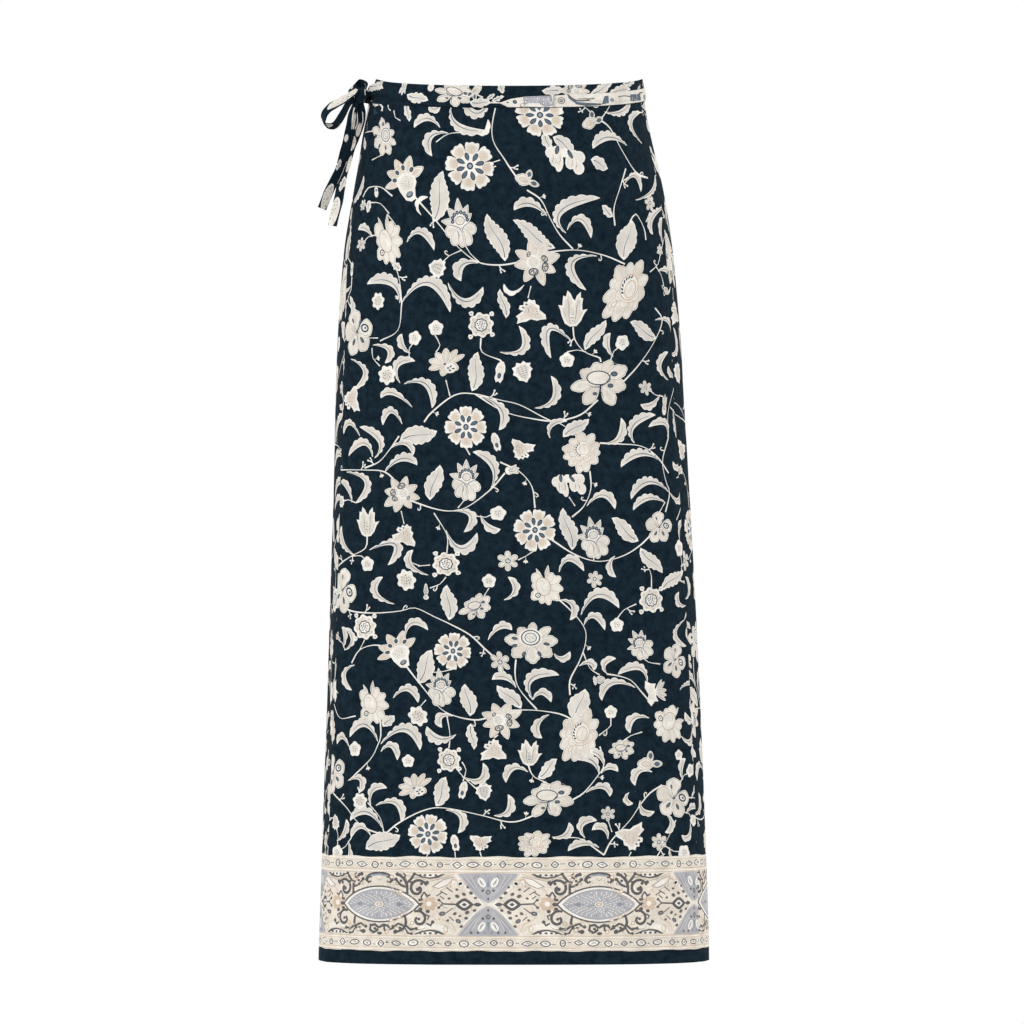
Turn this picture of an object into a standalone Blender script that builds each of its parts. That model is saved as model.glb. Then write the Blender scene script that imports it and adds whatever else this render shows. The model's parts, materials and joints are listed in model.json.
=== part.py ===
"""Wrap skirt, ankle length, filled out with no wearer.

The skirt is three cloth panels sewn to a waistband: an outer front that laps
to the left side, a back that goes round both sides, and an under front that
hangs hidden behind the outer one.  A narrow tie belt runs round the waistband
and is tied in a bow at the left hip.

Frame: metres, +Z up, the front faces -Y.  The origin is the middle of the
waist where the skirt is held up.  The tables are in millimetres.
"""
import math
from collections import namedtuple

import bmesh
import bpy
import numpy as np
from mathutils import Vector

MM = 0.001

# ------------------------------------------------------------- driving sizes
LENGTH = 879.5          # waist at the side down to the hem
CLOTH = 1.2             # wall of one panel
BAND_CLOTH = 1.5        # wall of the waistband, cloth folded double
BAND_HEIGHT = 22.0      # waistband, top edge to seam
SEAM = 0.3              # gap between pieces that are sewn edge to edge
UNDER = 1.8             # how far the under layer's face lies below the outer
BAND_PROUD = 0.2        # the waistband's face stands this far off the panels
BAND_UNDER = 1.9        # face of the under layer's waistband
TIE_WIDTH = 12.0
TIE_CLOTH = 1.2
TIE_GAP = 0.3           # tie belt to waistband
FRONT_DIP = 10.9        # the waist line dips this much at the centre front
BACK_DIP = 4.5          # and this much at the centre back
OVERLAP = 14.0          # the outer front laps past the left side seam
UNDER_SHORT = 45.0      # the under front stops this far from the right seam
ROWS = 20               # rows of faces down a panel

# sections from the waist down: side positions, depths and squareness
Section = namedtuple("Section", "drop left right front back square")
SECTIONS = [
    Section(-30.0, -132.0, 130.0, 88.0, 84.0, 2.15),
    Section(0.0, -136.6, 131.8, 92.0, 88.0, 2.15),
    Section(26.5, -143.2, 133.9, 97.0, 93.0, 2.18),
    Section(47.5, -148.0, 137.7, 101.0, 98.0, 2.20),
    Section(78.5, -152.8, 144.7, 105.0, 105.0, 2.22),
    Section(106.5, -157.4, 151.4, 107.5, 110.0, 2.26),
    Section(134.5, -162.2, 156.4, 109.5, 115.0, 2.30),
    Section(160.5, -166.4, 160.2, 110.5, 118.5, 2.34),
    Section(200.5, -170.3, 164.3, 111.0, 121.0, 2.40),
    Section(252.5, -173.8, 168.6, 111.0, 120.5, 2.46),
    Section(323.5, -176.7, 172.4, 110.5, 118.0, 2.52),
    Section(384.5, -178.1, 176.0, 110.0, 116.0, 2.56),
    Section(480.5, -180.8, 181.4, 110.0, 114.0, 2.62),
    Section(624.5, -184.9, 188.0, 110.0, 112.5, 2.70),
    Section(772.5, -189.8, 194.0, 111.0, 112.5, 2.78),
    Section(879.5, -192.8, 197.2, 112.0, 113.0, 2.84),
    Section(910.0, -193.6, 198.0, 112.0, 113.0, 2.86),
]

# how far in from the side the right seam and the overlap's free edge run
Edge = namedtuple("Edge", "drop seam_in overlap_in")
EDGES = [
    Edge(-30.0, 3.4, 3.4),
    Edge(60.0, 3.6, 3.2),
    Edge(120.0, 4.6, 3.6),
    Edge(170.0, 6.6, 5.4),
    Edge(230.0, 8.6, 7.6),
    Edge(400.0, 9.4, 8.4),
    Edge(700.0, 9.0, 7.8),
    Edge(910.0, 8.8, 7.4),
]

# the tie belt's middle line: how far below the waist line it runs, by the
# way round the waist (0 centre front, -1 left side, 1 right side, 2 back)
Belt = namedtuple("Belt", "way below")
BELT = [
    Belt(-2.0, 15.0),
    Belt(-1.25, 15.5),
    Belt(-1.0, 17.0),
    Belt(-0.86, 9.0),
    Belt(-0.62, 10.2),
    Belt(-0.40, 14.2),
    Belt(0.0, 15.0),
    Belt(0.45, 15.4),
    Belt(0.85, 14.8),
    Belt(1.0, 15.0),
    Belt(2.0, 15.0),
]

# bow at the left hip: the middle line of each ribbon and which way its width
# leans (the width vector is square to the path)
Ribbon = namedtuple("Ribbon", "x y z")
LOOP_LEFT = [
    Ribbon(-153.0, -29.0, -12.5), Ribbon(-160.0, -32.0, -17.4),
    Ribbon(-167.4, -34.2, -21.9), Ribbon(-174.9, -36.0, -26.4),
    Ribbon(-181.4, -36.5, -31.3), Ribbon(-186.2, -35.0, -37.0),
    Ribbon(-186.9, -31.5, -42.8), Ribbon(-183.0, -27.5, -47.6),
    Ribbon(-176.9, -24.5, -47.6), Ribbon(-171.4, -22.5, -41.8),
    Ribbon(-167.1, -21.5, -33.8), Ribbon(-162.6, -22.0, -25.8),
    Ribbon(-156.0, -24.0, -20.0),
]
LOOP_SMALL = [
    Ribbon(-150.6, -22.0, -13.5), Ribbon(-155.5, -19.0, -11.4),
    Ribbon(-159.0, -14.5, -10.2), Ribbon(-158.0, -9.5, -7.4),
    Ribbon(-152.0, -5.5, -4.8), Ribbon(-147.2, -6.0, -6.8),
    Ribbon(-146.0, -10.5, -10.4), Ribbon(-147.6, -15.5, -13.4),
]
END_LONG = [
    Ribbon(-150.0, -22.0, -24.0), Ribbon(-150.4, -20.5, -36.0),
    Ribbon(-153.2, -19.0, -48.0), Ribbon(-157.6, -18.0, -60.0),
    Ribbon(-162.0, -18.0, -72.0), Ribbon(-166.8, -18.5, -92.0),
    Ribbon(-169.8, -19.0, -108.0), Ribbon(-173.6, -19.0, -126.0),
    Ribbon(-178.2, -18.5, -146.8),
]
END_SHORT = [
    Ribbon(-155.0, -28.0, -24.0), Ribbon(-158.4, -31.5, -38.5),
    Ribbon(-161.0, -33.5, -54.5), Ribbon(-164.2, -35.0, -70.5),
    Ribbon(-169.0, -35.5, -86.5), Ribbon(-176.2, -35.0, -102.5),
    Ribbon(-182.4, -34.0, -116.5), Ribbon(-188.4, -33.0, -130.0),
]
LOOP_LEFT_LEAN = (0.36, -0.77, -0.52)
LOOP_SMALL_LEAN = (0.62, -0.50, 0.60)
END_LONG_LEAN = (0.76, -0.62, 0.16)
END_SHORT_LEAN = (0.78, 0.58, 0.24)

KNOT_AT = (-149.6, -25.0, -18.0)
KNOT_HALF = (5.6, 6.4, 8.8)

# ---------------------------------------------------------------- curve tools


def smooth(xs, ys, x):
    """Value at x of a smooth curve through the table's points."""
    xs, ys = np.asarray(xs, float), np.asarray(ys, float)
    slopes = np.gradient(ys, xs)
    x = np.clip(np.asarray(x, float), xs[0], xs[-1])
    i = np.clip(np.searchsorted(xs, x, side="right") - 1, 0, len(xs) - 2)
    h = xs[i + 1] - xs[i]
    t = (x - xs[i]) / h
    return ((2 * t ** 3 - 3 * t ** 2 + 1) * ys[i]
            + (t ** 3 - 2 * t ** 2 + t) * h * slopes[i]
            + (3 * t ** 2 - 2 * t ** 3) * ys[i + 1]
            + (t ** 3 - t ** 2) * h * slopes[i + 1])


def column(table, name):
    return [getattr(row, name) for row in table]


def size_at(name, drop):
    return float(smooth(column(SECTIONS, "drop"), column(SECTIONS, name), drop))


def edge_at(name, drop):
    return float(smooth(column(EDGES, "drop"), column(EDGES, name), drop))


class Outline:
    """The skirt's outline at one height, measured along the cloth from the
    centre front: minus goes left, plus goes right, and past the centre back
    the right-hand measure carries on round."""

    COUNT = 1440

    def __init__(self, drop):
        left, right = size_at("left", drop), size_at("right", drop)
        self.front, self.back = size_at("front", drop), size_at("back", drop)
        n = size_at("square", drop)
        self.mid, self.half = (left + right) / 2, (right - left) / 2
        # from the centre back by the left side, the front and the right
        # side to the centre back again, and once more half way round
        turn = np.linspace(-1.5 * math.pi, 2.5 * math.pi, 2 * self.COUNT + 1)
        depth = np.where(np.sin(turn) < 0, self.front, self.back)
        r = (np.abs(np.cos(turn) / self.half) ** n
             + np.abs(np.sin(turn) / depth) ** n) ** (-1 / n)
        self.x = self.mid + r * np.cos(turn)
        self.y = r * np.sin(turn)
        step = np.hypot(np.diff(self.x), np.diff(self.y))
        along = np.concatenate([[0.0], np.cumsum(step)])
        mid_front = self.COUNT // 2
        self.along = along - along[mid_front]
        self.girth = along[self.COUNT] - along[0]
        tx, ty = np.gradient(self.x), np.gradient(self.y)
        size = np.hypot(tx, ty)
        self.nx, self.ny = ty / size, -tx / size
        self.left_side = self.along[self.COUNT // 4]
        self.right_side = self.along[3 * self.COUNT // 4]
        self.centre_back = self.along[self.COUNT]

    def at(self, along):
        return (float(np.interp(along, self.along, self.x)),
                float(np.interp(along, self.along, self.y)),
                float(np.interp(along, self.along, self.nx)),
                float(np.interp(along, self.along, self.ny)))

    def in_from_side(self, inset, side):
        """The place on the front face that lies inset mm in from a side."""
        q = self.COUNT // 4
        if side == "left":
            part = slice(q, 2 * q + 1)
            return float(np.interp(self.mid - self.half + inset,
                                   self.x[part], self.along[part]))
        part = slice(2 * q, 3 * q + 1)
        return float(np.interp(self.mid + self.half - inset,
                               self.x[part], self.along[part]))


_outlines = {}


def outline(drop):
    key = round(drop, 3)
    if key not in _outlines:
        _outlines[key] = Outline(key)
    return _outlines[key]


# -------------------------------------------------------------- the way round
# Every layer takes its columns from the same stations, so that one layer's
# faces run parallel to the next one's.  A station is a leg and a share of it.
Leg = namedtuple("Leg", "start end columns")


def places(drop):
    """Where the seams and edges fall along the outline at one height."""
    o = outline(drop)
    seam = o.in_from_side(edge_at("seam_in", drop), "right")
    lap = o.in_from_side(edge_at("overlap_in", drop), "left")
    side_seam = lap + OVERLAP
    return {
        "lap": lap,
        "left_seam": side_seam,
        "centre": 0.0,
        "under_edge": seam - UNDER_SHORT,
        "seam": seam,
        "right_side": o.right_side,
        "back": o.centre_back,
        "left_side": o.left_side + o.girth,
        "lap_again": lap + o.girth,
        "left_seam_again": side_seam + o.girth,
    }


LEGS = {
    "lap_to_seam": Leg("lap", "left_seam", 1),
    "front_left": Leg("left_seam", "centre", 13),
    "front_right": Leg("centre", "under_edge", 9),
    "front_end": Leg("under_edge", "seam", 4),
    "right_turn": Leg("seam", "right_side", 3),
    "back_right": Leg("right_side", "back", 12),
    "back_left": Leg("back", "left_side", 12),
    "left_turn": Leg("left_side", "lap_again", 3),
    "under_lap": Leg("lap_again", "left_seam_again", 1),
}
FRONT = ["lap_to_seam", "front_left", "front_right", "front_end"]
BACK = ["right_turn", "back_right", "back_left", "left_turn", "under_lap"]
UNDER_FRONT = ["front_left", "front_right"]


def stations(legs):
    """(leg, share) for each column edge of a piece, in order."""
    out = []
    for name in legs:
        n = LEGS[name].columns
        for i in range(n):
            out.append((name, i / n))
    out.append((legs[-1], 1.0))
    return out


def eased(leg, share):
    """Columns crowd towards the sides, where the outline turns."""
    if leg == "back_right":
        return 0.55 * share + 0.45 * (1 - math.cos(share * math.pi / 2))
    if leg == "back_left":
        return 0.55 * share + 0.45 * math.sin(share * math.pi / 2)
    if leg == "front_left":
        return 0.60 * share + 0.40 * (1 - math.cos(share * math.pi / 2))
    return share


def along_at(station, drop, trim=0.0):
    """Measure along the outline; trim pulls the end stations in by half the
    seam gap."""
    leg, share = station
    p = places(drop)
    a, b = p[LEGS[leg].start], p[LEGS[leg].end]
    return a + (b - a) * eased(leg, share) + trim


def way_round(along, drop):
    """0 at the centre front, -1 and 1 at the sides, 2 at the centre back."""
    o = outline(drop)
    if along > o.right_side:
        s = 1 + (along - o.right_side) / (o.centre_back - o.right_side)
        return s if s <= 2 else s - 4
    if along >= 0:
        return along / o.right_side
    return along / -o.left_side


def waist_dip(along):
    """How far the waist line lies below the sides' height here."""
    o = outline(0.0)
    y = o.at(along)[1]
    s = abs(y) / (o.front if y < 0 else o.back)
    s = (math.sqrt(s * s + 0.0144) - 0.12) / (math.sqrt(1.0144) - 0.12)
    return (FRONT_DIP if y < 0 else BACK_DIP) * max(s, 0.0)


def face_offset(along, drop, outer, under):
    """The back goes under the overlap on the left: its face sinks from the
    outer layer's level to the under layer's."""
    p = places(drop)
    start, end = p["left_side"] - 34.0, p["lap_again"] - 2.0
    t = min(max((along - start) / (end - start), 0.0), 1.0)
    t = t * t * (3 - 2 * t)
    return outer + (under - outer) * t


def cloth_point(station, below, offset, trim=0.0):
    """A point below mm under the waist line, offset mm out of the skirt's
    outer face.  Below the hips the waist line's dip has faded out."""
    fade = max(0.0, 1.0 - below / LENGTH)
    along0 = along_at(station, below)
    share = way_round(along0, below)
    o0 = outline(0.0)
    if share < 0:
        top = -share * o0.left_side if share >= -1 else \
            o0.left_side - (-share - 1) * (o0.left_side + o0.girth - o0.centre_back)
    elif share <= 1:
        top = share * o0.right_side
    else:
        top = o0.right_side + (share - 1) * (o0.centre_back - o0.right_side)
    drop = below + waist_dip(top) * fade
    along = along_at(station, drop, trim)
    x, y, nx, ny = outline(drop).at(along)
    out = offset(along, drop) if callable(offset) else offset
    return Vector((x + nx * out, y + ny * out, -drop)) * MM


# ------------------------------------------------------------- building tools
parts = bpy.data.collections.new("wrap_skirt")


def clear():
    for old in list(bpy.data.objects):
        bpy.data.objects.remove(old, do_unlink=True)
    bpy.context.scene.collection.children.link(parts)


def material(name, colour, roughness, metallic=0.0):
    m = bpy.data.materials.new(name)
    m.use_nodes = True
    shader = m.node_tree.nodes["Principled BSDF"]
    shader.inputs["Base Color"].default_value = (*colour, 1.0)
    shader.inputs["Roughness"].default_value = roughness
    shader.inputs["Metallic"].default_value = metallic
    return m


def cloth_sheet(name, rows, thickness, mat):
    """A grid of points turned into cloth: the grid is the outer face and the
    wall is put on its inner side."""
    mesh = bpy.data.meshes.new(name)
    bm = bmesh.new()
    grid = [[bm.verts.new(p) for p in row] for row in rows]
    for upper, lower in zip(grid, grid[1:]):
        for i in range(len(upper) - 1):
            bm.faces.new((upper[i], lower[i], lower[i + 1], upper[i + 1]))
    bm.to_mesh(mesh)
    bm.free()
    mesh.shade_smooth()
    obj = bpy.data.objects.new(name, mesh)
    parts.objects.link(obj)
    obj.data.materials.append(mat)
    wall = obj.modifiers.new("wall", "SOLIDIFY")
    wall.thickness = thickness * MM
    wall.offset = -1.0
    wall.use_even_offset = True
    return obj


def panel(name, legs, outer, under, mat):
    """A skirt panel from the waist seam to the hem."""
    top = BAND_HEIGHT + SEAM
    drops = [top + (LENGTH - top) * (j / ROWS) ** 1.12 for j in range(ROWS + 1)]
    return strip(name, legs, drops, outer, under, CLOTH, mat)


def strip(name, legs, belows, outer, under, thickness, mat):
    if legs is BACK:
        offset = lambda a, d: face_offset(a, d, outer, under)
    else:
        offset = outer
    cols = stations(legs)
    rows = []
    for below in belows:
        row = []
        for i, station in enumerate(cols):
            trim = SEAM / 2 if i == 0 else -SEAM / 2 if i == len(cols) - 1 else 0.0
            row.append(cloth_point(station, below, offset, trim))
        rows.append(row)
    return cloth_sheet(name, rows, thickness, mat)


def belt(name, legs, mat):
    """A stretch of the tie belt, lying on the waistband's face."""
    face = BAND_PROUD + TIE_GAP + TIE_CLOTH
    if legs is BACK:
        # the belt crosses the overlap's edge on the outside
        offset = lambda a, d: face_offset(a, d, face, face - 0.6)
        cols = stations(["right_turn", "back_right", "back_left"])
    else:
        offset = face
        cols = stations(legs)
    rows = []
    for side in (-0.5, 0.0, 0.5):
        row = []
        for i, station in enumerate(cols):
            trim = SEAM / 2 if i == 0 else -SEAM / 2 if i == len(cols) - 1 else 0.0
            way = way_round(along_at(station, 15.0), 15.0)
            middle = float(smooth(column(BELT, "way"), column(BELT, "below"), way))
            row.append(cloth_point(station, middle + side * TIE_WIDTH,
                                   offset, trim))
        rows.append(row)
    return cloth_sheet(name, rows, TIE_CLOTH, mat)


def clear_of_knot(p, margin):
    d = [(p[i] - KNOT_AT[i]) / (KNOT_HALF[i] + margin) for i in range(3)]
    return d[0] ** 2 + d[1] ** 2 + d[2] ** 2 > 1.0


def ribbon(name, table, lean, segments, mat, both_ends_in_knot=False):
    """A flat ribbon along a smooth path that starts at the knot's face."""
    pts = np.array([[r.x, r.y, r.z] for r in table])
    run = np.concatenate([[0], np.cumsum(np.linalg.norm(np.diff(pts, axis=0), axis=1))])
    lean = np.array(lean) / np.linalg.norm(lean)

    def at(s):
        p = np.array([smooth(run, pts[:, k], s) for k in range(3)], float)
        q = np.array([smooth(run, pts[:, k], min(s + 0.3, run[-1])) for k in range(3)], float)
        r = np.array([smooth(run, pts[:, k], max(s - 0.3, 0.0)) for k in range(3)], float)
        t = (q - r) / np.linalg.norm(q - r)
        w = lean - lean.dot(t) * t
        w /= np.linalg.norm(w)
        return p, t, w

    def is_clear(s):
        p, t, w = at(s)
        n = np.cross(t, w)
        return all(clear_of_knot(p + w * a * TIE_WIDTH / 2 + n * b * TIE_CLOTH, 0.5)
                   for a in (-1.0, -0.5, 0.0, 0.5, 1.0) for b in (-1.0, 0.0, 1.0))

    start, end = 0.0, run[-1]
    while not is_clear(start) and start < run[-1] / 2:
        start += 0.1
    while both_ends_in_knot and not is_clear(end) and end > run[-1] / 2:
        end -= 0.1
    rows = [[], [], []]
    for i in range(segments + 1):
        p, t, w = at(start + (end - start) * i / segments)
        n = np.cross(t, w)
        for row, side in zip(rows, (-0.5, 0.0, 0.5)):
            row.append(Vector(p + w * side * TIE_WIDTH + n * TIE_CLOTH / 2) * MM)
    obj = cloth_sheet(name, rows, TIE_CLOTH, mat)
    obj.modifiers["wall"].use_even_offset = False
    return obj


def knot(name, mat):
    mesh = bpy.data.meshes.new(name)
    bm = bmesh.new()
    bmesh.ops.create_uvsphere(bm, u_segments=18, v_segments=12, radius=1.0)
    for v in bm.verts:
        v.co = Vector([(KNOT_AT[k] + v.co[k] * KNOT_HALF[k]) * MM for k in range(3)])
    bm.to_mesh(mesh)
    bm.free()
    mesh.shade_smooth()
    obj = bpy.data.objects.new(name, mesh)
    parts.objects.link(obj)
    obj.data.materials.append(mat)
    return obj


# ------------------------------------------------------------------ the skirt
NAVY = (0.0075, 0.0168, 0.0262)
NAVY_BAND = (0.010, 0.021, 0.032)
CREAM = (0.80, 0.74, 0.66)


def main():
    clear()
    print_cloth = material("printed_cloth", NAVY, 0.72)
    under_cloth = material("printed_cloth_under", NAVY, 0.75)
    back_cloth = material("printed_cloth_back", NAVY, 0.72)
    band_cloth = material("waistband_cloth", NAVY_BAND, 0.70)
    tie_cloth = material("tie_cloth", CREAM, 0.72)
    bow_cloth = material("bow_cloth", NAVY_BAND, 0.72)

    panel("front_overlap", FRONT, 0.0, 0.0, print_cloth)
    panel("back_panel", BACK, 0.0, -UNDER, back_cloth)
    panel("under_front", UNDER_FRONT, -UNDER, -UNDER, under_cloth)

    band = [0.0, BAND_HEIGHT / 2, BAND_HEIGHT]
    strip("waistband_front", FRONT, band, BAND_PROUD, 0.0, BAND_CLOTH, band_cloth)
    strip("waistband_back", BACK, band, BAND_PROUD, -BAND_UNDER, BAND_CLOTH, band_cloth)
    strip("waistband_under", UNDER_FRONT, band, -BAND_UNDER, 0.0, BAND_CLOTH, band_cloth)

    belt("tie_front", FRONT, tie_cloth)
    belt("tie_back", BACK, tie_cloth)
    knot("tie_knot", bow_cloth)
    ribbon("bow_loop_left", LOOP_LEFT, LOOP_LEFT_LEAN, 26, bow_cloth, True)
    ribbon("bow_loop_small", LOOP_SMALL, LOOP_SMALL_LEAN, 16, bow_cloth, True)
    ribbon("tie_end_long", END_LONG, END_LONG_LEAN, 16, bow_cloth)
    ribbon("tie_end_short", END_SHORT, END_SHORT_LEAN, 16, bow_cloth)


main()
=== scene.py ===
"""Looks of the wrap skirt: cloth shells with the printed pattern, the tie belt
and its bow, stitches, camera and light.

The sizes below are the CAD model's own, in millimetres.  The cloth is measured
along = millimetres round the skirt from the centre front (minus goes left) and
down = millimetres below the waist.
"""
import json
import math
from collections import namedtuple

import bpy
import numpy as np
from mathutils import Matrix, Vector
from mathutils.bvhtree import BVHTree
from mathutils.geometry import delaunay_2d_cdt
from mathutils.kdtree import KDTree

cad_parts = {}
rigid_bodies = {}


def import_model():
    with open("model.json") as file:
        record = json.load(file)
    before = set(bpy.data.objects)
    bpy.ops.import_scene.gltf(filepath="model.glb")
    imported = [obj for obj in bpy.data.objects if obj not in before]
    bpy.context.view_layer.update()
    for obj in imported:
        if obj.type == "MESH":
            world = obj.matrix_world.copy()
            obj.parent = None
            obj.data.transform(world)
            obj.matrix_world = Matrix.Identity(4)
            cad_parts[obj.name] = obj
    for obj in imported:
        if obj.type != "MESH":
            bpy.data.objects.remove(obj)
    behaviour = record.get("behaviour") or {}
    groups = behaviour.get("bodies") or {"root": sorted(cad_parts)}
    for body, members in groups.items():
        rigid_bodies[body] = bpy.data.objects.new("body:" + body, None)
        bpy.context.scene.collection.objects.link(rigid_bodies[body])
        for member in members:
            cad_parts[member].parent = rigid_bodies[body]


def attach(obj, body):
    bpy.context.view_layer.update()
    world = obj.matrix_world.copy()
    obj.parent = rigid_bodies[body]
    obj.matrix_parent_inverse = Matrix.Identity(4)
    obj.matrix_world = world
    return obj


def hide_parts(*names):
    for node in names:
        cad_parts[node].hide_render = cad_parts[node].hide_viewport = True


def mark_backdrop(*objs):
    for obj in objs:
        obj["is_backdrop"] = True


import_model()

for old in [o for o in bpy.data.objects if o.name in ("Cube", "Light", "Camera")]:
    bpy.data.objects.remove(old, do_unlink=True)
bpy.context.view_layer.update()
MM = 0.001

# ------------------------------------------------------- sizes, as in the CAD
LENGTH = 879.5
CLOTH = 1.2
BAND_CLOTH = 1.5
BAND_HEIGHT = 22.0
SEAM = 0.3
UNDER = 1.8
BAND_PROUD = 0.2
BAND_UNDER = 1.9
TIE_WIDTH = 12.0
TIE_CLOTH = 1.2
TIE_GAP = 0.3
FRONT_DIP = 10.9
BACK_DIP = 4.5
OVERLAP = 14.0
UNDER_SHORT = 45.0

Section = namedtuple("Section", "drop left right front back square")
SECTIONS = [
    Section(-30.0, -132.0, 130.0, 88.0, 84.0, 2.15),
    Section(0.0, -136.6, 131.8, 92.0, 88.0, 2.15),
    Section(26.5, -143.2, 133.9, 97.0, 93.0, 2.18),
    Section(47.5, -148.0, 137.7, 101.0, 98.0, 2.20),
    Section(78.5, -152.8, 144.7, 105.0, 105.0, 2.22),
    Section(106.5, -157.4, 151.4, 107.5, 110.0, 2.26),
    Section(134.5, -162.2, 156.4, 109.5, 115.0, 2.30),
    Section(160.5, -166.4, 160.2, 110.5, 118.5, 2.34),
    Section(200.5, -170.3, 164.3, 111.0, 121.0, 2.40),
    Section(252.5, -173.8, 168.6, 111.0, 120.5, 2.46),
    Section(323.5, -176.7, 172.4, 110.5, 118.0, 2.52),
    Section(384.5, -178.1, 176.0, 110.0, 116.0, 2.56),
    Section(480.5, -180.8, 181.4, 110.0, 114.0, 2.62),
    Section(624.5, -184.9, 188.0, 110.0, 112.5, 2.70),
    Section(772.5, -189.8, 194.0, 111.0, 112.5, 2.78),
    Section(879.5, -192.8, 197.2, 112.0, 113.0, 2.84),
    Section(910.0, -193.6, 198.0, 112.0, 113.0, 2.86),
]
Edge = namedtuple("Edge", "drop seam_in overlap_in")
EDGES = [
    Edge(-30.0, 3.4, 3.4), Edge(60.0, 3.6, 3.2), Edge(120.0, 4.6, 3.6),
    Edge(170.0, 6.6, 5.4), Edge(230.0, 8.6, 7.6), Edge(400.0, 9.4, 8.4),
    Edge(700.0, 9.0, 7.8), Edge(910.0, 8.8, 7.4),
]
Belt = namedtuple("Belt", "way below")
BELT = [
    Belt(-2.0, 15.0), Belt(-1.25, 15.5), Belt(-1.0, 17.0), Belt(-0.86, 9.0),
    Belt(-0.62, 10.2), Belt(-0.40, 14.2), Belt(0.0, 15.0), Belt(0.45, 15.4),
    Belt(0.85, 14.8), Belt(1.0, 15.0), Belt(2.0, 15.0),
]
Ribbon = namedtuple("Ribbon", "x y z")
LOOP_LEFT = [
    Ribbon(-153.0, -29.0, -12.5), Ribbon(-160.0, -32.0, -17.4),
    Ribbon(-167.4, -34.2, -21.9), Ribbon(-174.9, -36.0, -26.4),
    Ribbon(-181.4, -36.5, -31.3), Ribbon(-186.2, -35.0, -37.0),
    Ribbon(-186.9, -31.5, -42.8), Ribbon(-183.0, -27.5, -47.6),
    Ribbon(-176.9, -24.5, -47.6), Ribbon(-171.4, -22.5, -41.8),
    Ribbon(-167.1, -21.5, -33.8), Ribbon(-162.6, -22.0, -25.8),
    Ribbon(-156.0, -24.0, -20.0),
]
LOOP_SMALL = [
    Ribbon(-150.6, -22.0, -13.5), Ribbon(-155.5, -19.0, -11.4),
    Ribbon(-159.0, -14.5, -10.2), Ribbon(-158.0, -9.5, -7.4),
    Ribbon(-152.0, -5.5, -4.8), Ribbon(-147.2, -6.0, -6.8),
    Ribbon(-146.0, -10.5, -10.4), Ribbon(-147.6, -15.5, -13.4),
]
END_LONG = [
    Ribbon(-150.0, -22.0, -24.0), Ribbon(-150.4, -20.5, -36.0),
    Ribbon(-153.2, -19.0, -48.0), Ribbon(-157.6, -18.0, -60.0),
    Ribbon(-162.0, -18.0, -72.0), Ribbon(-166.8, -18.5, -92.0),
    Ribbon(-169.8, -19.0, -108.0), Ribbon(-173.6, -19.0, -126.0),
    Ribbon(-178.2, -18.5, -146.8),
]
END_SHORT = [
    Ribbon(-155.0, -28.0, -24.0), Ribbon(-158.4, -31.5, -38.5),
    Ribbon(-161.0, -33.5, -54.5), Ribbon(-164.2, -35.0, -70.5),
    Ribbon(-169.0, -35.5, -86.5), Ribbon(-176.2, -35.0, -102.5),
    Ribbon(-182.4, -34.0, -116.5), Ribbon(-188.4, -33.0, -130.0),
]
LOOP_LEFT_LEAN = (0.36, -0.77, -0.52)
LOOP_SMALL_LEAN = (0.62, -0.50, 0.60)
END_LONG_LEAN = (0.76, -0.62, 0.16)
END_SHORT_LEAN = (0.78, 0.58, 0.24)
KNOT_AT = (-149.6, -25.0, -18.0)
KNOT_HALF = (5.6, 6.4, 8.8)


def smooth(xs, ys, x):
    """Value at x of a smooth curve through the table's points."""
    xs, ys = np.asarray(xs, float), np.asarray(ys, float)
    slopes = np.gradient(ys, xs)
    x = np.clip(np.asarray(x, float), xs[0], xs[-1])
    i = np.clip(np.searchsorted(xs, x, side="right") - 1, 0, len(xs) - 2)
    h = xs[i + 1] - xs[i]
    t = (x - xs[i]) / h
    return ((2 * t ** 3 - 3 * t ** 2 + 1) * ys[i]
            + (t ** 3 - 2 * t ** 2 + t) * h * slopes[i]
            + (3 * t ** 2 - 2 * t ** 3) * ys[i + 1]
            + (t ** 3 - t ** 2) * h * slopes[i + 1])


def column(table, name):
    return [getattr(row, name) for row in table]


def size_at(name, drop):
    return smooth(column(SECTIONS, "drop"), column(SECTIONS, name), drop)


def edge_at(name, drop):
    return smooth(column(EDGES, "drop"), column(EDGES, name), drop)


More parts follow.
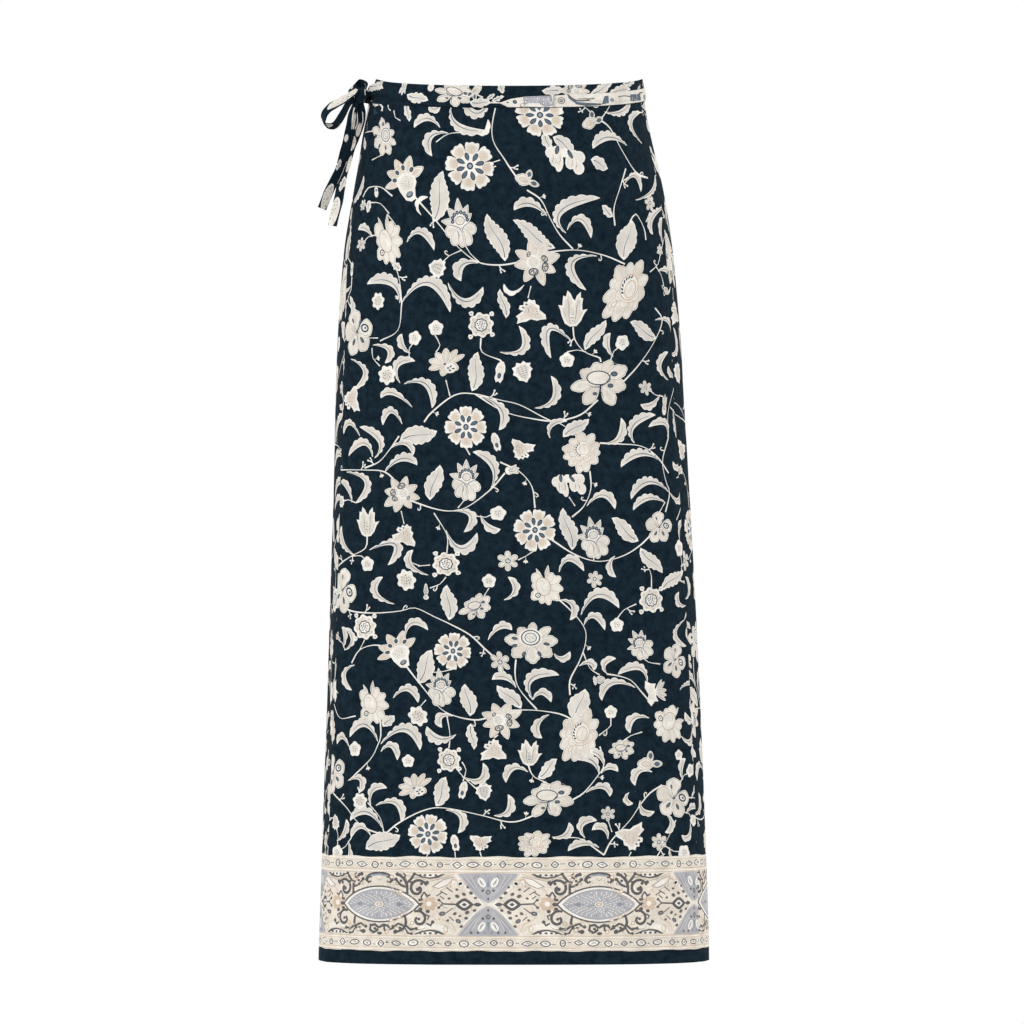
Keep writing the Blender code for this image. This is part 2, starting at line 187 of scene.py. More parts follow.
# ------------------------------------------------------- the skirt's outer face
class Face:
    """The outer face as a table: rows go down, columns go round.  way is
    -1 and 1 at the sides, 0 at the centre front, 2 at the centre back, 3 at
    the left side again and 4 at the centre front again."""

    DROPS = np.arange(-30.0, 911.0, 2.5)
    WAYS = np.linspace(-2.0, 4.0, 1201)
    COUNT = 1440

    def __init__(self):
        rows, knots, lap, seam = [], [], [], []
        turn = np.linspace(-1.5 * math.pi, 2.5 * math.pi, 2 * self.COUNT + 1)
        q = self.COUNT // 4
        for drop in self.DROPS:
            left, right = float(size_at("left", drop)), float(size_at("right", drop))
            front, back = float(size_at("front", drop)), float(size_at("back", drop))
            n = float(size_at("square", drop))
            mid, half = (left + right) / 2, (right - left) / 2
            depth = np.where(np.sin(turn) < 0, front, back)
            r = (np.abs(np.cos(turn) / half) ** n
                 + np.abs(np.sin(turn) / depth) ** n) ** (-1 / n)
            x, y = mid + r * np.cos(turn), r * np.sin(turn)
            along = np.concatenate([[0.0], np.cumsum(np.hypot(np.diff(x), np.diff(y)))])
            girth = along[self.COUNT]
            along = along - along[self.COUNT // 2]
            tx, ty = np.gradient(x), np.gradient(y)
            size = np.hypot(tx, ty)
            nx, ny = ty / size, -tx / size
            knot = [along[0], along[q], 0.0, along[3 * q], along[self.COUNT],
                    along[q] + girth, girth]
            at = np.interp(self.WAYS, [-2, -1, 0, 1, 2, 3, 4], knot)
            rows.append([np.interp(at, along, k) for k in (x, y, nx, ny)])
            knots.append(knot)
            lap.append(np.interp(mid - half + float(edge_at("overlap_in", drop)),
                                 x[q:2 * q + 1], along[q:2 * q + 1]))
            seam.append(np.interp(mid + half - float(edge_at("seam_in", drop)),
                                  x[2 * q:3 * q + 1], along[2 * q:3 * q + 1]))
        self.grid = np.array(rows).transpose(1, 0, 2)
        self.knots = np.array(knots)
        self.lap, self.seam = np.array(lap), np.array(seam)
        # how far the waist line dips, by way
        row = int(round((0.0 - self.DROPS[0]) / 2.5))
        y = self.grid[1, row]
        s = np.abs(y) / np.where(y < 0, size_at("front", 0.0), size_at("back", 0.0))
        s = (np.sqrt(s * s + 0.0144) - 0.12) / (math.sqrt(1.0144) - 0.12)
        self.dip_row = np.where(y < 0, FRONT_DIP, BACK_DIP) * np.maximum(s, 0.0)

    def at_drop(self, values, drop):
        return np.interp(drop, self.DROPS, values)

    def way(self, along, drop):
        out = np.full(np.shape(along), -2.0)
        for j in range(6):
            a, b = self.at_drop(self.knots[:, j], drop), self.at_drop(self.knots[:, j + 1], drop)
            out = out + np.clip((along - a) / (b - a), 0.0, 1.0)
        return out

    def dip(self, way):
        return np.interp(way, self.WAYS, self.dip_row)

    def point(self, way, drop):
        """x, y, nx, ny at the way and drop."""
        c = np.clip((way + 2.0) / 6.0 * (len(self.WAYS) - 1), 0, len(self.WAYS) - 1.001)
        r = np.clip((drop - self.DROPS[0]) / 2.5, 0, len(self.DROPS) - 1.001)
        i, j = r.astype(int), c.astype(int)
        fr, fc = r - i, c - j
        g = self.grid
        return ((g[:, i, j] * (1 - fc) + g[:, i, j + 1] * fc) * (1 - fr)
                + (g[:, i + 1, j] * (1 - fc) + g[:, i + 1, j + 1] * fc) * fr)

    def edge(self, name, drop):
        """Where a seam or edge runs, as along."""
        if name == "lap":
            return self.at_drop(self.lap, drop)
        if name == "left_seam":
            return self.at_drop(self.lap, drop) + OVERLAP
        if name == "seam":
            return self.at_drop(self.seam, drop)
        if name == "under_edge":
            return self.at_drop(self.seam, drop) - UNDER_SHORT
        if name == "left_side_again":
            return self.at_drop(self.knots[:, 5], drop)
        if name == "left_seam_again":
            return self.at_drop(self.lap + self.knots[:, 6], drop) + OVERLAP
        raise ValueError(name)


FACE = Face()


def seen(across, down):
    """The place on the front that lies across and down from the waist's middle
    as seen straight from the front, 9 m away: (along, drop)."""
    across, down = np.asarray(across, float), np.asarray(down, float)
    ways = np.linspace(-1.0, 1.0, 401)
    y = np.full(across.shape, -110.0)
    for _ in range(3):
        near = (9000.0 + y) / 9000.0
        x = across * near
        drop = 432.5 + (down - 432.5) * near
        way = np.empty_like(x)
        for k in range(x.size):
            row = FACE.point(ways, np.full(ways.shape, drop.flat[k]))[0]
            way.flat[k] = np.interp(x.flat[k], row, ways)
        y = FACE.point(way, drop)[1]
    along = np.where(way < 0, way * -FACE.at_drop(FACE.knots[:, 1], drop),
                     way * FACE.at_drop(FACE.knots[:, 3], drop))
    return along, drop




# -------------------------------------------------------- creases
# a soft ridge (height above 0) or trough (below 0) along a line from one place
# to another; bow bends the line sideways, width is the half-width
Crease = namedtuple("Crease", "along0 drop0 along1 drop1 bow width height")
CREASES = [
    # gathers that run from the knot into the front
    Crease(-163, 16, -118, 13, -2, 2.6, 0.9), Crease(-162, 20, -104, 27, 3, 3.2, -1.1),
    Crease(-162, 23, -108, 41, 2, 2.8, 1.2), Crease(-163, 26, -121, 52, -2, 2.4, -1.2),
    Crease(-164, 29, -131, 66, -3, 2.6, 1.1), Crease(-166, 31, -144, 74, -2, 2.4, -1.0),
    Crease(-168, 33, -154, 88, 2, 3.0, 0.9), Crease(-160, 22, -128, 33, 1, 1.8, 0.6),
    Crease(-161, 26, -133, 45, 0, 1.7, -0.7), Crease(-164, 32, -149, 60, 1, 1.8, 0.7),
    Crease(-170, 34, -166, 96, 3, 3.4, -0.8),
    # and round the side
    Crease(-183, 18, -222, 24, 3, 3.4, -0.9), Crease(-183, 24, -214, 44, -3, 3.0, 0.9),
    Crease(-182, 30, -203, 62, -2, 3.2, -0.8), Crease(-184, 14, -215, 10, -1, 2.6, 0.6),
    # long soft pulls from the left hip across the front
    Crease(-172, 58, -52, 168, 26, 9, 0.55), Crease(-168, 92, -20, 262, 34, 12, -0.50),
    Crease(-176, 130, -76, 330, 22, 11, 0.60), Crease(-150, 40, -30, 92, 14, 7, -0.40),
    # soft upright folds of the front, deeper towards the hem
    Crease(-150, 300, -158, 1010, 6, 15, 0.9), Crease(-112, 420, -104, 1010, -5, 17, -0.8),
    Crease(-58, 250, -66, 1010, 9, 21, 0.7), Crease(-12, 380, -2, 1010, -7, 18, -0.9),
    Crease(41, 210, 38, 1010, 8, 23, 0.8), Crease(88, 330, 97, 1010, -6, 17, -0.8),
    Crease(136, 230, 142, 1010, 7, 20, 0.9), Crease(176, 420, 180, 1010, -3, 12, -0.5),
    Crease(12, 60, 24, 250, 8, 12, 0.35), Crease(96, 50, 118, 220, 9, 12, -0.40),
    # the right side seam's own pull
    Crease(163, 30, 190, 240, -5, 5, -0.35), Crease(214, 150, 232, 1010, 8, 16, 0.9),
    # the back: folds that hang from the seat
    Crease(262, 170, 270, 1010, 12, 20, -1.2), Crease(304, 240, 318, 1010, -9, 22, 1.3),
    Crease(346, 200, 352, 1010, 10, 19, -1.1), Crease(392, 300, 402, 1010, -7, 23, 1.2),
    Crease(436, 190, 452, 1010, 11, 20, -1.3), Crease(478, 270, 498, 1010, 8, 21, 1.1),
    Crease(523, 210, 543, 1010, -10, 19, -1.0), Crease(566, 260, 588, 1010, 7, 20, 1.2),
    Crease(607, 200, 634, 1010, 9, 18, -1.1), Crease(650, 260, 684, 1010, -6, 19, 0.9),
    Crease(700, 240, 728, 1010, 7, 17, -0.9),
    Crease(330, 60, 420, 150, 16, 8, 0.40), Crease(520, 58, 452, 140, -14, 8, 0.45),
    Crease(560, 80, 470, 200, -20, 10, -0.45), Crease(250, 90, 330, 190, 18, 9, -0.45),
    # creases under the left side's overlap
    Crease(-206, 120, -224, 1010, -7, 15, -0.8), Crease(-192, 70, -199, 330, 4, 8, 0.5),
]
# seam darts of the back, from the waist seam down: (along at the waist, length)
Dart = namedtuple("Dart", "along0 along1 length")
DARTS = [Dart(312.0, 326.0, 112.0), Dart(410.0, 434.0, 112.0)]
# loose ripples that add to one another: (along length, drop length, turn, height)
Ripple = namedtuple("Ripple", "period slant phase height")
RIPPLES = [
    Ripple(61.0, 0.10, 0.7, 0.22), Ripple(38.0, -0.16, 2.1, 0.14),
    Ripple(23.0, 0.31, 4.4, 0.07), Ripple(97.0, 0.45, 1.3, 0.22),
    Ripple(149.0, -0.62, 5.2, 0.26), Ripple(17.0, -0.55, 3.3, 0.04),
]
PUCKERS = [Ripple(11.3, 0.0, 0.4, 0.16), Ripple(7.9, 0.0, 1.9, 0.10), Ripple(19.7, 0.0, 3.6, 0.12)]


def step(x, a, b):
    t = np.clip((x - a) / (b - a), 0.0, 1.0)
    return t * t * (3 - 2 * t)


def relief(along, drop):
    """Height of the cloth above the plain form, in mm.  The layers share it,
    so that they stay clear of one another."""
    girth = FACE.at_drop(FACE.knots[:, 6], drop)
    out = np.zeros(np.shape(along))
    for c in CREASES:
        da, dd = c.along1 - c.along0, c.drop1 - c.drop0
        size = math.hypot(da, dd)
        # the nearest turn round the skirt
        rel = along - (c.along0 + c.along1) / 2
        rel = rel - girth * np.round(rel / girth) - (c.along0 - c.along1) / 2
        near = np.abs(rel - da / 2) < abs(da) / 2 + 6 * c.width + abs(c.bow) + 5
        if not near.any():
            continue
        t = (rel * da + (drop - c.drop0) * dd) / size ** 2
        side = (rel * dd - (drop - c.drop0) * da) / size - c.bow * 4 * t * (1 - t)
        fade = step(t, -0.02, 0.22) * (1 - step(t, 0.62, 1.02))
        out += c.height * fade * np.exp(-0.5 * (side / c.width) ** 2)
    body = 0.35 + 0.65 * step(drop, 60, 420)
    for r in RIPPLES:
        turns = max(round(960.0 / r.period), 1)
        out += r.height * body * np.sin(2 * math.pi * turns * along / girth
                                        + drop * r.slant / r.period * 2 + r.phase)
    # puckers where the panels are gathered a little into the waistband
    wave = np.zeros(np.shape(along))
    for r in PUCKERS:
        turns = round(960.0 / r.period)
        wave += r.height * np.sin(2 * math.pi * turns * along / girth + r.phase
                                  + 0.9 * np.sin(along / 23.0))
    # how far below the waist seam, near enough
    below = drop - BAND_HEIGHT - FACE.dip(FACE.way(along, drop))
    out += wave * step(below, -3.0, 1.5) * (1 - step(below, 2.0, 26.0))
    for d in DARTS:
        t = (drop - BAND_HEIGHT) / d.length
        line = d.along0 + (d.along1 - d.along0) * t
        out -= 0.7 * np.exp(-0.5 * ((along - line) / 1.1) ** 2) * (1 - step(t, 0.75, 1.0)) * step(t, -0.02, 0.03)
    # the hem's edge swings in and out a little
    out += 0.7 * step(drop, 700, 880) * np.sin(2 * math.pi * 9 * along / girth + 1.1 + np.sin(along / 61.0))
    return out


# ------------------------------------------------------------------ the inks
def ink(r, g, b):
    return tuple((c / 255 / 12.92) if c / 255 <= 0.04045 else ((c / 255 + 0.055) / 1.055) ** 2.4
                 for c in (r, g, b))


INKS = {
    "navy": ink(14, 28, 37), "white": ink(240, 236, 228), "cream": ink(231, 225, 215),
    "sand": ink(224, 215, 203), "tan": ink(217, 202, 185), "stone": ink(219, 213, 204),
    "ash": ink(206, 201, 193), "line": ink(154, 146, 136), "rust": ink(202, 177, 152),
    "slate": ink(93, 108, 120), "haze": ink(152, 161, 169), "dark": ink(46, 60, 72),
    "ground": ink(232, 222, 208), "fleck": ink(212, 192, 170), "blue": ink(180, 179, 184),
    "deep": ink(144, 149, 163), "ink": ink(98, 96, 96), "pearl": ink(243, 238, 229), "brown": ink(178, 158, 138),
    "navy_back": ink(45, 60, 72), "pale_back": ink(166, 166, 162), "band_back": ink(196, 189, 179),
}
INK_LIST = list(INKS)
INK_NO = {name: i for i, name in enumerate(INK_LIST)}


# ------------------------------------------------------------- drawing in 2-D
def grow(pts, d):
    """The outline moved out by d."""
    e = np.roll(pts, -1, axis=0) - pts
    size = np.maximum(np.hypot(e[:, 0], e[:, 1]), 1e-9)
    n = np.column_stack([e[:, 1], -e[:, 0]]) / size[:, None]
    if np.sum(pts[:, 0] * np.roll(pts[:, 1], -1) - np.roll(pts[:, 0], -1) * pts[:, 1]) < 0:
        n = -n
    m = n + np.roll(n, 1, axis=0)
    m /= np.maximum(np.hypot(m[:, 0], m[:, 1]), 0.55)[:, None]
    return pts + m * d


def curve(points, gap=4.0):
    """A smooth line through the points, with a point about every gap."""
    p = np.asarray(points, float)
    if len(p) < 3:
        n = max(int(np.hypot(*(p[-1] - p[0])) / gap), 1) + 1
        return p[0] + (p[-1] - p[0]) * np.linspace(0, 1, n)[:, None]
    full = np.vstack([2 * p[0] - p[1], p, 2 * p[-1] - p[-2]])
    out = []
    for a, b, c, d in zip(full, full[1:], full[2:], full[3:]):
        n = max(int(np.hypot(*(c - b)) / gap), 1)
        for t in np.arange(n) / n:
            out.append(0.5 * (2 * b + (c - a) * t + (2 * a - 5 * b + 4 * c - d) * t * t
                              + (3 * b - a - 3 * c + d) * t ** 3))
    return np.vstack([out, p[-1:]])


def ribbon_outline(line, left, right):
    """The outline of a band along a line; left and right are its half-widths."""
    t = np.gradient(line, axis=0)
    t /= np.maximum(np.hypot(t[:, 0], t[:, 1]), 1e-9)[:, None]
    n = np.column_stack([-t[:, 1], t[:, 0]])
    return np.vstack([line + n * np.reshape(left, (-1, 1)),
                      (line - n * np.reshape(right, (-1, 1)))[::-1]])


def petal_outline(angle, r0, r1, width, tip=0.0, widest=0.6, n=6, lobes=0):
    """A petal from r0 to r1; angle is clockwise from up, in degrees."""
    s = (0.5 - 0.5 * np.cos(np.linspace(0, math.pi, n + 2)))[1:-1]
    rise = np.sin(math.pi / 2 * np.clip(s / widest, 0, 1)) ** 0.9
    k = np.clip((s - widest) / (1 - widest), 0, 1)
    fall = (1 - tip) * np.sqrt(1 - k * k) + tip * (1 - k ** 1.25)
    w = np.where(s < widest, rise, fall) * width / 2
    y = r0 + (r1 - r0) * s
    pts = np.vstack([[[0, r0]], np.column_stack([-w, y]), [[0, r1]],
                     np.column_stack([w, y])[::-1]])
    if lobes:
        mid = np.array([0, r0 + (r1 - r0) * widest])
        rel = pts - mid
        turn = np.arctan2(rel[:, 0], rel[:, 1])
        edge = np.clip(1.25 - np.abs(turn) / 1.7, 0, 1)
        pts = mid + rel * (1 + 0.26 * edge * (np.abs(np.cos(turn * lobes)) ** 0.6 - 0.72))[:, None]
    a = math.radians(angle)
    c, s = math.cos(a), math.sin(a)
    return np.column_stack([pts[:, 0] * c + pts[:, 1] * s, -pts[:, 0] * s + pts[:, 1] * c])


def crosses_itself(pts):
    p, q = pts, np.roll(pts, -1, axis=0)
    d = q - p
    dx, dy = d[:, :1], d[:, 1:]
    c1 = dx * (p[:, 1][None] - p[:, 1:]) - dy * (p[:, 0][None] - p[:, :1])
    c2 = dx * (q[:, 1][None] - p[:, 1:]) - dy * (q[:, 0][None] - p[:, :1])
    s = c1 * c2 < 0
    hit = s & s.T
    i = np.arange(len(p))
    hit[i, i] = hit[i, (i + 1) % len(p)] = hit[(i + 1) % len(p), i] = False
    return hit.any()


def simple_parts(pts):
    """An outline as outlines that don't cross themselves: a band that does is
    halved until they don't."""
    if len(pts) < 3:
        return []
    if len(pts) == 3 or not crosses_itself(pts):
        return [pts]
    n = len(pts) // 2
    if len(pts) % 2 or n < 3:
        return []
    left, right, m = pts[:n], pts[n:][::-1], n // 2
    return (simple_parts(np.vstack([left[:m + 1], right[:m + 1][::-1]]))
            + simple_parts(np.vstack([left[m:], right[m:][::-1]])))


class Cloth:
    """The printed pattern: a pile of shapes, later ones lie on top."""

    def __init__(self):
        self.shapes = []

    def add(self, pts, name, base=False):
        for part in simple_parts(np.asarray(pts, float)):
            self.shapes.append((part, INK_NO[name], base))


class Pen:
    """Draws a motif in its own units: x right, y up, 1 is half its size."""

    def __init__(self, cloth, along, drop, wide, high=None, turn=0.0, flip=1):
        self.cloth = cloth
        self.origin = np.array([along, drop])
        self.sx, self.sy = wide / 2, (high or wide) / 2
        self.flip = flip
        self.c, self.s = math.cos(math.radians(turn)), math.sin(math.radians(turn))
        self.rng = np.random.default_rng(int(abs(along) * 7 + drop * 13) + 5)

    @property
    def mean(self):
        return (self.sx + self.sy) / 2

    def world(self, pts):
        p = np.atleast_2d(np.asarray(pts, float))
        x, y = p[:, 0] * self.sx * self.flip, p[:, 1] * self.sy
        return self.origin + np.column_stack([x * self.c + y * self.s,
                                              x * self.s - y * self.c])

    def lay(self, pts, name, base=False, out=0.0):
        w = self.world(pts)
        if out:
            w = grow(w, out)
        self.cloth.add(w, name, base)

    def oval(self, x, y, rx, ry, name, turn=0.0, n=10, base=False, out=0.0):
        t = np.linspace(0, 2 * math.pi, n, endpoint=False)
        c, s = math.cos(math.radians(turn)), math.sin(math.radians(turn))
        px, py = rx * np.cos(t), ry * np.sin(t)
        self.lay(np.column_stack([x + c * px + s * py, y - s * px + c * py]), name, base, out)

    def lobed(self, x, y, r, lobes, depth, name, base=False, out=0.0, turn=0.0, n=3):
        t = np.linspace(0, 2 * math.pi, lobes * n, endpoint=False)
        q = r * (1 + depth * (np.abs(np.cos(lobes * t / 2)) - 0.5) * 2 * 0.5)
        t = t + math.radians(turn)
        self.lay(np.column_stack([x + q * np.cos(t), y + q * np.sin(t)]), name, base, out)

    def line(self, pts, width, name, taper=0.35, base=False, gap=None):
        w = curve(self.world(pts), gap or max(self.mean * 0.28, 1.2))
        k = np.linspace(-1, 1, len(w))
        half = width / 2 * (1 - (1 - taper) * np.abs(k) ** 2.2)
        self.cloth.add(ribbon_outline(w, half, half), name, base)

    def dots(self, x, y, rx, ry, count, size, name, turn=0.0):
        """Dots in an even scatter over an oval; size in mm."""
        k = np.arange(count) + 0.5
        r, a = np.sqrt(k / count), k * 2.39996
        c, s = math.cos(math.radians(turn)), math.sin(math.radians(turn))
        px, py = rx * r * np.cos(a), ry * r * np.sin(a)
        at = self.world(np.column_stack([x + c * px + s * py, y - s * px + c * py]))
        d = size / 2
        for j, p in enumerate(at):
            q = d * (0.8 + 0.4 * ((j * 7) % 5) / 4)
            self.cloth.add(p + np.array([[q, 0], [0, q], [-q, 0], [0, -q]]), name)

    def petals(self, table, fills=("cream",), tone=None, rim=0.75, line="line",
               tip=0.0, widest=0.6, lobes=0, n=6, veins=0, jitter=0.05):
        """Petals in a pile: rim, thin line, fill, then a tone inside."""
        for k, row in enumerate(table):
            angle, r0, r1, width = row[:4]
            r1 = r1 * (1 + jitter * (self.rng.random() - 0.5) * 2)
            width = width * (1 + jitter * (self.rng.random() - 0.5) * 2)
            angle = angle + (self.rng.random() - 0.5) * 5
            o = petal_outline(angle, r0, r1, width, tip, widest, n, lobes)
            self.lay(o, "white", base=True)
            w = self.world(o)
            size = np.sqrt(abs(np.sum(w[:, 0] * np.roll(w[:, 1], -1)
                                      - np.roll(w[:, 0], -1) * w[:, 1])) / 2)
            if size < 3.2:
                continue
            inner = grow(w, -rim)
            self.cloth.add(inner, line)
            self.cloth.add(grow(w, -rim - 0.46), fills[k % len(fills)])
            if tone and size > 5:
                t = petal_outline(angle, r0 + (r1 - r0) * 0.28, r0 + (r1 - r0) * 0.80,
                                  width * 0.42, 0.2, 0.62, 4)
                self.lay(t, tone)
            if veins and size > 5:
                for side in np.linspace(-0.24, 0.24, veins):
                    a = math.radians(angle)
                    ends = [(side * width * 0.5, r0 + (r1 - r0) * 0.30),
                            (side * width * 1.25, r0 + (r1 - r0) * 0.74)]
                    pts = [(x * math.cos(a) + y * math.sin(a), -x * math.sin(a) + y * math.cos(a))
                           for x, y in ends]
                    self.line(pts, 0.5, line, gap=99)


def ring(count, r0, r1, width, start=0.0):
    return [(start + 360 / count * k, r0, r1, width) for k in range(count)]


# ------------------------------------------------------------------ the motifs
def frilled(gaps, r, depth, teeth, count=144, turn=0.0):
    """A round flower's outline: notches between its petals, teeth on them."""
    t = np.linspace(0, 2 * math.pi, count, endpoint=False)
    gap = np.abs(np.sin(gaps * t / 2))
    q = r * (1 - depth * (1 - gap) ** 5) * (0.935 + 0.065 * np.abs(np.sin(gaps * teeth * t / 2)) ** 0.8)
    q = q * (1 + 0.02 * np.sin(3 * t + 1) + 0.015 * np.sin(5 * t))
    t = t + math.radians(turn)
    return np.column_stack([q * np.sin(t), q * np.cos(t)])


def rosette(p):
    p.lay(frilled(8, 1.0, 0.34, 3, 152, 22.5), "white", base=True)
    for k in range(8):
        wide = 0.50 + 0.06 * (p.rng.random() - 0.5)
        a = 45 * k + 5 * (p.rng.random() - 0.5)
        p.lay(petal_outline(a, 0.36, 0.88, wide, 0.0, 0.66, 6), "sand")
        p.lay(petal_outline(a, 0.42, 0.83, 0.32, 0.45, 0.70, 6), "tan")
        p.line([(0.60 * math.sin(math.radians(a)), 0.60 * math.cos(math.radians(a))),
                (0.78 * math.sin(math.radians(a + 4)), 0.78 * math.cos(math.radians(a + 4)))],
               0.5, "brown", gap=99)
    p.oval(0, 0, 0.50, 0.50, "white", n=16)
    for k in range(8):
        a = 45 * k + 22.5 + 6 * (p.rng.random() - 0.5)
        far = 0.59 + 0.06 * (p.rng.random() - 0.5)
        p.lay(petal_outline(a, 0.21, far, 0.20, 0.15, 0.55, 5), "dark")
        p.lay(petal_outline(a, 0.255, far - 0.045, 0.125, 0.15, 0.55, 4), "slate")
    p.oval(0, 0, 0.135, 0.15, "dark", n=9)
    p.oval(0, 0, 0.08, 0.09, "haze", n=6)


def lotus(p):
    p.sx, p.sy = p.sx * 1.08, p.sy * 1.08
    p.petals([(-88, 0.0, 1.06, 0.36), (74, 0.0, 1.00, 0.42), (-52, 0.02, 0.94, 0.42),
              (32, 0.05, 1.02, 0.44), (-12, 0.05, 0.98, 0.44)],
             ("sand", "cream"), tip=0.5, widest=0.60, tone="tan", line="brown", jitter=0.03)
    p.lay([(-0.44, 0.00), (-0.26, 0.22), (0.02, 0.28), (0.30, 0.20), (0.48, 0.00), (0.47, -0.24),
           (0.34, -0.44), (0.24, -0.86), (0.04, -0.92), (-0.18, -0.80), (-0.36, -0.40)], "white", base=True)
    p.lay([(-0.34, -0.02), (-0.20, 0.12), (0.02, 0.18), (0.24, 0.11), (0.38, -0.03), (0.37, -0.22),
           (0.24, -0.38), (0.02, -0.44), (-0.24, -0.36)], "cream")
    p.dots(0.02, -0.12, 0.31, 0.24, 22, 1.05, "line")
    p.dots(0.02, -0.10, 0.22, 0.16, 7, 0.9, "slate")
    for a, r in ((-74, 0.50), (-34, 0.47), (8, 0.50), (54, 0.52)):
        x, y = r * math.sin(math.radians(a)), r * math.cos(math.radians(a))
        p.oval(x, y, 0.120, 0.145, "white", a, 9)
        p.oval(x, y, 0.090, 0.115, "dark", a, 9)
        p.oval(x, y, 0.048, 0.066, "slate", a, 6)
    p.oval(0.03, -0.62, 0.165, 0.125, "dark", -12, 9)
    p.oval(0.03, -0.60, 0.120, 0.080, "haze", -12, 8)
    p.dots(0.03, -0.60, 0.08, 0.05, 4, 0.8, "slate")


def crown(p):
    p.sx, p.sy = p.sx * 1.08, p.sy * 1.08
    p.petals([(116, 0.05, 0.88, 0.54), (-116, 0.05, 0.84, 0.58)], ("cream",), tone="sand")
    p.petals([(156, 0.05, 1.0, 0.56), (-152, 0.05, 0.98, 0.56), (182, 0.0, 0.98, 0.46)],
             ("cream",), tone=None, veins=1, widest=0.66, lobes=1, n=8)
    p.petals([(-74, 0.02, 0.94, 0.38), (62, 0.02, 0.74, 0.40), (-34, 0.05, 0.96, 0.40),
              (36, 0.05, 0.94, 0.40), (0, 0.05, 1.05, 0.42)],
             ("stone",), tip=0.8, widest=0.5)
    p.oval(0.02, 0.20, 0.42, 0.36, "white", n=14)
    for a in np.linspace(-98, 98, 8):
        x, y = 0.02 + 0.36 * math.sin(math.radians(a)), 0.18 + 0.31 * math.cos(math.radians(a))
        p.oval(x, y, 0.088, 0.092, "dark", a, 7)
        p.oval(x, y, 0.045, 0.048, "haze", a, 4)
    p.oval(0.02, 0.14, 0.24, 0.20, "line", n=10)
    p.oval(0.02, 0.14, 0.20, 0.16, "cream", n=10)
    p.dots(0.02, 0.14, 0.15, 0.11, 7, 0.9, "line")
    p.line([(-0.46, -0.02), (-0.24, -0.06), (-0.04, -0.16), (0.04, -0.36)], 0.85, "slate")
    p.line([(0.46, 0.04), (0.28, -0.06), (0.14, -0.14), (0.04, -0.36)], 0.85, "slate")
    p.line([(-0.20, -0.22), (-0.10, -0.46), (-0.16, -0.60)], 0.7, "slate")
    p.line([(0.04, -0.36), (0.06, -0.62), (0.02, -0.80)], 0.55, "line")


def peony(p):
    p.petals([(-96, 0.1, 0.90, 0.52), (-62, 0.1, 0.98, 0.54), (-28, 0.1, 0.94, 0.50),
              (8, 0.1, 1.06, 0.50), (44, 0.1, 1.02, 0.46), (80, 0.1, 0.84, 0.50)],
             ("cream", "sand"), widest=0.68, n=9, line="brown", lobes=2, veins=1)
    p.petals([(118, 0.0, 0.80, 0.58), (150, 0.0, 0.98, 0.54), (-128, 0.0, 1.0, 0.56),
              (-158, 0.0, 1.20, 0.50), (182, 0.0, 1.10, 0.52)],
             ("cream",), widest=0.64, n=9, line="brown", tone="sand", lobes=2, veins=1)
    p.petals([(-92, -0.05, 0.66, 0.46), (92, -0.05, 0.62, 0.46), (168, 0.0, 0.66, 0.44),
              (-140, 0.0, 0.62, 0.44)], ("cream",), rim=0.5, line="brown", widest=0.62)
    p.oval(0.0, 0.10, 0.42, 0.44, "rust", n=16)
    p.oval(0.0, 0.10, 0.385, 0.405, "white", n=16)
    p.oval(0.08, 0.06, 0.26, 0.31, "rust", n=12)
    p.oval(0.08, 0.06, 0.225, 0.275, "cream", n=12)
    for a in np.linspace(-142, -16, 7):
        x, y = 0.01 + 0.315 * math.sin(math.radians(a)), 0.10 + 0.345 * math.cos(math.radians(a))
        p.oval(x, y, 0.036, 0.070, "dark", a + 46, 5)
    p.line([(0.02, 0.26), (0.10, 0.10), (0.05, -0.14)], 0.6, "fleck")
    p.line([(-0.34, -0.34), (-0.06, -0.44), (0.26, -0.36), (0.50, -0.20)], 0.7, "rust")
    p.lay(petal_outline(206, 0.52, 0.84, 0.16, 0.2, 0.55, 5), "rust")
    p.lay(petal_outline(206, 0.56, 0.81, 0.10, 0.2, 0.55, 4), "white")


def budpeony(p):
    p.petals([(-22, 0.36, 1.06, 0.22), (16, 0.34, 1.10, 0.26)], ("stone",), tip=0.9, widest=0.5)
    p.line([(0.10, 0.52), (0.24, 0.92)], 0.6, "line", gap=99)
    p.petals([(-128, 0.05, 0.96, 0.56), (-160, 0.05, 0.98, 0.50), (172, 0.05, 1.02, 0.46),
              (142, 0.05, 1.0, 0.50), (106, 0.05, 0.96, 0.46), (70, 0.05, 0.96, 0.46),
              (38, 0.05, 0.84, 0.48), (-44, 0.02, 0.94, 0.62), (-84, 0.02, 0.72, 0.48)],
             ("cream",), widest=0.68, line="brown", n=8, lobes=2, veins=1)
    p.oval(-0.10, -0.02, 0.40, 0.50, "brown", -16, 16)
    p.oval(-0.10, -0.02, 0.365, 0.465, "cream", -16, 16)
    p.lay(petal_outline(-14, -0.30, 0.34, 0.26, 0.3, 0.5, 6), "white")
    p.line([(-0.30, 0.28), (-0.12, 0.30), (-0.02, 0.16), (-0.10, 0.06)], 0.9, "rust")
    p.line([(0.30, 0.20), (0.34, -0.04), (0.22, -0.28)], 0.6, "fleck")
    p.oval(-0.44, -0.44, 0.155, 0.135, "dark", n=10)
    p.oval(-0.44, -0.44, 0.105, 0.092, "white", n=9)
    p.oval(-0.44, -0.44, 0.045, 0.040, "slate", n=5)


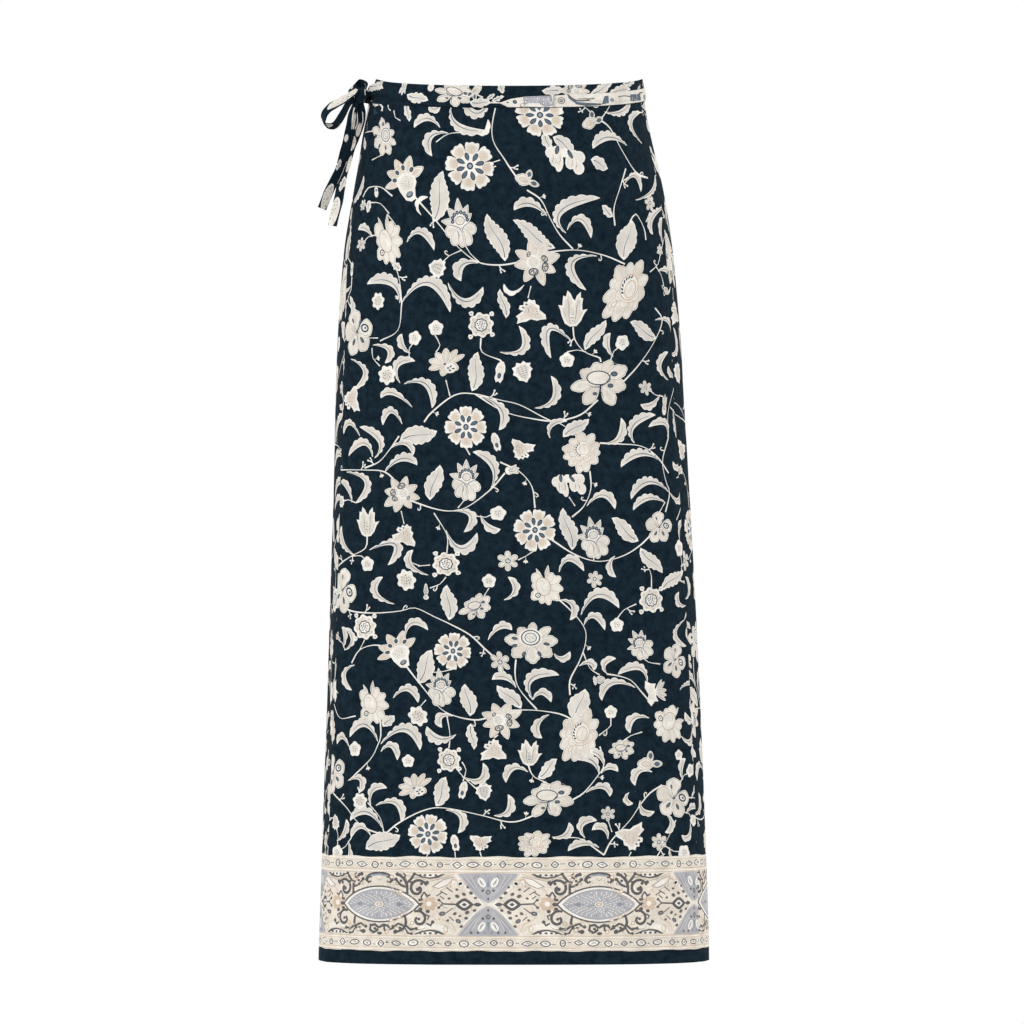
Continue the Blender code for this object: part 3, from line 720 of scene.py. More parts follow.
def five(p):
    for k, (a, w) in enumerate(((-8, 0.88), (-76, 0.80), (-148, 0.74), (148, 0.76), (82, 0.80))):
        p.petals([(a, 0.05, (0.98, 0.98, 1.04, 1.02, 1.0)[k], w)], ("cream", "sand")[k % 2:k % 2 + 1],
                 tone="sand" if k % 2 == 0 else "stone", widest=0.68, lobes=2, n=9, line="line", jitter=0.03)
    for a, r, w in ((-22, 0.56, 0.7), (36, 0.46, 0.85), (146, 0.46, 1.0), (-144, 0.46, 1.0)):
        p.lay(petal_outline(a, r - 0.17 * w, r + 0.19 * w, 0.17 * w, 0.1, 0.5, 5), "dark")
        p.lay(petal_outline(a, r - 0.125 * w, r + 0.145 * w, 0.10 * w, 0.1, 0.5, 4), "slate")
    x, y = 0.52, 0.08
    p.oval(x, y, 0.25, 0.19, "dark", 20, 12)
    p.oval(x, y, 0.165, 0.12, "white", 20, 9)
    p.oval(x + 0.03, y, 0.075, 0.065, "slate", 20, 6)
    p.line([(-0.46, 0.26), (-0.20, 0.06), (0.0, -0.04)], 0.75, "line")
    p.line([(-0.24, 0.50), (-0.12, 0.20), (0.04, 0.02)], 0.75, "line")
    p.line([(0.02, -0.06), (-0.02, -0.30), (-0.12, -0.52)], 0.7, "line")


def camellia(p):
    p.petals([(-90, 0.1, 1.06, 0.46), (-48, 0.1, 0.84, 0.50), (-6, 0.1, 0.78, 0.50),
              (34, 0.1, 0.92, 0.46), (72, 0.1, 1.00, 0.58), (118, 0.1, 0.98, 0.58),
              (168, 0.1, 0.98, 0.50), (-138, 0.1, 1.00, 0.50)],
             ("cream", "sand"), widest=0.66, n=9, lobes=2, line="line", tone="sand", jitter=0.09)
    p.oval(-0.06, 0.14, 0.44, 0.29, "dark", 16, 16)
    p.oval(-0.06, 0.14, 0.395, 0.25, "cream", 16, 16)
    for k in range(7):
        x = -0.36 + k * 0.10
        p.line([(x, 0.02 + k * 0.012), (x + 0.10, 0.18 + k * 0.012)], 0.75, "rust", gap=99)
    p.line([(-0.46, -0.02), (-0.34, -0.16), (-0.10, -0.22), (0.14, -0.14), (0.34, 0.06), (0.42, 0.24)],
           0.95, "slate")
    p.line([(-0.10, -0.22), (-0.08, -0.40), (-0.02, -0.66)], 0.85, "slate")
    for x, y, w in ((0.52, 0.16, 1.0), (0.30, -0.26, 0.85), (-0.30, -0.44, 0.65)):
        p.oval(x, y, 0.13 * w, 0.105 * w, "dark", 20, 9)
        p.oval(x, y, 0.095 * w, 0.07 * w, "slate", 20, 8)
    p.line([(0.06, -0.44), (0.18, -0.60)], 0.7, "rust", gap=99)
    p.line([(0.44, 0.50), (0.62, 0.58), (0.74, 0.50)], 0.6, "line")


def ringflower(p):
    p.petals([(-92, 0.1, 1.0, 0.50), (-140, 0.1, 1.0, 0.52), (170, 0.1, 0.98, 0.56),
              (124, 0.1, 1.0, 0.52), (86, 0.1, 1.0, 0.50), (-44, 0.1, 0.72, 0.42), (46, 0.1, 0.94, 0.36),
              (4, 0.1, 0.78, 0.36)],
             ("cream", "sand"), tone="sand", widest=0.68, lobes=2, n=9, line="line", jitter=0.02)
    for a, r in ((-112, 0.66), (-84, 0.62), (146, 0.62), (-158, 0.62), (98, 0.60)):
        p.lay(petal_outline(a, r - 0.13, r + 0.13, 0.15, 0.1, 0.5, 4), "dark")
        p.lay(petal_outline(a, r - 0.09, r + 0.09, 0.09, 0.1, 0.5, 4), "slate")
    p.oval(-0.02, 0.14, 0.44, 0.40, "white", n=16, base=True)
    p.oval(-0.02, 0.14, 0.37, 0.34, "dark", n=16)
    p.oval(-0.02, 0.14, 0.325, 0.295, "white", n=16)
    p.oval(-0.02, 0.14, 0.24, 0.22, "slate", n=12)
    p.oval(-0.02, 0.14, 0.205, 0.185, "cream", n=12)
    p.dots(-0.02, 0.14, 0.14, 0.13, 7, 1.1, "slate")


def dense(p):
    for a, r in ((-40, 1.14), (44, 1.18), (130, 1.12), (222, 1.20)):
        x, y = math.sin(math.radians(a)), math.cos(math.radians(a))
        p.line([(0.7 * x, 0.7 * y), ((r - 0.08) * x, (r - 0.08) * y)], 1.5, "white", base=True, gap=99)
        p.lobed(r * x, r * y, 0.18, 3, 0.3, "white", base=True, n=3, turn=-a)
        p.oval(r * x, r * y, 0.08, 0.06, "line", n=4)
    p.lobed(0, 0, 0.88, 8, 0.24, "white", base=True, n=5, turn=10)
    p.lobed(0, 0, 0.75, 8, 0.20, "sand", n=4, turn=10)
    for k in range(8):
        a = math.radians(45 * k + 12)
        p.oval(0.70 * math.cos(a), 0.70 * math.sin(a), 0.10, 0.035, "line", -45 * k - 12, 4)
    p.lobed(0, 0, 0.50, 9, 0.14, "dark", n=2)
    p.lobed(0, 0, 0.42, 9, 0.14, "white", n=2)
    for k in range(12):
        r, a = math.sqrt((k + 0.5) / 12) * 0.33, k * 2.39996
        p.oval(r * math.cos(a), r * math.sin(a), 0.095, 0.055, ("dark", "slate", "line")[k % 3], k * 57.0, 4)


def tulip(p):
    p.lay([(-0.14, -0.98), (-0.50, -0.82), (-0.74, -0.40), (-0.84, -0.10), (-1.0, 0.16), (-0.72, 0.14),
           (-0.72, 0.40), (-0.70, 0.70), (-0.52, 0.64), (-0.44, 1.0), (-0.22, 0.84), (-0.06, 0.58),
           (0.10, 0.46), (0.20, 0.74), (0.46, 0.98), (0.48, 0.66), (0.64, 0.62), (0.60, 0.26),
           (0.64, -0.02), (0.98, 0.06), (0.76, -0.22), (0.58, -0.62), (0.30, -0.92)], "white", base=True)
    p.lay([(-0.12, -0.86), (-0.42, -0.72), (-0.62, -0.38), (-0.74, 0.02), (-0.60, 0.04), (-0.60, 0.44),
           (-0.46, 0.50), (-0.40, 0.80), (-0.24, 0.64), (-0.08, 0.42), (0.12, 0.32), (0.26, 0.58),
           (0.37, 0.76), (0.38, 0.52), (0.51, 0.46), (0.48, 0.10), (0.55, -0.12), (0.74, -0.04),
           (0.60, -0.26), (0.45, -0.60), (0.24, -0.80)], "stone")
    p.lay(petal_outline(0, -0.78, 0.40, 0.56, 0.7, 0.45, 6), "cream")
    for side, x in ((-1, -0.40), (1, 0.36)):
        p.line([(x, 0.52), (x * 0.66, 0.10), (x * 0.60, -0.40), (x * 0.30, -0.80)], 0.8, "line")
        p.line([(side * 0.62, 0.02), (side * 0.50, -0.36), (side * 0.24, -0.78)], 0.7, "fleck")
    p.dots(-0.02, -0.26, 0.13, 0.38, 13, 1.15, "slate")


def carnation(p):
    p.lay([(-1.0, 0.62), (-0.62, 0.66), (-0.40, 0.74), (0.02, 0.62), (0.30, 0.80), (0.62, 0.86), (0.94, 0.98),
           (0.86, 0.60), (1.0, 0.40), (0.72, 0.18), (0.58, 0.02), (0.80, -0.16), (0.74, -0.42),
           (0.50, -0.44), (0.46, -0.72), (0.26, -0.66), (0.14, -0.92), (-0.06, -0.80), (-0.26, -0.84),
           (-0.32, -0.54), (-0.56, -0.40), (-0.56, -0.08), (-0.76, 0.10), (-0.96, 0.28)],
          "white", base=True)
    p.lay([(-0.84, 0.52), (-0.40, 0.60), (0.02, 0.50), (0.34, 0.64), (0.74, 0.76), (0.70, 0.50),
           (0.76, 0.40), (0.52, 0.18), (0.40, -0.04), (0.50, -0.24), (0.22, -0.46), (0.02, -0.66),
           (-0.18, -0.56), (-0.34, -0.30), (-0.42, -0.02), (-0.64, 0.20)], "sand")
    p.dots(0.0, 0.06, 0.56, 0.44, 30, 1.25, "rust")
    p.dots(-0.05, 0.02, 0.46, 0.36, 13, 0.95, "slate")
    for x, y in ((0.52, -0.26), (0.30, -0.50), (0.60, 0.0)):
        p.oval(x, y, 0.085, 0.075, "dark", n=6)
        p.oval(x, y, 0.04, 0.035, "haze", n=4)


def fuzzy(p):
    p.lobed(0, 0, 0.96, 7, 0.34, "white", base=True, n=5, turn=12)
    p.lobed(0.02, -0.02, 0.62, 7, 0.26, "sand", n=3, turn=12)
    for k in range(13):
        r, a = math.sqrt((k + 0.5) / 13) * 0.56, k * 2.39996
        p.oval(r * math.cos(a), r * math.sin(a), 0.12, 0.05, ("slate", "dark", "line", "slate")[k % 4],
               k * 47.0, 4)


def round_bud(p):
    p.lobed(0, 0, 0.98, 5, 0.26, "white", base=True, n=5, turn=20)
    p.oval(0, 0.02, 0.60, 0.56, "cream", n=10)
    for k in range(7):
        r, a = math.sqrt((k + 0.4) / 7) * 0.46, k * 2.39996 + 0.6
        p.oval(r * math.cos(a), r * math.sin(a), 0.16, 0.06, ("slate", "line", "slate", "haze")[k % 4],
               k * 51.0 + 20, 4)


def bud(p):
    p.lay([(-0.30, -0.98), (0.0, -0.84), (0.34, -0.98), (0.62, -0.60), (0.56, -0.20), (0.70, 0.16),
           (0.56, 0.62), (0.24, 0.96), (-0.20, 0.98), (-0.56, 0.66), (-0.72, 0.20), (-0.52, -0.22),
           (-0.60, -0.62)], "white", base=True)
    p.lay([(-0.26, -0.70), (0.26, -0.70), (0.38, -0.30), (0.46, 0.16), (0.34, 0.56), (-0.06, 0.78),
           (-0.38, 0.54), (-0.48, 0.16), (-0.34, -0.30)], "cream")
    p.oval(0.0, -0.34, 0.27, 0.27, "dark", n=9)
    p.oval(0.0, -0.34, 0.17, 0.18, "slate", n=7)
    p.line([(-0.26, 0.36), (0.0, 0.48), (0.24, 0.34)], 0.8, "fleck")


def hatched(p):
    p.lay([(0.0, 1.02), (-0.22, 0.78), (-0.48, 0.62), (-0.60, 0.20), (-0.84, 0.02), (-0.70, -0.30),
           (-0.86, -0.56), (-0.52, -0.66), (-0.34, -0.94), (-0.06, -0.78), (0.26, -0.98), (0.42, -0.70),
           (0.76, -0.66), (0.70, -0.30), (0.86, -0.04), (0.62, 0.22), (0.52, 0.62), (0.24, 0.76)],
          "white", base=True)
    p.lay([(0.0, 0.78), (-0.30, 0.50), (-0.44, 0.10), (-0.58, -0.20), (-0.44, -0.52), (0.0, -0.64),
           (0.46, -0.52), (0.58, -0.20), (0.44, 0.10), (0.32, 0.50)], "stone")
    for k in range(6):
        y = -0.48 + k * 0.20
        half = 0.44 * math.cos((k - 1.4) * 0.36)
        for x in (-0.7, 0.0, 0.7):
            p.line([((x - 0.22) * half, y - 0.03), (x * half, y + 0.05), ((x + 0.22) * half, y - 0.03)],
                   0.75, "slate" if (k + int(x * 2)) % 3 else "line", gap=99)


def lily(p):
    p.petals([(-92, 0.0, 1.06, 0.54), (94, 0.0, 0.92, 0.48), (-48, 0.0, 0.94, 0.48),
              (48, 0.0, 0.98, 0.46), (-2, 0.0, 1.04, 0.46), (176, 0.0, 0.96, 0.46),
              (-136, 0.0, 0.98, 0.54), (134, 0.0, 1.00, 0.46)],
             ("cream", "sand"), tip=0.5, tone="sand", line="brown", jitter=0.04, widest=0.56)
    p.oval(0.10, -0.02, 0.30, 0.32, "white", n=12)
    p.oval(0.12, -0.04, 0.22, 0.24, "cream", n=10)
    p.dots(0.12, -0.04, 0.19, 0.21, 14, 1.0, "line")
    for a, r, w in ((-48, 0.44, 1.0), (30, 0.42, 1.1), (-96, 0.40, 0.85), (150, 0.44, 0.6)):
        x, y = r * math.sin(math.radians(a)), r * math.cos(math.radians(a))
        p.oval(x, y, 0.150 * w, 0.205 * w, "dark", a + 70, 10)
        p.oval(x, y, 0.105 * w, 0.155 * w, "stone", a + 70, 8)
        for k, lean in ((-0.09, 24), (-0.01, -20), (0.07, 30)):
            q = (x + k * w * math.cos(math.radians(a)), y - k * w * math.sin(math.radians(a)))
            p.oval(q[0], q[1], 0.024 * w, 0.12 * w, "dark", a + lean, 4)


def fan(p):
    """A flower seen from the side: broad ragged petals spread from low down."""
    p.petals([(-86, 0.0, 0.98, 0.44), (84, 0.0, 1.04, 0.40), (140, 0.0, 0.74, 0.56), (-150, 0.0, 0.70, 0.50)],
             ("sand",), tip=0.4, veins=1, line="brown", lobes=1, n=7)
    p.petals([(-54, -0.1, 1.00, 0.50), (52, -0.1, 1.00, 0.46), (-20, -0.1, 0.94, 0.46), (16, -0.1, 0.92, 0.46)],
             ("cream", "sand"), tip=0.15, veins=2, line="brown", lobes=2, n=8)
    p.lobed(0.14, -0.34, 0.30, 5, 0.2, "white", n=3)
    for x, y, turn in ((0.04, -0.28, 20), (0.20, -0.24, -30), (0.28, -0.42, 10), (0.08, -0.46, 60)):
        p.oval(x, y, 0.085, 0.05, "dark", turn, 5)
    p.oval(-0.06, 0.02, 0.09, 0.075, "slate", n=6)


def twolobed(p):
    lobes = ((-0.70, 0.38, 0.28, 0.42, 0), (-0.44, 0.16, 0.34, 0.78, 0), (-0.26, -0.30, 0.20, 0.62, 0),
             (0.36, 0.10, 0.34, 0.72, 8), (0.66, 0.34, 0.32, 0.46, 0), (0.70, -0.44, 0.28, 0.46, 0),
             (-0.04, 0.52, 0.22, 0.34, 0))
    for x, y, rx, ry, turn in lobes:
        p.oval(x, y, rx, ry, "white", turn, 12, True)
    for x, y, rx, ry, turn in lobes[:6]:
        p.oval(x, y, rx - 0.075, ry - 0.11, "cream", turn, 10)
    for x, y0, y1 in ((-0.60, 0.30, -0.40), (-0.26, 0.30, -0.44), (0.34, 0.10, -0.40), (0.56, 0.0, -0.52)):
        p.line([(x, y0), (x + 0.04, (y0 + y1) / 2), (x - 0.02, y1)], 0.7, "line", gap=4)
    for x, y, turn in ((-0.42, 0.62, 4), (0.22, 0.46, -24)):
        p.oval(x, y, 0.105, 0.32, "dark", turn, 9)
        p.oval(x, y - 0.03, 0.06, 0.25, "slate", turn, 8)
    p.dots(-0.40, -0.20, 0.08, 0.24, 4, 1.0, "line")


def rosebud(p):
    p.petals([(150, -0.1, 0.98, 0.56), (64, -0.05, 0.96, 0.54)], ("cream",), tip=0.3, tone=None)
    p.petals([(-30, -0.4, 0.98, 0.96)], ("cream",), tip=0.15, lobes=2, n=9, widest=0.55)
    p.lay(petal_outline(-30, -0.16, 0.66, 0.46, 0.2, 0.5, 6), "rust")
    p.lay(petal_outline(-30, -0.09, 0.59, 0.36, 0.2, 0.5, 6), "sand")
    p.dots(-0.12, 0.16, 0.14, 0.26, 8, 1.0, "line")
    for a, r0, r1 in ((64, 0.34, 0.78), (150, 0.30, 0.80)):
        p.lay(petal_outline(a, r0, r1, 0.30, 0.1, 0.5, 6), "dark")
        p.lay(petal_outline(a, r0 + 0.05, r1 - 0.05, 0.20, 0.1, 0.5, 5), "slate")


def tulipbud(p):
    p.petals([(-26, -0.8, 0.92, 0.56), (26, -0.8, 0.92, 0.56), (0, -0.85, 1.04, 0.60)],
             ("stone", "cream"), tip=0.7, widest=0.5)
    p.dots(0, -0.10, 0.20, 0.34, 7, 1.0, "slate")
    p.oval(0, -0.74, 0.30, 0.24, "white", n=8, base=True)


def small(p):
    p.petals(ring(6, 0.05, 1.0, 0.56, 0), ("cream", "sand"), widest=0.66, n=5, jitter=0.08)
    p.oval(0, 0, 0.34, 0.34, "stone", n=9)
    for k in range(5):
        a = math.radians(72 * k + 10)
        p.oval(0.20 * math.cos(a), 0.20 * math.sin(a), 0.13, 0.07, ("slate", "dark")[k % 2], 80 - 72 * k, 5)


def acorn(p):
    p.petals([(0, -0.6, 1.0, 0.90)], ("stone",), tip=0.35, widest=0.45, lobes=2, n=8)
    p.dots(0, 0.10, 0.30, 0.55, 14, 1.0, "slate")
    p.oval(0, -0.66, 0.52, 0.30, "white", n=9, base=True)
    p.oval(0, -0.62, 0.36, 0.16, "ash", n=8)


def thistle(p):
    for a, r in ((-36, 0.96), (36, 0.92), (-20, 1.04), (20, 1.02), (0, 1.08)):
        p.petals([(a, -0.6, r, 0.30)], ("stone",), tip=0.5, widest=0.66)
    for a in (-30, -18, -6, 8, 22, 34):
        b = math.radians(a)
        p.line([(0.2 * math.sin(b), -0.40 + 0.6 * math.cos(b)),
                (0.85 * math.sin(b), -0.65 + 1.40 * math.cos(b))], 0.7, "slate" if a % 4 else "line", gap=99)
    p.lay([(-0.44, 0.10), (-0.50, -0.36), (-0.72, -0.80), (-0.34, -0.96), (0.02, -0.74), (0.36, -0.98),
           (0.66, -0.70), (0.46, -0.30), (0.50, 0.04), (0.20, -0.10), (-0.06, 0.06), (-0.24, -0.08)],
          "white", base=True)
    p.lay([(-0.30, -0.20), (-0.44, -0.66), (-0.10, -0.62), (0.30, -0.76), (0.30, -0.24), (0.0, -0.16)], "cream")


MOTIFS = {
    "rosette": rosette, "lotus": lotus, "crown": crown, "peony": peony, "budpeony": budpeony,
    "five": five, "camellia": camellia, "ringflower": ringflower, "dense": dense,
    "tulip": tulip, "carnation": carnation, "fuzzy": fuzzy, "round": round_bud, "bud": bud,
    "hatched": hatched, "lily": lily, "twolobed": twolobed, "rosebud": rosebud,
    "tulipbud": tulipbud, "small": small, "fan": fan, "acorn": acorn, "thistle": thistle,
}


def scallops(t, count, depth):
    """Rounded teeth along an edge, smaller towards its ends."""
    return depth * (np.abs(np.sin(math.pi * count * t)) ** 0.7 - 0.55) * np.sin(math.pi * t) ** 0.5


def straight_leaf(cloth, base, tip, width, bend=0.10):
    base, tip = np.asarray(base, float), np.asarray(tip, float)
    d = tip - base
    size = math.hypot(*d)
    side = np.array([-d[1], d[0]]) / size
    n = int(size / 1.2) + 8
    t = np.linspace(0, 1, n)
    mid = base + d * t[:, None] + side * (bend * size * np.sin(math.pi * t) * np.cos(2.6 * t))[:, None]
    w = width / 2 * np.sin(math.pi * t ** 0.92) ** 0.85
    teeth = max(int(size / 6.2), 3)
    left, right = (w + scallops(q, teeth, 1.75) for q in (t, 1 - t ** 1.1))
    left, right = (np.where((t < 0.015) | (t > 0.985), 0.25, np.maximum(q, 0.25)) for q in (left, right))
    cloth.add(ribbon_outline(mid, left, right), "white", base=True)
    k = slice(3, -3)
    cloth.add(ribbon_outline(mid[k], np.maximum(left[k] - 0.95, 0.1), np.maximum(right[k] - 0.95, 0.1)), "stone")
    m = slice(3, max(int(n * 0.86), 6))
    rib = np.linspace(1.0, 0.35, len(mid[m]))
    cloth.add(ribbon_outline(mid[m], 0.95 * rib + 0.2, 0.95 * rib + 0.2), "cream")
    cloth.add(ribbon_outline(mid[m], 0.50 * rib, 0.50 * rib), "slate")


def curled_leaf(cloth, base, bend, tip, width):
    """A slender crescent: its outer side has rounded teeth, the inner is smooth."""
    base, bend, tip = (np.asarray(q, float) for q in (base, bend, tip))
    ctrl = 2 * bend - (base + tip) / 2
    size = np.hypot(*(bend - base)) + np.hypot(*(tip - bend))
    n = int(size / 1.15) + 8
    t = np.linspace(0, 1, n)
    mid = ((1 - t) ** 2)[:, None] * base + (2 * t * (1 - t))[:, None] * ctrl + (t ** 2)[:, None] * tip
    outer = np.sign((tip - base)[0] * (bend - base)[1] - (tip - base)[1] * (bend - base)[0]) or 1
    # it swells past the middle and comes to a point
    w = 0.96 * width * np.sin(math.pi * t ** 1.62) ** 0.80
    teeth = max(int(size / 6.3), 3)
    big = 0.66 * w + scallops(t, teeth, 2.2) * np.clip(width / 9, 0.5, 1.15) + 0.45
    thin = 0.14 * w + 0.35
    big, thin = (np.where((t < 0.015) | (t > 0.985), 0.28, np.maximum(q, 0.28)) for q in (big, thin))
    a, b = (big, thin) if outer > 0 else (thin, big)
    cloth.add(ribbon_outline(mid, a, b), "white", base=True)
    if width < 6.0 or size < 13:
        return
    k = slice(3, -3)
    o, i = np.maximum(big[k] - 0.85, 0.12), np.maximum(thin[k] - 0.75, 0.12)
    a2, b2 = (o, i) if outer > 0 else (i, o)
    cloth.add(ribbon_outline(mid[k], a2, b2), "stone")
    # the rib runs near the inner side
    m = slice(2, max(int(n * 0.88), 6))
    at, half = 0.15 * w[m], 0.20 + 0.24 * np.sin(math.pi * np.linspace(0.1, 1, len(mid[m])))
    a3, b3 = (at + half, half - at) if outer > 0 else (half - at, at + half)
    cloth.add(ribbon_outline(mid[m], a3, b3), "line" if width < 10 else "slate")


def vine(cloth, points, width=1.9):
    line = curve(points, 4.0)
    half = width / 2 * (0.74 + 0.26 * np.cos(np.linspace(0, 2 * math.pi, len(line))))
    cloth.add(ribbon_outline(line, half, half), "white", base=True)


def sprig(cloth, at, turn, size=1.0, kind=0):
    """A little forked shoot on a vine."""
    p = Pen(cloth, at[0], at[1], 9 * size, 9 * size, turn)
    if kind == 0:
        p.line([(0, -1.0), (0.05, -0.1), (-0.35, 0.75)], 1.15, "white", base=True, taper=0.8)
        p.line([(0.02, -0.3), (0.38, 0.12), (0.42, 0.62)], 1.05, "white", base=True, taper=0.8)
        p.oval(-0.38, 0.82, 0.24, 0.27, "white", n=7, base=True)
        p.oval(0.44, 0.66, 0.22, 0.25, "white", n=7, base=True)
    elif kind == 1:
        for a in (-52, 0, 52):
            p.lay(petal_outline(a, -0.3, 0.72, 0.42, 0.3, 0.6, 4), "white", base=True)
        p.line([(0, -1.0), (0, -0.1)], 1.1, "white", base=True, gap=99)
        p.oval(0, 0.02, 0.13, 0.13, "line", n=5)
    elif kind == 2:
        p.line([(0, -1.0), (0.10, -0.1), (0.5, 0.35), (0.85, 0.1), (0.65, -0.25)], 1.1, "white",
               base=True, taper=0.7)
    else:
        p.line([(0, -1.0), (-0.10, 0.0), (0.10, 0.95)], 1.1, "white", base=True, taper=0.8)
        p.lay(petal_outline(-70, 0.0, 0.70, 0.36, 0.3, 0.6, 4), "white", base=True)
        p.lay(petal_outline(62, 0.2, 0.86, 0.34, 0.3, 0.6, 4), "white", base=True)
        p.oval(0.10, 0.92, 0.20, 0.20, "white", n=6, base=True)


# --------------------------------------------------------- the border's motifs
BORDER_TOP, BAND_TOP, BAND_MID, BAND_END, BORDER_END = 773.3, 789.2, 820.3, 850.8, 866.3
REPEAT = 219.4


def lens(half_wide, half_high, n=7, sharp=1.0):
    x = np.linspace(-1, 1, n)
    y = (1 - x * x) ** sharp
    return np.vstack([np.column_stack([x * half_wide, y * half_high]),
                      np.column_stack([x * half_wide, -y * half_high])[::-1][1:-1]])


def spiral(x, y, r0, r1, a0, a1, n=9):
    a, r = np.radians(np.linspace(a0, a1, n)), np.linspace(r0, r1, n)
    return [(x + q * math.sin(t), y + q * math.cos(t)) for q, t in zip(r, a)]


def wavy(u0, u1, v, height, width, name, cloth, seed, base=False):
    """A thin line along the border that wavers a little."""
    u = np.arange(u0, u1 + 9.0, 9.0)
    y = v + height * (np.sin(u * 0.11 + seed) + 0.6 * np.sin(u * 0.043 + 2.1 * seed))
    w = width * (1 + 0.35 * np.sin(u * 0.19 + 3 * seed)) / 2
    cloth.add(ribbon_outline(np.column_stack([u, y]), w, w), name, base)


def lozenge(half_wide, half_high):
    """A diamond with swelling sides."""
    q = [(-1, 0), (-0.62, 0.52), (-0.28, 0.86), (0, 1), (0.28, 0.86), (0.62, 0.52)]
    pts = q + [(-x, -y) for x, y in q]
    return [(x * half_wide, y * half_high) for x, y in pts]


def hourglass(p):
    """The border's middle figure; drawn once for both sides."""
    for up in (1, -1):
        edge = [(-30.0, 30.6), (-22.5, 21.5), (-15.5, 13.0), (-8.0, 5.8), (-1.2, 1.6), (1.2, 1.6),
                (8.0, 5.8), (15.5, 13.0), (22.5, 21.5), (30.0, 30.6), (15, 30.9), (0, 31.0), (-15, 30.9)]
        p.lay([(x, y * up) for x, y in edge], "blue", base=True)
        for k, d in enumerate((1.3, 3.0, 4.7, 6.4)):
            for side in (-1, 1):
                p.line([(side * (28.6 - d * 1.7), 29.0 * up), (side * (17.0 - d * 0.8), 17.2 * up),
                        (side * (5.5 - d * 0.25), (6.6 + d * 0.35) * up)], 0.55,
                       "deep" if k % 2 == 0 else "ground", gap=8)
        # two leaning drops, each with a stroke along it
        for side in (-1, 1):
            p.oval(side * 6.4, 21.8 * up, 4.1, 6.3, "deep", side * up * 34, 12)
            p.oval(side * 6.4, 21.8 * up, 3.5, 5.7, "pearl", side * up * 34, 12)
            p.line([(side * 4.6, 18.8 * up), (side * 6.9, 21.6 * up), (side * 8.6, 25.0 * up)], 1.5, "deep", gap=3)
            p.line([(side * 8.4, 18.2 * up), (side * 10.2, 20.8 * up)], 1.1, "ink", gap=9)
        p.lay([(x, y + 12.2 * up) for x, y in lozenge(2.6, 2.7)], "ink")
        p.lay([(x, y + 12.2 * up) for x, y in lozenge(1.4, 1.4)], "blue")
        p.oval(0, 5.6 * up, 1.1, 1.6, "ink", n=5)
        p.lay([(-1.5, 17.2 * up), (0, 28.6 * up), (1.5, 17.2 * up)], "deep")
        for side in (-1, 1):
            p.oval(side * 5.4, 13.8 * up, 1.7, 1.3, "ink", side * up * 40, 5)
        if up > 0:
            for x in (-14, -10.5, -2.6, 2.6, 10.5, 14):
                p.line([(x, 25.2), (x * 0.86, 29.2)], 1.2, "ink" if abs(x) > 3 else "deep", gap=9)
        else:
            for x in (-17, -10, -3.4, 3.4, 10, 17):
                p.lay([(x - 1.5, -28.8), (x, -25.4), (x + 1.5, -28.8)], "ink" if abs(x) > 4 else "deep")


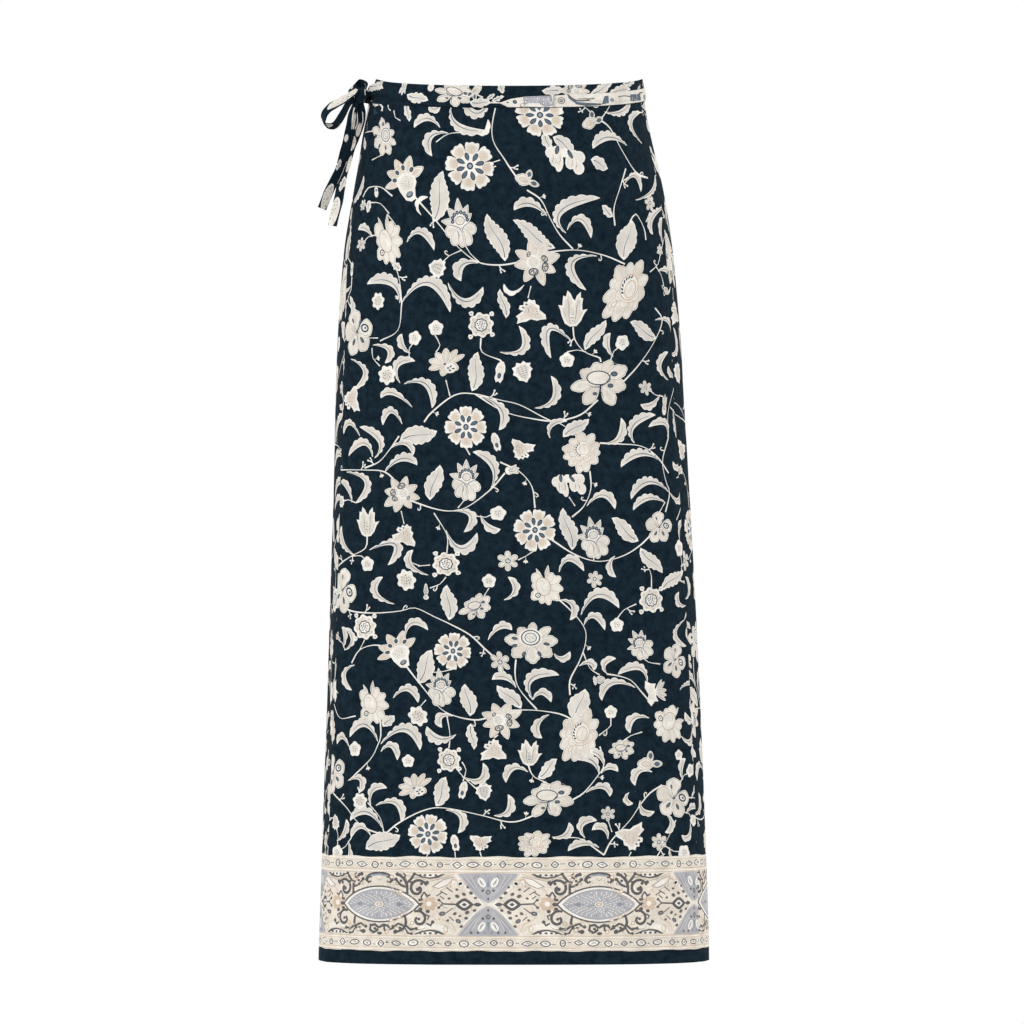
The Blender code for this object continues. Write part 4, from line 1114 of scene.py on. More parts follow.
def border_half(p):
    """Everything to one side of the hourglass, up to the medallion."""
    # pale shapes and tan lines of the ground
    for pts, w, name in (
            ([(33, 30), (24, 19), (14, 9), (5, 0), (14, -9), (24, -19), (33, -30)], 2.6, "pearl"),
            ([(30.4, 30), (21.8, 19), (12.2, 9), (3.6, 0.8)], 0.5, "line"),
            ([(30.4, -30), (21.8, -19), (12.2, -9), (3.6, -0.8)], 0.5, "line"),
            ([(33, 30), (47, 27), (60, 24), (72, 26), (84, 30)], 0.9, "fleck"),
            ([(34, 28.6), (48, 25.4), (60, 22.6), (68, 23.6)], 0.6, "line"),
            ([(31, 28), (35, 20), (46, 14), (52, 4)], 0.9, "fleck"),
            ([(31, -28), (36, -19), (45, -15), (51, -5)], 0.9, "fleck"),
            ([(74, 2), (86, 8), (97, 17), (101, 25)], 1.0, "fleck"),
            ([(74, -2), (84, -10), (93, -17), (100, -26)], 1.0, "fleck"),
            ([(71, 1), (84, 6), (94, 12), (104, 22)], 0.5, "line"),
            ([(71, -1), (82, -7), (94, -14), (104, -23)], 0.5, "line"),
            ([(63, 3), (72, 8), (79, 6)], 0.9, "fleck"),
            ([(62, -4), (70, -8), (78, -5)], 0.9, "fleck"),
            ([(38, 26), (52, 17), (58, 12), (56, 7)], 0.9, "fleck"),
            ([(36, -24), (46, -20), (58, -26), (74, -30)], 0.9, "fleck"),
            ([(50, -26), (62, -22), (74, -27), (84, -30)], 0.6, "line")):
        p.line(pts, w, name, gap=5)
    p.lay([(33, 27.5), (44, 25.0), (56, 17.5), (49, 15.5), (40, 19.0)], "line")
    p.lay([(34, 26.6), (44, 24.2), (54, 17.6), (49, 16.3), (40.4, 19.8)], "pearl")
    p.lay([(30, 24.5), (36.5, 25.5), (38, 15.5)], "rust")
    p.lay([(31.4, 23.4), (35.6, 24.0), (36.8, 17.6)], "pearl")
    p.lay([(34, -29.5), (44, -20.5), (58, -19.0), (74, -24.5), (60, -23.5), (46, -25.5)], "pearl")
    p.lay([(40, -22.2), (42.6, -20.0), (45.0, -24.0), (42.8, -28.6), (39.6, -26.6)], "fleck")
    p.lay([(41.2, -22.6), (42.6, -21.4), (43.8, -24.0), (42.6, -27.0), (40.8, -25.8)], "pearl")
    # the lozenge on its stem
    p.lay([(x + 23.6, y) for x, y in lozenge(9.6, 6.4)], "ink")
    p.lay([(x + 23.6, y) for x, y in lozenge(5.2, 3.3)], "pearl")
    p.lay([(x + 23.6, y) for x, y in lozenge(2.6, 1.7)], "ink")
    p.line([(31, 0.2), (38, 0.4), (46, 0.8)], 1.7, "ink", gap=9, taper=0.8)
    p.line([(44.5, 0.8), (49, 5.0)], 1.6, "ink", gap=9, taper=0.7)
    p.line([(44.5, 0.8), (49.5, -3.4)], 1.6, "ink", gap=9, taper=0.7)
    p.oval(48.6, 4.4, 1.7, 1.5, "ink", n=6)
    p.oval(48.9, -3.0, 1.7, 1.5, "ink", n=6)
    p.lay([(x + 10.6, y) for x, y in lens(4.2, 1.9, 7)], "ink")
    # a fan of spots and little strokes
    for x, y, r in ((12.6, 6.6, 1.3), (17.0, 11.4, 1.6), (19.8, 17.4, 1.4), (24.0, 10.2, 1.6),
                    (30.6, 8.2, 1.8), (13.4, -5.8, 1.4), (20.8, -7.8, 1.8), (21.8, -13.4, 1.5),
                    (33.0, -9.0, 1.5), (26.6, -21.6, 1.4), (38.6, 6.0, 1.2), (31.0, 14.8, 1.2),
                    (40.0, -15.6, 1.2), (28.0, -11.2, 1.1)):
        p.oval(x, y, r * 1.5, r * 1.1, "line", 30 * math.sin(x), 8)
        p.oval(x, y, r * 1.1, r * 0.75, "ink", 30 * math.sin(x), 6)
    p.oval(27.2, 20.6, 3.9, 3.5, "rust", 30, 10)
    p.oval(27.2, 20.6, 3.3, 2.9, "pearl", 30, 10)
    p.oval(27.6, 20.6, 2.2, 1.5, "dark", 30, 7)
    p.oval(29.6, -16.4, 3.0, 2.1, "ink", -30, 8)
    p.oval(29.6, -16.4, 1.4, 0.9, "deep", -30, 6)
    p.oval(45.4, -9.0, 3.4, 2.3, "ink", 10, 8)
    p.oval(45.4, -9.0, 1.8, 1.1, "deep", 10, 6)
    for a, b in (((35.0, 12.4), (41.6, 17.0)), ((40.6, 9.6), (47.4, 13.4)), ((45.2, 12.0), (51.2, 8.6)),
                 ((35.0, -3.6), (42.0, -8.6)), ((38.6, -12.0), (34.0, -16.0)), ((43.4, 5.4), (47.6, 8.6))):
        p.line([a, b], 2.3, "ink", gap=9, taper=0.45)
    # the tan flower
    for k in range(7):
        a = math.radians(k * 360 / 7 + 12)
        p.oval(58.6 + 5.6 * math.sin(a), 0.6 + 5.2 * math.cos(a), 2.7, 2.4, "rust", n=8)
        p.oval(58.6 + 5.6 * math.sin(a), 0.6 + 5.2 * math.cos(a), 2.0, 1.8, "fleck", n=7)
    p.oval(58.6, 0.6, 4.4, 4.2, "fleck", n=9)
    p.oval(58.6, 0.6, 2.7, 2.6, "pearl", n=8)
    # the scrolls
    p.line(spiral(70.0, 15.4, 9.8, 2.2, -70, 330, 16), 2.9, "ink", gap=3.0, taper=0.8)
    p.line(spiral(70.0, 15.4, 12.0, 11.0, -60, 60, 8), 0.6, "line", gap=4)
    p.oval(60.4, 21.6, 2.1, 1.9, "ink", n=7)
    p.oval(66.0, 20.4, 1.8, 1.6, "ink", n=6)
    p.oval(69.6, 15.0, 2.3, 2.1, "ink", n=7)
    p.line([(63.4, 12.4), (60.4, 8.2), (57.2, 9.8)], 2.4, "ink", gap=3, taper=0.7)
    p.line([(63.4, 12.4), (66.4, 7.6), (65.0, 4.2)], 2.0, "ink", gap=3, taper=0.7)
    p.oval(67.6, 4.4, 2.1, 1.6, "ink", n=6)
    p.line([(80.6, 11.4), (80.8, 19.0), (84.4, 25.8), (90.4, 30.0)], 3.0, "ink", gap=3.2, taper=0.7)
    p.line([(81.4, 20.6), (76.6, 25.2), (73.0, 30.6)], 2.6, "ink", gap=3.2, taper=0.7)
    p.line([(81.0, 17.0), (87.4, 19.2), (92.0, 24.6)], 2.5, "ink", gap=3.2, taper=0.7)
    p.line([(83.6, 24.6), (82.4, 28.6), (84.8, 30.8)], 2.0, "ink", gap=3.2, taper=0.7)
    for x, y, r in ((90.6, 29.6, 2.2), (73.2, 30.0, 1.9), (92.2, 24.6, 2.1), (80.8, 11.4, 1.9), (76.4, 21.8, 1.5),
                    (87.0, 23.2, 1.6)):
        p.oval(x, y, r, r * 0.9, "ink", n=7)
    p.line(spiral(69.0, -14.6, 8.8, 2.2, 30, -320, 15), 2.8, "ink", gap=3.0, taper=0.8)
    p.line(spiral(69.0, -14.6, 11.0, 10.4, 120, 230, 8), 0.6, "line", gap=4)
    p.oval(68.8, -14.4, 1.8, 1.6, "ink", n=6)
    p.oval(67.2, -4.6, 2.3, 1.9, "ink", n=7)
    p.oval(59.8, -6.8, 2.3, 1.8, "ink", n=7)
    p.line([(61.0, -18.6), (57.0, -20.8), (54.6, -17.0)], 2.3, "ink", gap=3, taper=0.7)
    p.line([(62.4, -9.6), (58.4, -11.6), (60.2, -15.0)], 2.0, "ink", gap=3, taper=0.7)
    p.oval(54.8, -17.2, 2.0, 1.8, "ink", n=6)
    p.line([(83.2, -11.6), (81.8, -18.0), (84.6, -24.0), (92.0, -27.6)], 2.9, "ink", gap=3.2, taper=0.7)
    p.line([(82.4, -20.4), (77.0, -24.8), (71.4, -23.6)], 2.5, "ink", gap=3.2, taper=0.7)
    p.line([(84.0, -21.6), (90.0, -19.2), (95.2, -22.6)], 2.4, "ink", gap=3.2, taper=0.7)
    p.line([(83.0, -23.4), (80.0, -28.2), (76.2, -29.4)], 2.0, "ink", gap=3.2, taper=0.7)
    for x, y, r in ((92.6, -27.0, 2.5), (95.2, -22.2, 1.9), (71.4, -23.8, 1.8), (83.4, -11.6, 1.7),
                    (76.2, -29.0, 1.6), (88.0, -23.4, 1.7)):
        p.oval(x, y, r, r * 0.9, "ink", n=7)
    # small tan rings and curls
    for x, y in ((96.4, 27.0), (87.6, 12.6), (97.0, -15.8), (88.6, -12.4), (101.6, -27.4), (75.6, -18.6)):
        p.oval(x, y, 2.5, 2.0, "rust", x * 7 % 60, 8)
        p.oval(x, y, 1.5, 1.1, "pearl", x * 7 % 60, 6)
    # half lenses on the band's edges
    for up, y in ((1, 30.2), (-1, -29.6)):
        p.lay([(42, y), (49, y - 3.8 * up), (58, y - 5.0 * up), (66, y - 3.6 * up), (75, y)], "ink")
        p.lay([(46, y), (52, y - 2.4 * up), (58, y - 3.4 * up), (65, y - 2.2 * up), (71, y)], "pearl")
        for x in (51.6, 57.2, 62.6, 67.4):
            p.oval(x, y - 1.3 * up, 1.7, 1.2, "ink", n=6)


def medallion(p):
    p.lay(lens(43.0, 18.4, 17, 0.86), "ink", base=True)
    p.lay(lens(40.6, 16.9, 17, 0.86), "pearl")
    p.lay(lens(36.6, 15.0, 15, 0.86), "deep")
    p.lay(lens(35.8, 14.4, 15, 0.86), "blue")
    for x in (-1, 1):
        p.oval(x * 43.4, 0, 3.2, 2.0, "ink", n=8)
    # rows of stipples that spread from a tan spot
    for ring_no, (rx, ry, count) in enumerate(((32.0, 11.9, 34), (28.0, 10.3, 32), (24.0, 8.8, 28), (20.0, 7.4, 24),
                                               (16.0, 6.0, 20), (12.0, 4.6, 15), (8.4, 3.3, 11))):
        for k in range(count):
            a = 2 * math.pi * (k + 0.5 * (ring_no % 2)) / count
            x, y = rx * math.cos(a), ry * math.sin(a)
            x *= 1 - 0.12 * abs(math.sin(a))
            pale = (k * 5 + ring_no * 3) % 7
            p.oval(x, y, 1.25, 0.52, "pearl" if pale < 4 else "ground" if pale < 6 else "deep",
                   -math.degrees(math.atan2(y, x)) if x or y else 0, 4)
    for x in (-1, 1):
        p.lay([(q + x * 21.0, y) for q, y in lens(3.4, 2.1, 5)], "deep")
    p.oval(0, 0, 5.4, 3.4, "deep", n=10)
    p.oval(0, 0, 4.8, 2.9, "pearl", n=10)
    p.oval(0, 0, 3.4, 2.0, "rust", n=9)
    p.oval(0, 0, 1.6, 1.0, "pearl", n=6)
    # crown above
    p.line([(-10.6, 21.0), (-14.4, 24.0), (-9.8, 29.2), (0, 31.0), (9.8, 29.2), (14.6, 24.0), (11.0, 21.0)],
           2.2, "ink", gap=3.2, taper=0.9)
    p.line([(-9.4, 27.4), (0, 29.4), (9.4, 27.4)], 2.0, "haze", gap=4)
    p.line([(-3.0, 26.0), (0.4, 23.4), (3.4, 26.2)], 0.8, "line", gap=3)
    for x in (-1, 1):
        p.line(spiral(x * 9.8, 23.4, 3.8, 0.9, -x * 30, x * 260, 9), 1.9, "ink", gap=2.2, taper=0.9)
        p.oval(x * 21.0, 29.0, 2.8, 1.6, "ink", n=7)
        p.oval(x * 19.0, 20.4, 2.2, 1.6, "line", n=7)
        p.oval(x * 19.0, 20.4, 1.2, 0.8, "pearl", n=6)
        p.line([(x * 20, 24.6), (x * 27, 28.4), (x * 33, 27.2)], 1.0, "fleck", gap=5)
        p.line([(x * 22, 17.6), (x * 30, 21.6), (x * 36, 19.0)], 1.0, "fleck", gap=5)
        p.line([(x * 21, -17.6), (x * 29, -21.0), (x * 35, -18.4)], 1.0, "fleck", gap=5)
        p.line([(x * 14, -20.6), (x * 20, -22.4), (x * 25, -29.0)], 0.8, "line", gap=5)
        p.oval(x * 27.0, 24.2, 2.4, 1.8, "rust", n=7)
        p.oval(x * 27.0, 24.2, 1.3, 0.9, "pearl", n=6)
        p.oval(x * 23.0, -25.4, 2.8, 2.1, "rust", n=8)
        p.oval(x * 23.0, -25.4, 1.6, 1.1, "pearl", n=6)
        p.oval(x * 33.6, -25.0, 2.2, 1.5, "line", n=7)
    # a leafy curl below
    p.line([(-0.4, -23.4), (-4.4, -20.2), (-9.0, -21.0), (-9.8, -25.4), (-5.8, -28.0), (-0.8, -24.6)], 2.7,
           "ink", gap=2.8, taper=0.9)
    p.line([(-0.4, -23.4), (4.6, -20.4), (9.4, -21.4), (11.6, -24.8), (16.0, -23.0)], 2.6, "ink", gap=2.8, taper=0.8)
    p.line([(5.0, -20.8), (5.6, -25.4), (9.2, -28.2)], 2.2, "ink", gap=2.8, taper=0.8)
    p.oval(-4.6, -24.2, 1.7, 1.5, "ink", n=6)
    p.oval(0.4, -28.8, 2.8, 1.7, "ink", n=7)
    p.oval(16.4, -28.0, 1.8, 1.4, "ink", n=6)
    p.oval(-16.0, -27.0, 1.7, 1.3, "ink", n=6)


def border(cloth, phase, u0, u1):
    """The border from u0 to u1, with an hourglass at phase."""
    u = np.arange(u0 - 8, u1 + 12, 6.5)
    top = BORDER_TOP + 0.55 * np.sin(u * 0.083) + 0.35 * np.sin(u * 0.21 + 1)
    end = BORDER_END + 0.35 * np.sin(u * 0.097 + 2) + 0.30 * np.sin(u * 0.23)
    cloth.add(np.vstack([np.column_stack([u, top]), np.column_stack([u, end])[::-1]]), "ground", True)
    for v, height, width, name in (
            (774.9, 0.25, 0.8, "pearl"), (776.1, 0.25, 0.55, "fleck"), (785.6, 0.3, 0.9, "fleck"),
            (787.3, 0.25, 0.8, "pearl"), (788.7, 0.2, 0.7, "fleck"), (851.6, 0.25, 0.9, "fleck"),
            (853.0, 0.2, 0.6, "pearl"), (854.2, 0.25, 0.45, "fleck"), (863.0, 0.3, 0.7, "fleck"),
            (864.4, 0.25, 0.9, "pearl"), (865.5, 0.25, 0.5, "fleck")):
        wavy(u0, u1, v, height, width, name, cloth, v * 0.7)
    # tan flecks and scribbles of the band's ground
    rng = np.random.default_rng(41)
    for x in np.arange(u0, u1, 1.9):
        y = rng.uniform(BAND_TOP + 2, BAND_END - 2)
        p = Pen(cloth, x, y, 2, 2, rng.uniform(0, 180))
        kind = rng.random()
        if kind < 0.45:
            r = rng.uniform(0.7, 1.4)
            p.oval(0, 0, r * 1.6, r * 0.7, "fleck" if rng.random() < 0.75 else "pearl", n=5)
        else:
            s = rng.uniform(1.6, 3.4)
            p.line([(-s, 0), (0, rng.uniform(-1.4, 1.4)), (s, 0)], 0.75,
                   ("fleck", "fleck", "line", "rust", "pearl")[int(rng.integers(5))], gap=3)
    first = math.floor((u0 - phase) / REPEAT) - 1
    last = math.ceil((u1 - phase) / REPEAT) + 1
    for k in range(first, last + 1):
        at = phase + k * REPEAT
        if at + 125 > u0 and at - 125 < u1:
            for flip in (-1, 1):
                border_half(Pen(cloth, at, BAND_MID, 2, 2, 0, flip))
            hourglass(Pen(cloth, at, BAND_MID, 2, 2))
        if at + REPEAT / 2 + 46 > u0 and at + REPEAT / 2 - 46 < u1:
            medallion(Pen(cloth, at + REPEAT / 2, BAND_MID, 2, 2))
    # the chains of small links in the guards
    for v, start in ((780.9, 0.0), (858.6, 7.0)):
        x, k = u0 - 10 + start, 0
        while x < u1 + 10:
            wide = 5.4 + 1.5 * math.sin(k * 1.7 + start)
            high = 3.3 + 0.5 * math.sin(k * 2.3 + 1)
            p = Pen(cloth, x, v + 0.5 * math.sin(k * 1.3), 2, 2, 7 * math.sin(k * 2.9))
            shape = (lambda a, b: lens(a, b, 7, 0.8), lozenge,
                     lambda a, b: [(a * 0.86 * math.cos(t), b * math.sin(t)) for t in np.arange(9) * 2 * math.pi / 9]
                     )[(k * 5 + int(start)) % 3]
            p.lay(lens(wide + 2.8, high + 1.2, 7, 0.9), "fleck")
            p.lay(lens(wide + 2.1, high + 0.6, 7, 0.9), "pearl")
            p.lay(shape(wide, high), "ink")
            p.lay(shape(wide - 1.6, high - 1.1), "pearl")
            if k % 4 == 3:
                p.line([(-2.2, -0.9), (0.2, 0.9), (1.4, -0.6), (3.0, 0.3)], 0.8, "ink", gap=2.4)
            elif k % 4 == 1:
                p.line([(-1.8, 0.5), (0.2, -0.9), (2.0, 0.7)], 0.9, "line", gap=2.4)
                p.oval(0.2, 0.4, 0.8, 0.6, "ink", n=5)
            else:
                p.line([(-1.6, -0.2), (0.0, 0.9), (1.5, 0.0), (0.2, -0.8)], 0.9, "ink", gap=2.4)
            gap = 16.2 + 1.6 * math.sin(k * 0.9 + start)
            p.line([(wide + 0.4, 0.1), (gap - wide - 1.2, -0.2)], 1.2, "ink", gap=9, taper=0.5)
            if k % 3 == 0:
                p.oval(wide + 2.6, 1.0, 1.0, 0.8, "ink", n=5)
            x += gap
            k += 1


# --------------------------------------------------------------- the repeat
PERIOD = 436.0          # the print's repeat across the cloth
Bloom = namedtuple("Bloom", "kind across down wide high turn")
Leaf = namedtuple("Leaf", "base tip width")
Curled = namedtuple("Curled", "base bend tip width")
# flowers, leaves and vines where they lie as seen from the front: across from
# the middle and down from the waist
BLOOMS = [
    Bloom("lotus", -106, 100.5, 46, 46, -17), Bloom("rosette", -41, 86.5, 49, 49, 8),
    Bloom("crown", -51, 144.5, 38, 44, -8), Bloom("budpeony", -124, 160.5, 36, 50, -14),
    Bloom("ringflower", -127, 56.5, 40, 36, 70), Bloom("rosette", 29, 35.5, 50, 42, 20),
    Bloom("twolobed", 54, 80.5, 42, 28, 8), Bloom("rosebud", 16, 101.5, 24, 26, -42),
    Bloom("rosebud", 82, 42.5, 26, 24, -75), Bloom("tulipbud", -159, 189.5, 13, 15, 0),
    Bloom("hatched", -74, 188.5, 24, 18, -70), Bloom("lily", 25, 182.5, 46, 48, 165),
    Bloom("carnation", 20, 231.5, 30, 26, 180), Bloom("tulip", 62, 229.5, 30, 36, 4),
    Bloom("peony", 117, 210.5, 48, 64, 28), Bloom("camellia", 90, 301.5, 58, 50, -12),
    Bloom("round", 56, 280.5, 14, 14, 0), Bloom("small", 149, 170.5, 12, 12, 0),
    Bloom("small", 139, 123.5, 18, 18, 40), Bloom("tulipbud", 153, 325.5, 17, 21, 8),
    Bloom("hatched", 165, 218.5, 22, 26, 10), Bloom("five", -154, 252.5, 44, 46, -10),
    Bloom("fuzzy", -133, 221.5, 14, 16, 0), Bloom("round", -75, 248.5, 14, 14, 0),
    Bloom("dense", -30, 245.5, 26, 26, 0), Bloom("fan", -65, 284.5, 38, 32, -20),
    Bloom("bud", -11, 292.5, 14, 22, 12), Bloom("hatched", 12, 292.5, 24, 22, 160),
    Bloom("fuzzy", -124, 295.5, 18, 18, 0), Bloom("carnation", -160, 319.5, 26, 28, 90),
    Bloom("rosette", -45, 347.5, 42, 42, 0), Bloom("lily", -110, 414.5, 41, 37, -30),
    Bloom("crown", -45, 400.5, 34, 38, 4), Bloom("bud", -15, 362.5, 12, 19, -14),
    Bloom("carnation", 10, 370.5, 24, 22, 24), Bloom("tulipbud", 1, 390.5, 22, 14, 78),
    Bloom("tulip", -143, 442.5, 28, 30, 0), Bloom("round", -143, 484.5, 14, 14, 0),
    Bloom("five", -168, 510.5, 42, 46, 20), Bloom("carnation", -106, 455.5, 26, 24, 200),
    Bloom("dense", -65, 484.5, 28, 24, 0), Bloom("fuzzy", -105, 500.5, 20, 18, 60),
    Bloom("acorn", -85, 512.5, 11, 16, 0), Bloom("rosette", 24, 450.5, 42, 42, 14),
    Bloom("small", -3, 481.5, 22, 20, 0), Bloom("round", -22, 501.5, 13, 13, 0),
    Bloom("camellia", -35, 527.5, 32, 27, -20), Bloom("peony", 72, 371.5, 44, 36, -15),
    Bloom("twolobed", 58, 405.5, 34, 25, -8), Bloom("crown", 83, 458.5, 36, 38, -14),
    Bloom("five", 148, 447.5, 34, 32, 0), Bloom("budpeony", 34, 506.5, 36, 38, -6),
    Bloom("small", 84, 499.5, 17, 17, 10), Bloom("dense", 140, 520.5, 28, 26, 0),
    Bloom("round", 106, 545.5, 13, 13, 0), Bloom("crown", 129, 565.5, 30, 28, -30),
    Bloom("five", 164, 580.5, 34, 34, 24), Bloom("ringflower", 20, 561.5, 52, 46, 4),
    Bloom("acorn", 88, 600.5, 18, 12, 80), Bloom("thistle", 145, 612.5, 38, 24, 78),
    Bloom("peony", 69, 655.5, 44, 50, 12), Bloom("budpeony", 159, 643.5, 42, 38, 64),
    Bloom("round", 100, 632.5, 12, 12, 0), Bloom("dense", -146, 547.5, 28, 26, 0),
    Bloom("lotus", -113, 571.5, 42, 37, -22), Bloom("rosette", -58, 571.5, 37, 37, 6),
    Bloom("crown", -70, 608.5, 32, 34, -6), Bloom("budpeony", -139, 623.5, 36, 42, -10),
    Bloom("lily", -10, 640.5, 42, 38, 160), Bloom("fuzzy", -93, 636.5, 20, 17, 40),
    Bloom("thistle", -177, 600.5, 20, 46, 0), Bloom("small", -11, 582.5, 23, 18, 60),
    Bloom("five", -178, 693.5, 42, 40, -20), Bloom("dense", -62, 680.5, 24, 24, 0),
    Bloom("carnation", -17, 670.5, 26, 24, 186), Bloom("fan", -96, 708.5, 37, 29, -24),
    Bloom("bud", -48, 710.5, 12, 18, 14), Bloom("hatched", -27, 712.5, 20, 18, 170),
    Bloom("rosette", -83, 754.5, 40, 40, 12), Bloom("bud", -56, 763.5, 12, 17, -10),
    Bloom("carnation", -31, 763.5, 22, 18, 10), Bloom("fuzzy", -151, 721.5, 16, 15, 0),
    Bloom("round", -156, 669.5, 14, 14, 0), Bloom("round", -103, 681.5, 12, 12, 0),
    Bloom("tulip", 19, 673.5, 25, 26, 4), Bloom("camellia", 111, 669.5, 27, 22, -10),
    Bloom("rosebud", 139, 684.5, 28, 28, -60), Bloom("five", 163, 718.5, 44, 40, 8),
    Bloom("camellia", 38, 718.5, 50, 40, -10), Bloom("peony", 24, 763.5, 38, 24, 0),
    Bloom("carnation", 120, 758.5, 30, 28, -10), Bloom("small", 148, 762.5, 18, 18, 0),
    Bloom("hatched", 190, 758.5, 26, 28, 20), Bloom("small", 97, 734.5, 15, 15, 0),
    Bloom("round", 168, 675.5, 10, 10, 0), Bloom("bud", -135, 112.5, 8, 11, 170),
    Bloom("small", -148, 125.5, 10, 12, 30),
]
LEAVES = [
    Leaf((-78, 142.5), (-68, 91.5), 19), Leaf((-6, 181.5), (-24, 134.5), 17),
    Leaf((113, 180.5), (121, 140.5), 22), Leaf((44, 168.5), (2, 140.5), 14),
    Leaf((-39, 311.5), (-33, 272.5), 15), Leaf((-81, 420.5), (-71, 385.5), 16),
    Leaf((-62, 540.5), (-64, 505.5), 15), Leaf((61, 470.5), (52, 428.5), 15),
    Leaf((127, 461.5), (101, 438.5), 14), Leaf((129, 468.5), (151, 493.5), 13),
    Leaf((64, 640.5), (74, 609.5), 20), Leaf((-93, 603.5), (-79, 570.5), 17),
    Leaf((-41, 636.5), (-46, 604.5), 15), Leaf((-75, 726.5), (-65, 697.5), 15),
    Leaf((150, 510.5), (172, 490.5), 12), Leaf((74, 270.5), (95, 240.5), 12),
    Leaf((145, 258.5), (119, 242.5), 14), Leaf((-111, 361.5), (-74, 351.5), 18),
    Leaf((-145, 769.5), (-111, 755.5), 18), Leaf((52, 357.5), (78, 339.5), 12),
    Leaf((-153, 242.5), (-161, 216.5), 8), Leaf((-111, 191.5), (-118, 182.5), 7),
    Leaf((-5, 238.5), (-11, 209.5), 9), Leaf((80, 80), (97, 89), 12),
    Leaf((102, 137), (91, 126), 8), Leaf((42, 57.5), (66, 77), 14), Leaf((34, 53), (39, 72), 9),
    Leaf((-141, 121), (-144, 133), 7), Leaf((-116, 24), (-119, 12), 8), Leaf((-104, 24), (-102, 42), 7),
    Leaf((-138, 22), (-131, 26), 5),
    Leaf((10, 629), (-14, 606), 13), Leaf((27, 698.5), (46, 679.5), 11), Leaf((-40, 644), (-37, 670), 9),
    Leaf((-128, 647), (-117, 636), 10),
]
